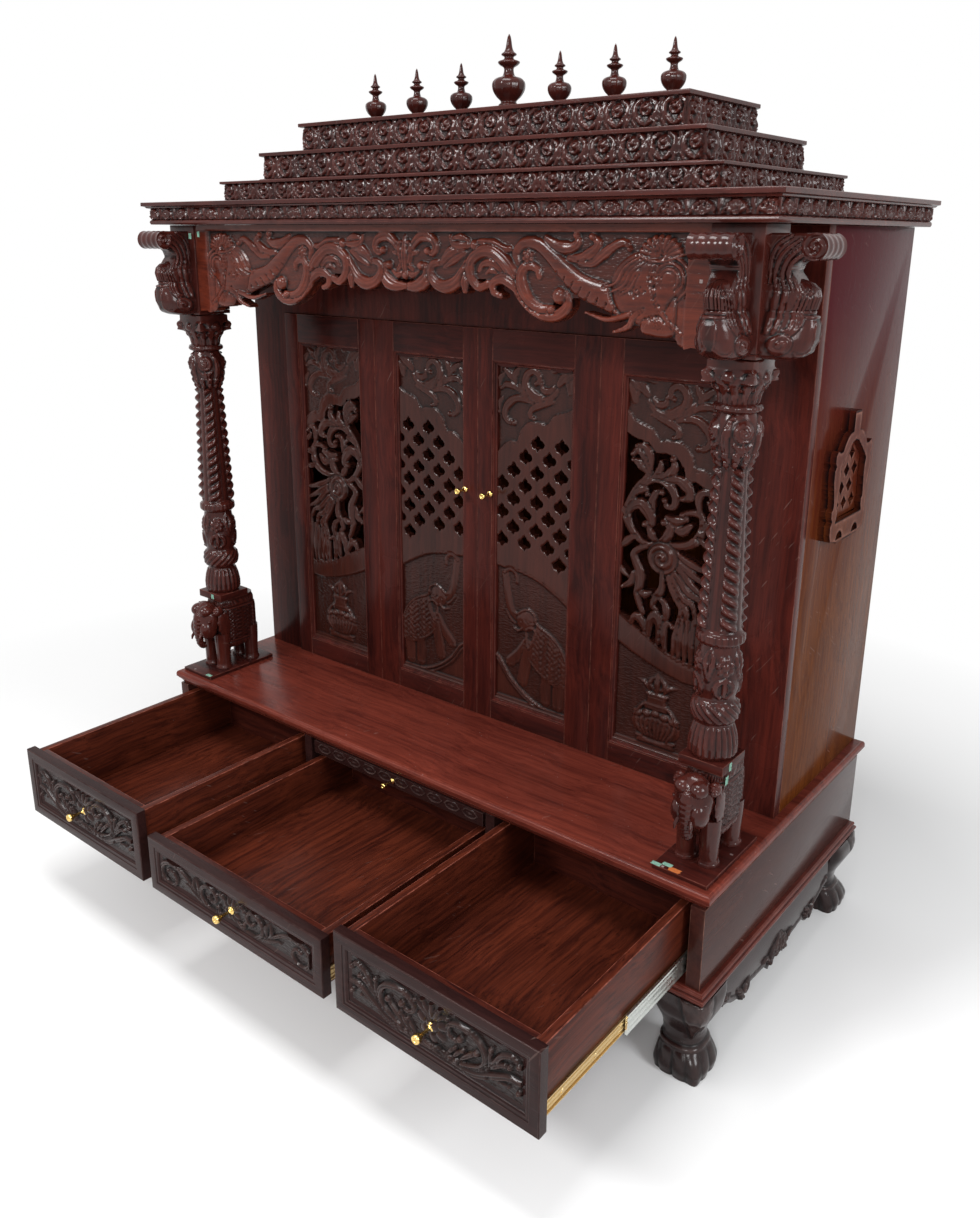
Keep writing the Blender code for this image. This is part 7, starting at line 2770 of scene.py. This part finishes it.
WINDOW_EDGE = points(
    "0 125, 15.8 125, 15.8 90.5, 28 89, 40 83, 52 71, 58 60, 69 59, 83 64, 90 56, 90 44, "
    "84.5 36, 90.5 29, 90 8, 85 -10, 80 -30, 80.5 -41, 87 -47, 86 -58, 80 -66, 87 -74, "
    "86.5 -90, 80.5 -104, 50 -110, 0 -110")
WINDOW_ARCH = points(
    "0 74.5, 14.5 71, 37 54, 54 40, 62.5 30.5, 59 18, 59 0, 63 -30, 64 -43, 59 -48, 60 -60, "
    "65 -71, 0 -71")


@dataclass
class SideWindow:
    """Raised scalloped window frame of two layers on a side, with a sunk lattice in its arch."""

    side: float
    face: float = 0.728
    y: float = 0.4658
    z: float = 0.640
    proud: float = 0.0228
    sunk: float = 0.0120
    cell: float = 0.0024

    def build(self) -> None:
        """Upper layer with the arch cut out, lower layer and lattice."""
        tag = handed("window", self.side)
        for label, low, thick, arch in (("upper", self.proud, 0.0110, True),
                                        ("lower", self.proud - self.sunk, 0.0108, False)):
            field = Relief(-0.093, 0.093, -0.112, 0.127, self.cell, inside=-1.0)
            shape = list(WINDOW_EDGE) + [(-u, v) for u, v in WINDOW_EDGE[::-1]]
            uu, vv = field.grid()
            field.edge = polygon_distance(uu, vv, shape)
            field.free[:] = 0.0
            if arch:
                pierce(field, list(WINDOW_ARCH) + [(-u, v) for u, v in WINDOW_ARCH[::-1]])
                for s in (1, -1):
                    d = np.hypot(uu - s * 0.039, vv + 0.1060) / 0.0150
                    field.edge = np.minimum(field.edge, np.where(vv > -0.1060, (d - 1) * 0.015,
                                                                 1.0))
            else:
                self.lattice(field, uu, vv)
            round_in = smooth01(field.edge / 0.0022)
            field.high += 0.0012 * round_in - 0.0012
            place = self.placer(self.face + low)
            mesh = field.mesh(tag + "_" + label, place, thick)
            tidy(mesh, 60.0, 0.0)
            to_object(mesh, PANEL, tag if arch else "")

    def placer(self, face: float) -> Callable:
        """Placer around the window's middle."""
        flat = strip_placer(end_of(self.side), face, self.y)

        def place(u: np.ndarray, v: np.ndarray, out: np.ndarray) -> np.ndarray:
            """Points of the frame."""
            return flat(u, v + self.z, out)
        return place

    def lattice(self, field: Relief, uu: np.ndarray, vv: np.ndarray) -> None:
        """Diamond holes through the lower layer."""
        arch = list(WINDOW_ARCH) + [(-a, b) for a, b in WINDOW_ARCH[::-1]]
        for i in range(-2, 3):
            for j in range(-2, 3):
                if (i + j) % 2:
                    continue
                u, v = i * 0.0188, 0.0155 + j * 0.0305
                clear = polygon_distance(np.array([[abs(u)]]), np.array([[v]]), arch)[0, 0]
                if clear < 0.010:
                    continue
                inside = 0.0115 - (np.abs(uu - u) ** 0.85 * 0.0115 ** 0.15
                                   + np.abs(vv - v) ** 0.85 * 0.0115 ** 0.15) * 0.86
                field.edge = np.minimum(field.edge, -inside)


@dataclass
class Scrap:
    """Torn bit of paper tape or a small plug, on one face of the shrine."""

    name: str
    centre: Vector
    across: Vector
    up: Vector
    size: tuple[float, float]
    finish: TapeFinish
    seed: int = 1

    def build(self) -> None:
        """Lay a thin sheet with ragged short ends."""
        rng = np.random.default_rng(self.seed)
        a, b = self.across.normalized(), self.up.normalized()
        n = a.cross(b).normalized()
        nu, nv = 12, 7
        rows = []
        bm = bmesh.new()
        rag = rng.uniform(-0.06, 0.06, (2, nv))
        for j in range(nv):
            row = []
            for i in range(nu):
                u, v = i / (nu - 1) - 0.5, j / (nv - 1) - 0.5
                u += rag[0, j] * (i == 0) + rag[1, j] * (i == nu - 1)
                lift = 0.00022 + 0.00010 * math.sin(9 * u + 3 * v)
                p = self.centre + a * (u * self.size[0]) + b * (v * self.size[1]) + n * lift
                row.append(bm.verts.new(p))
            rows.append(row)
        for r, s in zip(rows, rows[1:]):
            for i in range(nu - 1):
                bm.faces.new((r[i], r[i + 1], s[i + 1], s[i]))
        bmesh.ops.solidify(bm, geom=list(bm.faces), thickness=0.00012)
        mesh = finish_bm(bm, self.name)
        to_object(mesh, self.finish)


def paste_scraps() -> None:
    """Bits of tape and filled plugs where the photograph shows them."""
    x, y, z = Vector((1, 0, 0)), Vector((0, 1, 0)), Vector((0, 0, 1))
    rows = (
        ("tape_slab", world(0.7236, 0.0980, 0.1965), y, z, (0.010, 0.015), GREEN_TAPE),
        ("tape_neck", world(0.7200, 0.0960, 0.1700), y, z, (0.011, 0.016), GREEN_TAPE),
        ("tape_plate_a", world(0.6350, 0.0205, 0.0090), x, y, (0.018, 0.010), GREEN_TAPE),
        ("tape_plate_b", world(0.6520, 0.0300, 0.0090), x, y, (0.018, 0.010), GREEN_TAPE),
        ("tape_orange", world(0.6700, 0.0225, 0.0090), x, y, (0.022, 0.012), ORANGE_TAPE),
        ("plug_plate", world(0.6480, 0.0200, 0.0090), x, y, (0.005, 0.005), PALE_PLUG),
        ("plug_plate_b", world(0.7250, 0.1300, 0.0090), x, y, (0.006, 0.004), PALE_PLUG),
        ("plug_fascia_r", world(0.6240, 0.0724, 0.9990), x, z, (0.0055, 0.0055), PALE_PLUG),
        ("tape_post_l", world(-0.6500, 0.0680, 1.0600), x, z, (0.010, 0.012), GREEN_TAPE),
        ("tape_fascia_l", world(-0.6250, 0.0722, 1.0640), x, z, (0.008, 0.012), GREEN_TAPE),
        ("tape_slab_l", world(-0.6700, 0.0694, 0.1970), x, z, (0.010, 0.012), GREEN_TAPE),
        ("tape_plate_l", world(-0.6400, 0.0205, 0.0090), x, y, (0.018, 0.010), GREEN_TAPE),
        ("plug_plate_l", world(-0.7000, 0.0220, 0.0090), x, y, (0.005, 0.005), PALE_PLUG),
    )
    for k, (name, at, across, up, size, finish) in enumerate(rows):
        Scrap(name, at, across, up, size, finish, k + 1).build()


# Studio

@dataclass(frozen=True)
class LampSpec:
    """One soft area lamp."""

    name: str
    at: tuple[float, float, float]
    aim: tuple[float, float, float]
    width: float
    height: float
    watts: float
    tint: Rgb = (1.0, 1.0, 1.0)


@dataclass
class Studio:
    """Pale floor, even world and soft lamps."""

    floor_half: float = 14.0
    floor_colour: float = 0.86
    white_from: tuple[float, float] = (1.25, 2.3)
    fill: float = 0.45
    lamps: tuple[LampSpec, ...] = (
        LampSpec("key", (-1.3, -3.4, 3.3), (0.0, 0.2, 0.8), 1.15, 0.8, 108.0),
        LampSpec("window_right", (3.9, -0.4, 2.3), (0.3, 0.1, 0.8), 1.1, 1.5, 75.0,
                 (0.96, 0.98, 1.0)),
        LampSpec("top", (0.1, -0.9, 4.3), (0.1, 0.0, 0.6), 1.9, 1.1, 85.0),
        LampSpec("camera_side", (1.9, -2.9, 2.2), (0.2, 0.1, 0.8), 0.8, 0.8, 38.0),
    )

    def build(self) -> None:
        """Make the floor, the world and the lamps."""
        self.floor()
        self.world()
        for spec in self.lamps:
            self.lamp(spec)

    def floor(self) -> None:
        """Plain pale floor that shows white to the camera outside the shadow."""
        mesh = bpy.data.meshes.new("studio_floor")
        h = self.floor_half
        mesh.from_pydata([(-h, -h, 0), (h, -h, 0), (h, h, 0), (-h, h, 0)], [], [(0, 1, 2, 3)])
        obj = bpy.data.objects.new("studio_floor", mesh)
        bpy.context.scene.collection.objects.link(obj)
        mat = bpy.data.materials.new("pale_floor")
        mat.use_nodes = True
        bsdf = mat.node_tree.nodes["Principled BSDF"]
        bsdf.inputs["Base Color"].default_value = (*(self.floor_colour,) * 3, 1.0)
        bsdf.inputs["Roughness"].default_value = 0.7
        bsdf.inputs["Specular IOR Level"].default_value = 0.1
        net = Net(mat.node_tree)
        where = net.add("ShaderNodeTexCoord").outputs["Object"]
        reach = net.add("ShaderNodeVectorMath", operation="LENGTH")
        net.link(where, reach.inputs[0])
        away = net.ramp(reach.outputs["Value"], *self.white_from)
        rays = net.add("ShaderNodeLightPath")
        seen = net.math("MAXIMUM", rays.outputs["Is Camera Ray"],
                        rays.outputs["Is Transmission Ray"])
        seen = net.math("MAXIMUM", seen, rays.outputs["Is Glossy Ray"])
        white = net.add("ShaderNodeEmission")
        mix = net.add("ShaderNodeMixShader")
        net.link(net.times(away, seen), mix.inputs[0])
        net.link(bsdf.outputs[0], mix.inputs[1])
        net.link(white.outputs[0], mix.inputs[2])
        net.link(mix.outputs[0], mat.node_tree.nodes["Material Output"].inputs[0])
        mesh.materials.append(mat)

    def world(self) -> None:
        """Even world, white to the camera and to what mirrors or lets light through."""
        world = bpy.data.worlds.new("studio_world")
        bpy.context.scene.world = world
        world.use_nodes = True
        net = Net(world.node_tree)
        for node in list(world.node_tree.nodes):
            world.node_tree.nodes.remove(node)
        rays = net.add("ShaderNodeLightPath")
        seen = net.math("MAXIMUM", rays.outputs["Is Camera Ray"],
                        rays.outputs["Is Transmission Ray"])
        seen = net.math("MAXIMUM", seen, rays.outputs["Is Glossy Ray"])
        plain = net.add("ShaderNodeBackground")
        plain.inputs["Strength"].default_value = self.fill
        white = net.add("ShaderNodeBackground")
        white.inputs["Color"].default_value = (1.0, 1.0, 1.0, 1.0)
        plain.inputs["Color"].default_value = (1.0, 1.0, 1.0, 1.0)
        mix = net.add("ShaderNodeMixShader")
        net.link(seen, mix.inputs[0])
        net.link(plain.outputs[0], mix.inputs[1])
        net.link(white.outputs[0], mix.inputs[2])
        out = net.add("ShaderNodeOutputWorld")
        net.link(mix.outputs[0], out.inputs[0])

    def lamp(self, spec: LampSpec) -> None:
        """Add one area lamp that looks at its aim."""
        data = bpy.data.lights.new(spec.name, "AREA")
        data.shape = "RECTANGLE"
        data.size, data.size_y = spec.width, spec.height
        data.energy = spec.watts
        data.color = spec.tint
        obj = bpy.data.objects.new(spec.name, data)
        bpy.context.scene.collection.objects.link(obj)
        obj.location = spec.at
        look = Vector(spec.aim) - Vector(spec.at)
        obj.rotation_euler = look.to_track_quat("-Z", "Y").to_euler()


@dataclass
class PhotoCamera:
    """Camera at the photograph's place and angle, solved from it."""

    at: tuple[float, float, float] = (1.38984, -1.53551, 1.45745)
    heading: float = math.radians(38.768)
    pitch: float = math.radians(16.7825)
    roll: float = math.radians(-0.3233)
    focal_px: float = 1032.009
    middle: tuple[float, float] = (488.308, 547.427)
    frame_px: tuple[float, float] = (980.0, 1218.0)

    def build(self) -> None:
        """Make the camera and set it as the scene's."""
        data = bpy.data.cameras.new("photo_camera")
        data.sensor_fit = "VERTICAL"
        data.sensor_height = 24.0
        data.lens = 24.0 * self.focal_px / self.frame_px[1]
        data.shift_x = (self.frame_px[0] / 2 - self.middle[0]) / self.frame_px[1]
        data.shift_y = -(self.frame_px[1] / 2 - self.middle[1]) / self.frame_px[1]
        data.clip_start = 0.05
        h, p = self.heading, self.pitch
        ahead = Vector((-math.sin(h) * math.cos(p), math.cos(h) * math.cos(p), -math.sin(p)))
        right = Vector((math.cos(h), math.sin(h), 0.0))
        down = ahead.cross(right)
        c, s = math.cos(self.roll), math.sin(self.roll)
        right, down = right * c + down * s, down * c - right * s
        obj = bpy.data.objects.new("photo_camera", data)
        rows = zip(right, -down, -ahead, self.at)
        obj.matrix_world = Matrix([list(row) for row in rows] + [[0, 0, 0, 1]])
        bpy.context.scene.collection.objects.link(obj)
        bpy.context.scene.camera = obj


def build_pieces() -> None:
    """Build every sub-assembly in order."""
    BaseCase().build()
    Slides().build()
    for bay in Bay:
        Drawer(bay).build()
    Tray().build()
    Shell().build()
    for node, kind, side in (("leaf_1", LeafKind.BIRD, -1.0), ("leaf_2", LeafKind.LATTICE, -1.0),
                             ("leaf_3", LeafKind.LATTICE, 1.0), ("leaf_4", LeafKind.BIRD, 1.0)):
        DoorLeaf(node, kind, side).build()
    for node in ("knob_leaf_2", "knob_leaf_3"):
        Knob(node, "cabinet").build()
    for side in (1.0, -1.0):
        Column(side).build()
        Elephant(side).build()
        BirdBracket(side).build()
    Fascia().build()
    Roof().build()
    for node, side, back in (("foot_fr", 1.0, False), ("foot_fl", -1.0, False),
                             ("foot_br", 1.0, True),
                             ("foot_bl", -1.0, True)):
        PawFoot(node, side, back).build()
    Apron("apron_front", 0.639, Facing.FRONT, 0.015).build()
    Apron("apron_r", 0.251, Facing.RIGHT, 0.735, 0.3625).build()
    Apron("apron_l", 0.251, Facing.LEFT, 0.735, 0.3625).build()
    paste_scraps()


def main() -> None:
    """Build the whole scene."""
    logging.basicConfig(level=logging.INFO, format="%(message)s")
    bpy.context.scene.view_settings.view_transform = "Standard"
    GROUPS.update(grain=make_grain_group(), relief=make_relief_group(), age=make_age_group(),
                  ground=make_ground_group())
    PhotoCamera().build()
    Studio().build()
    build_pieces()


if __name__ == "__main__":
    main()
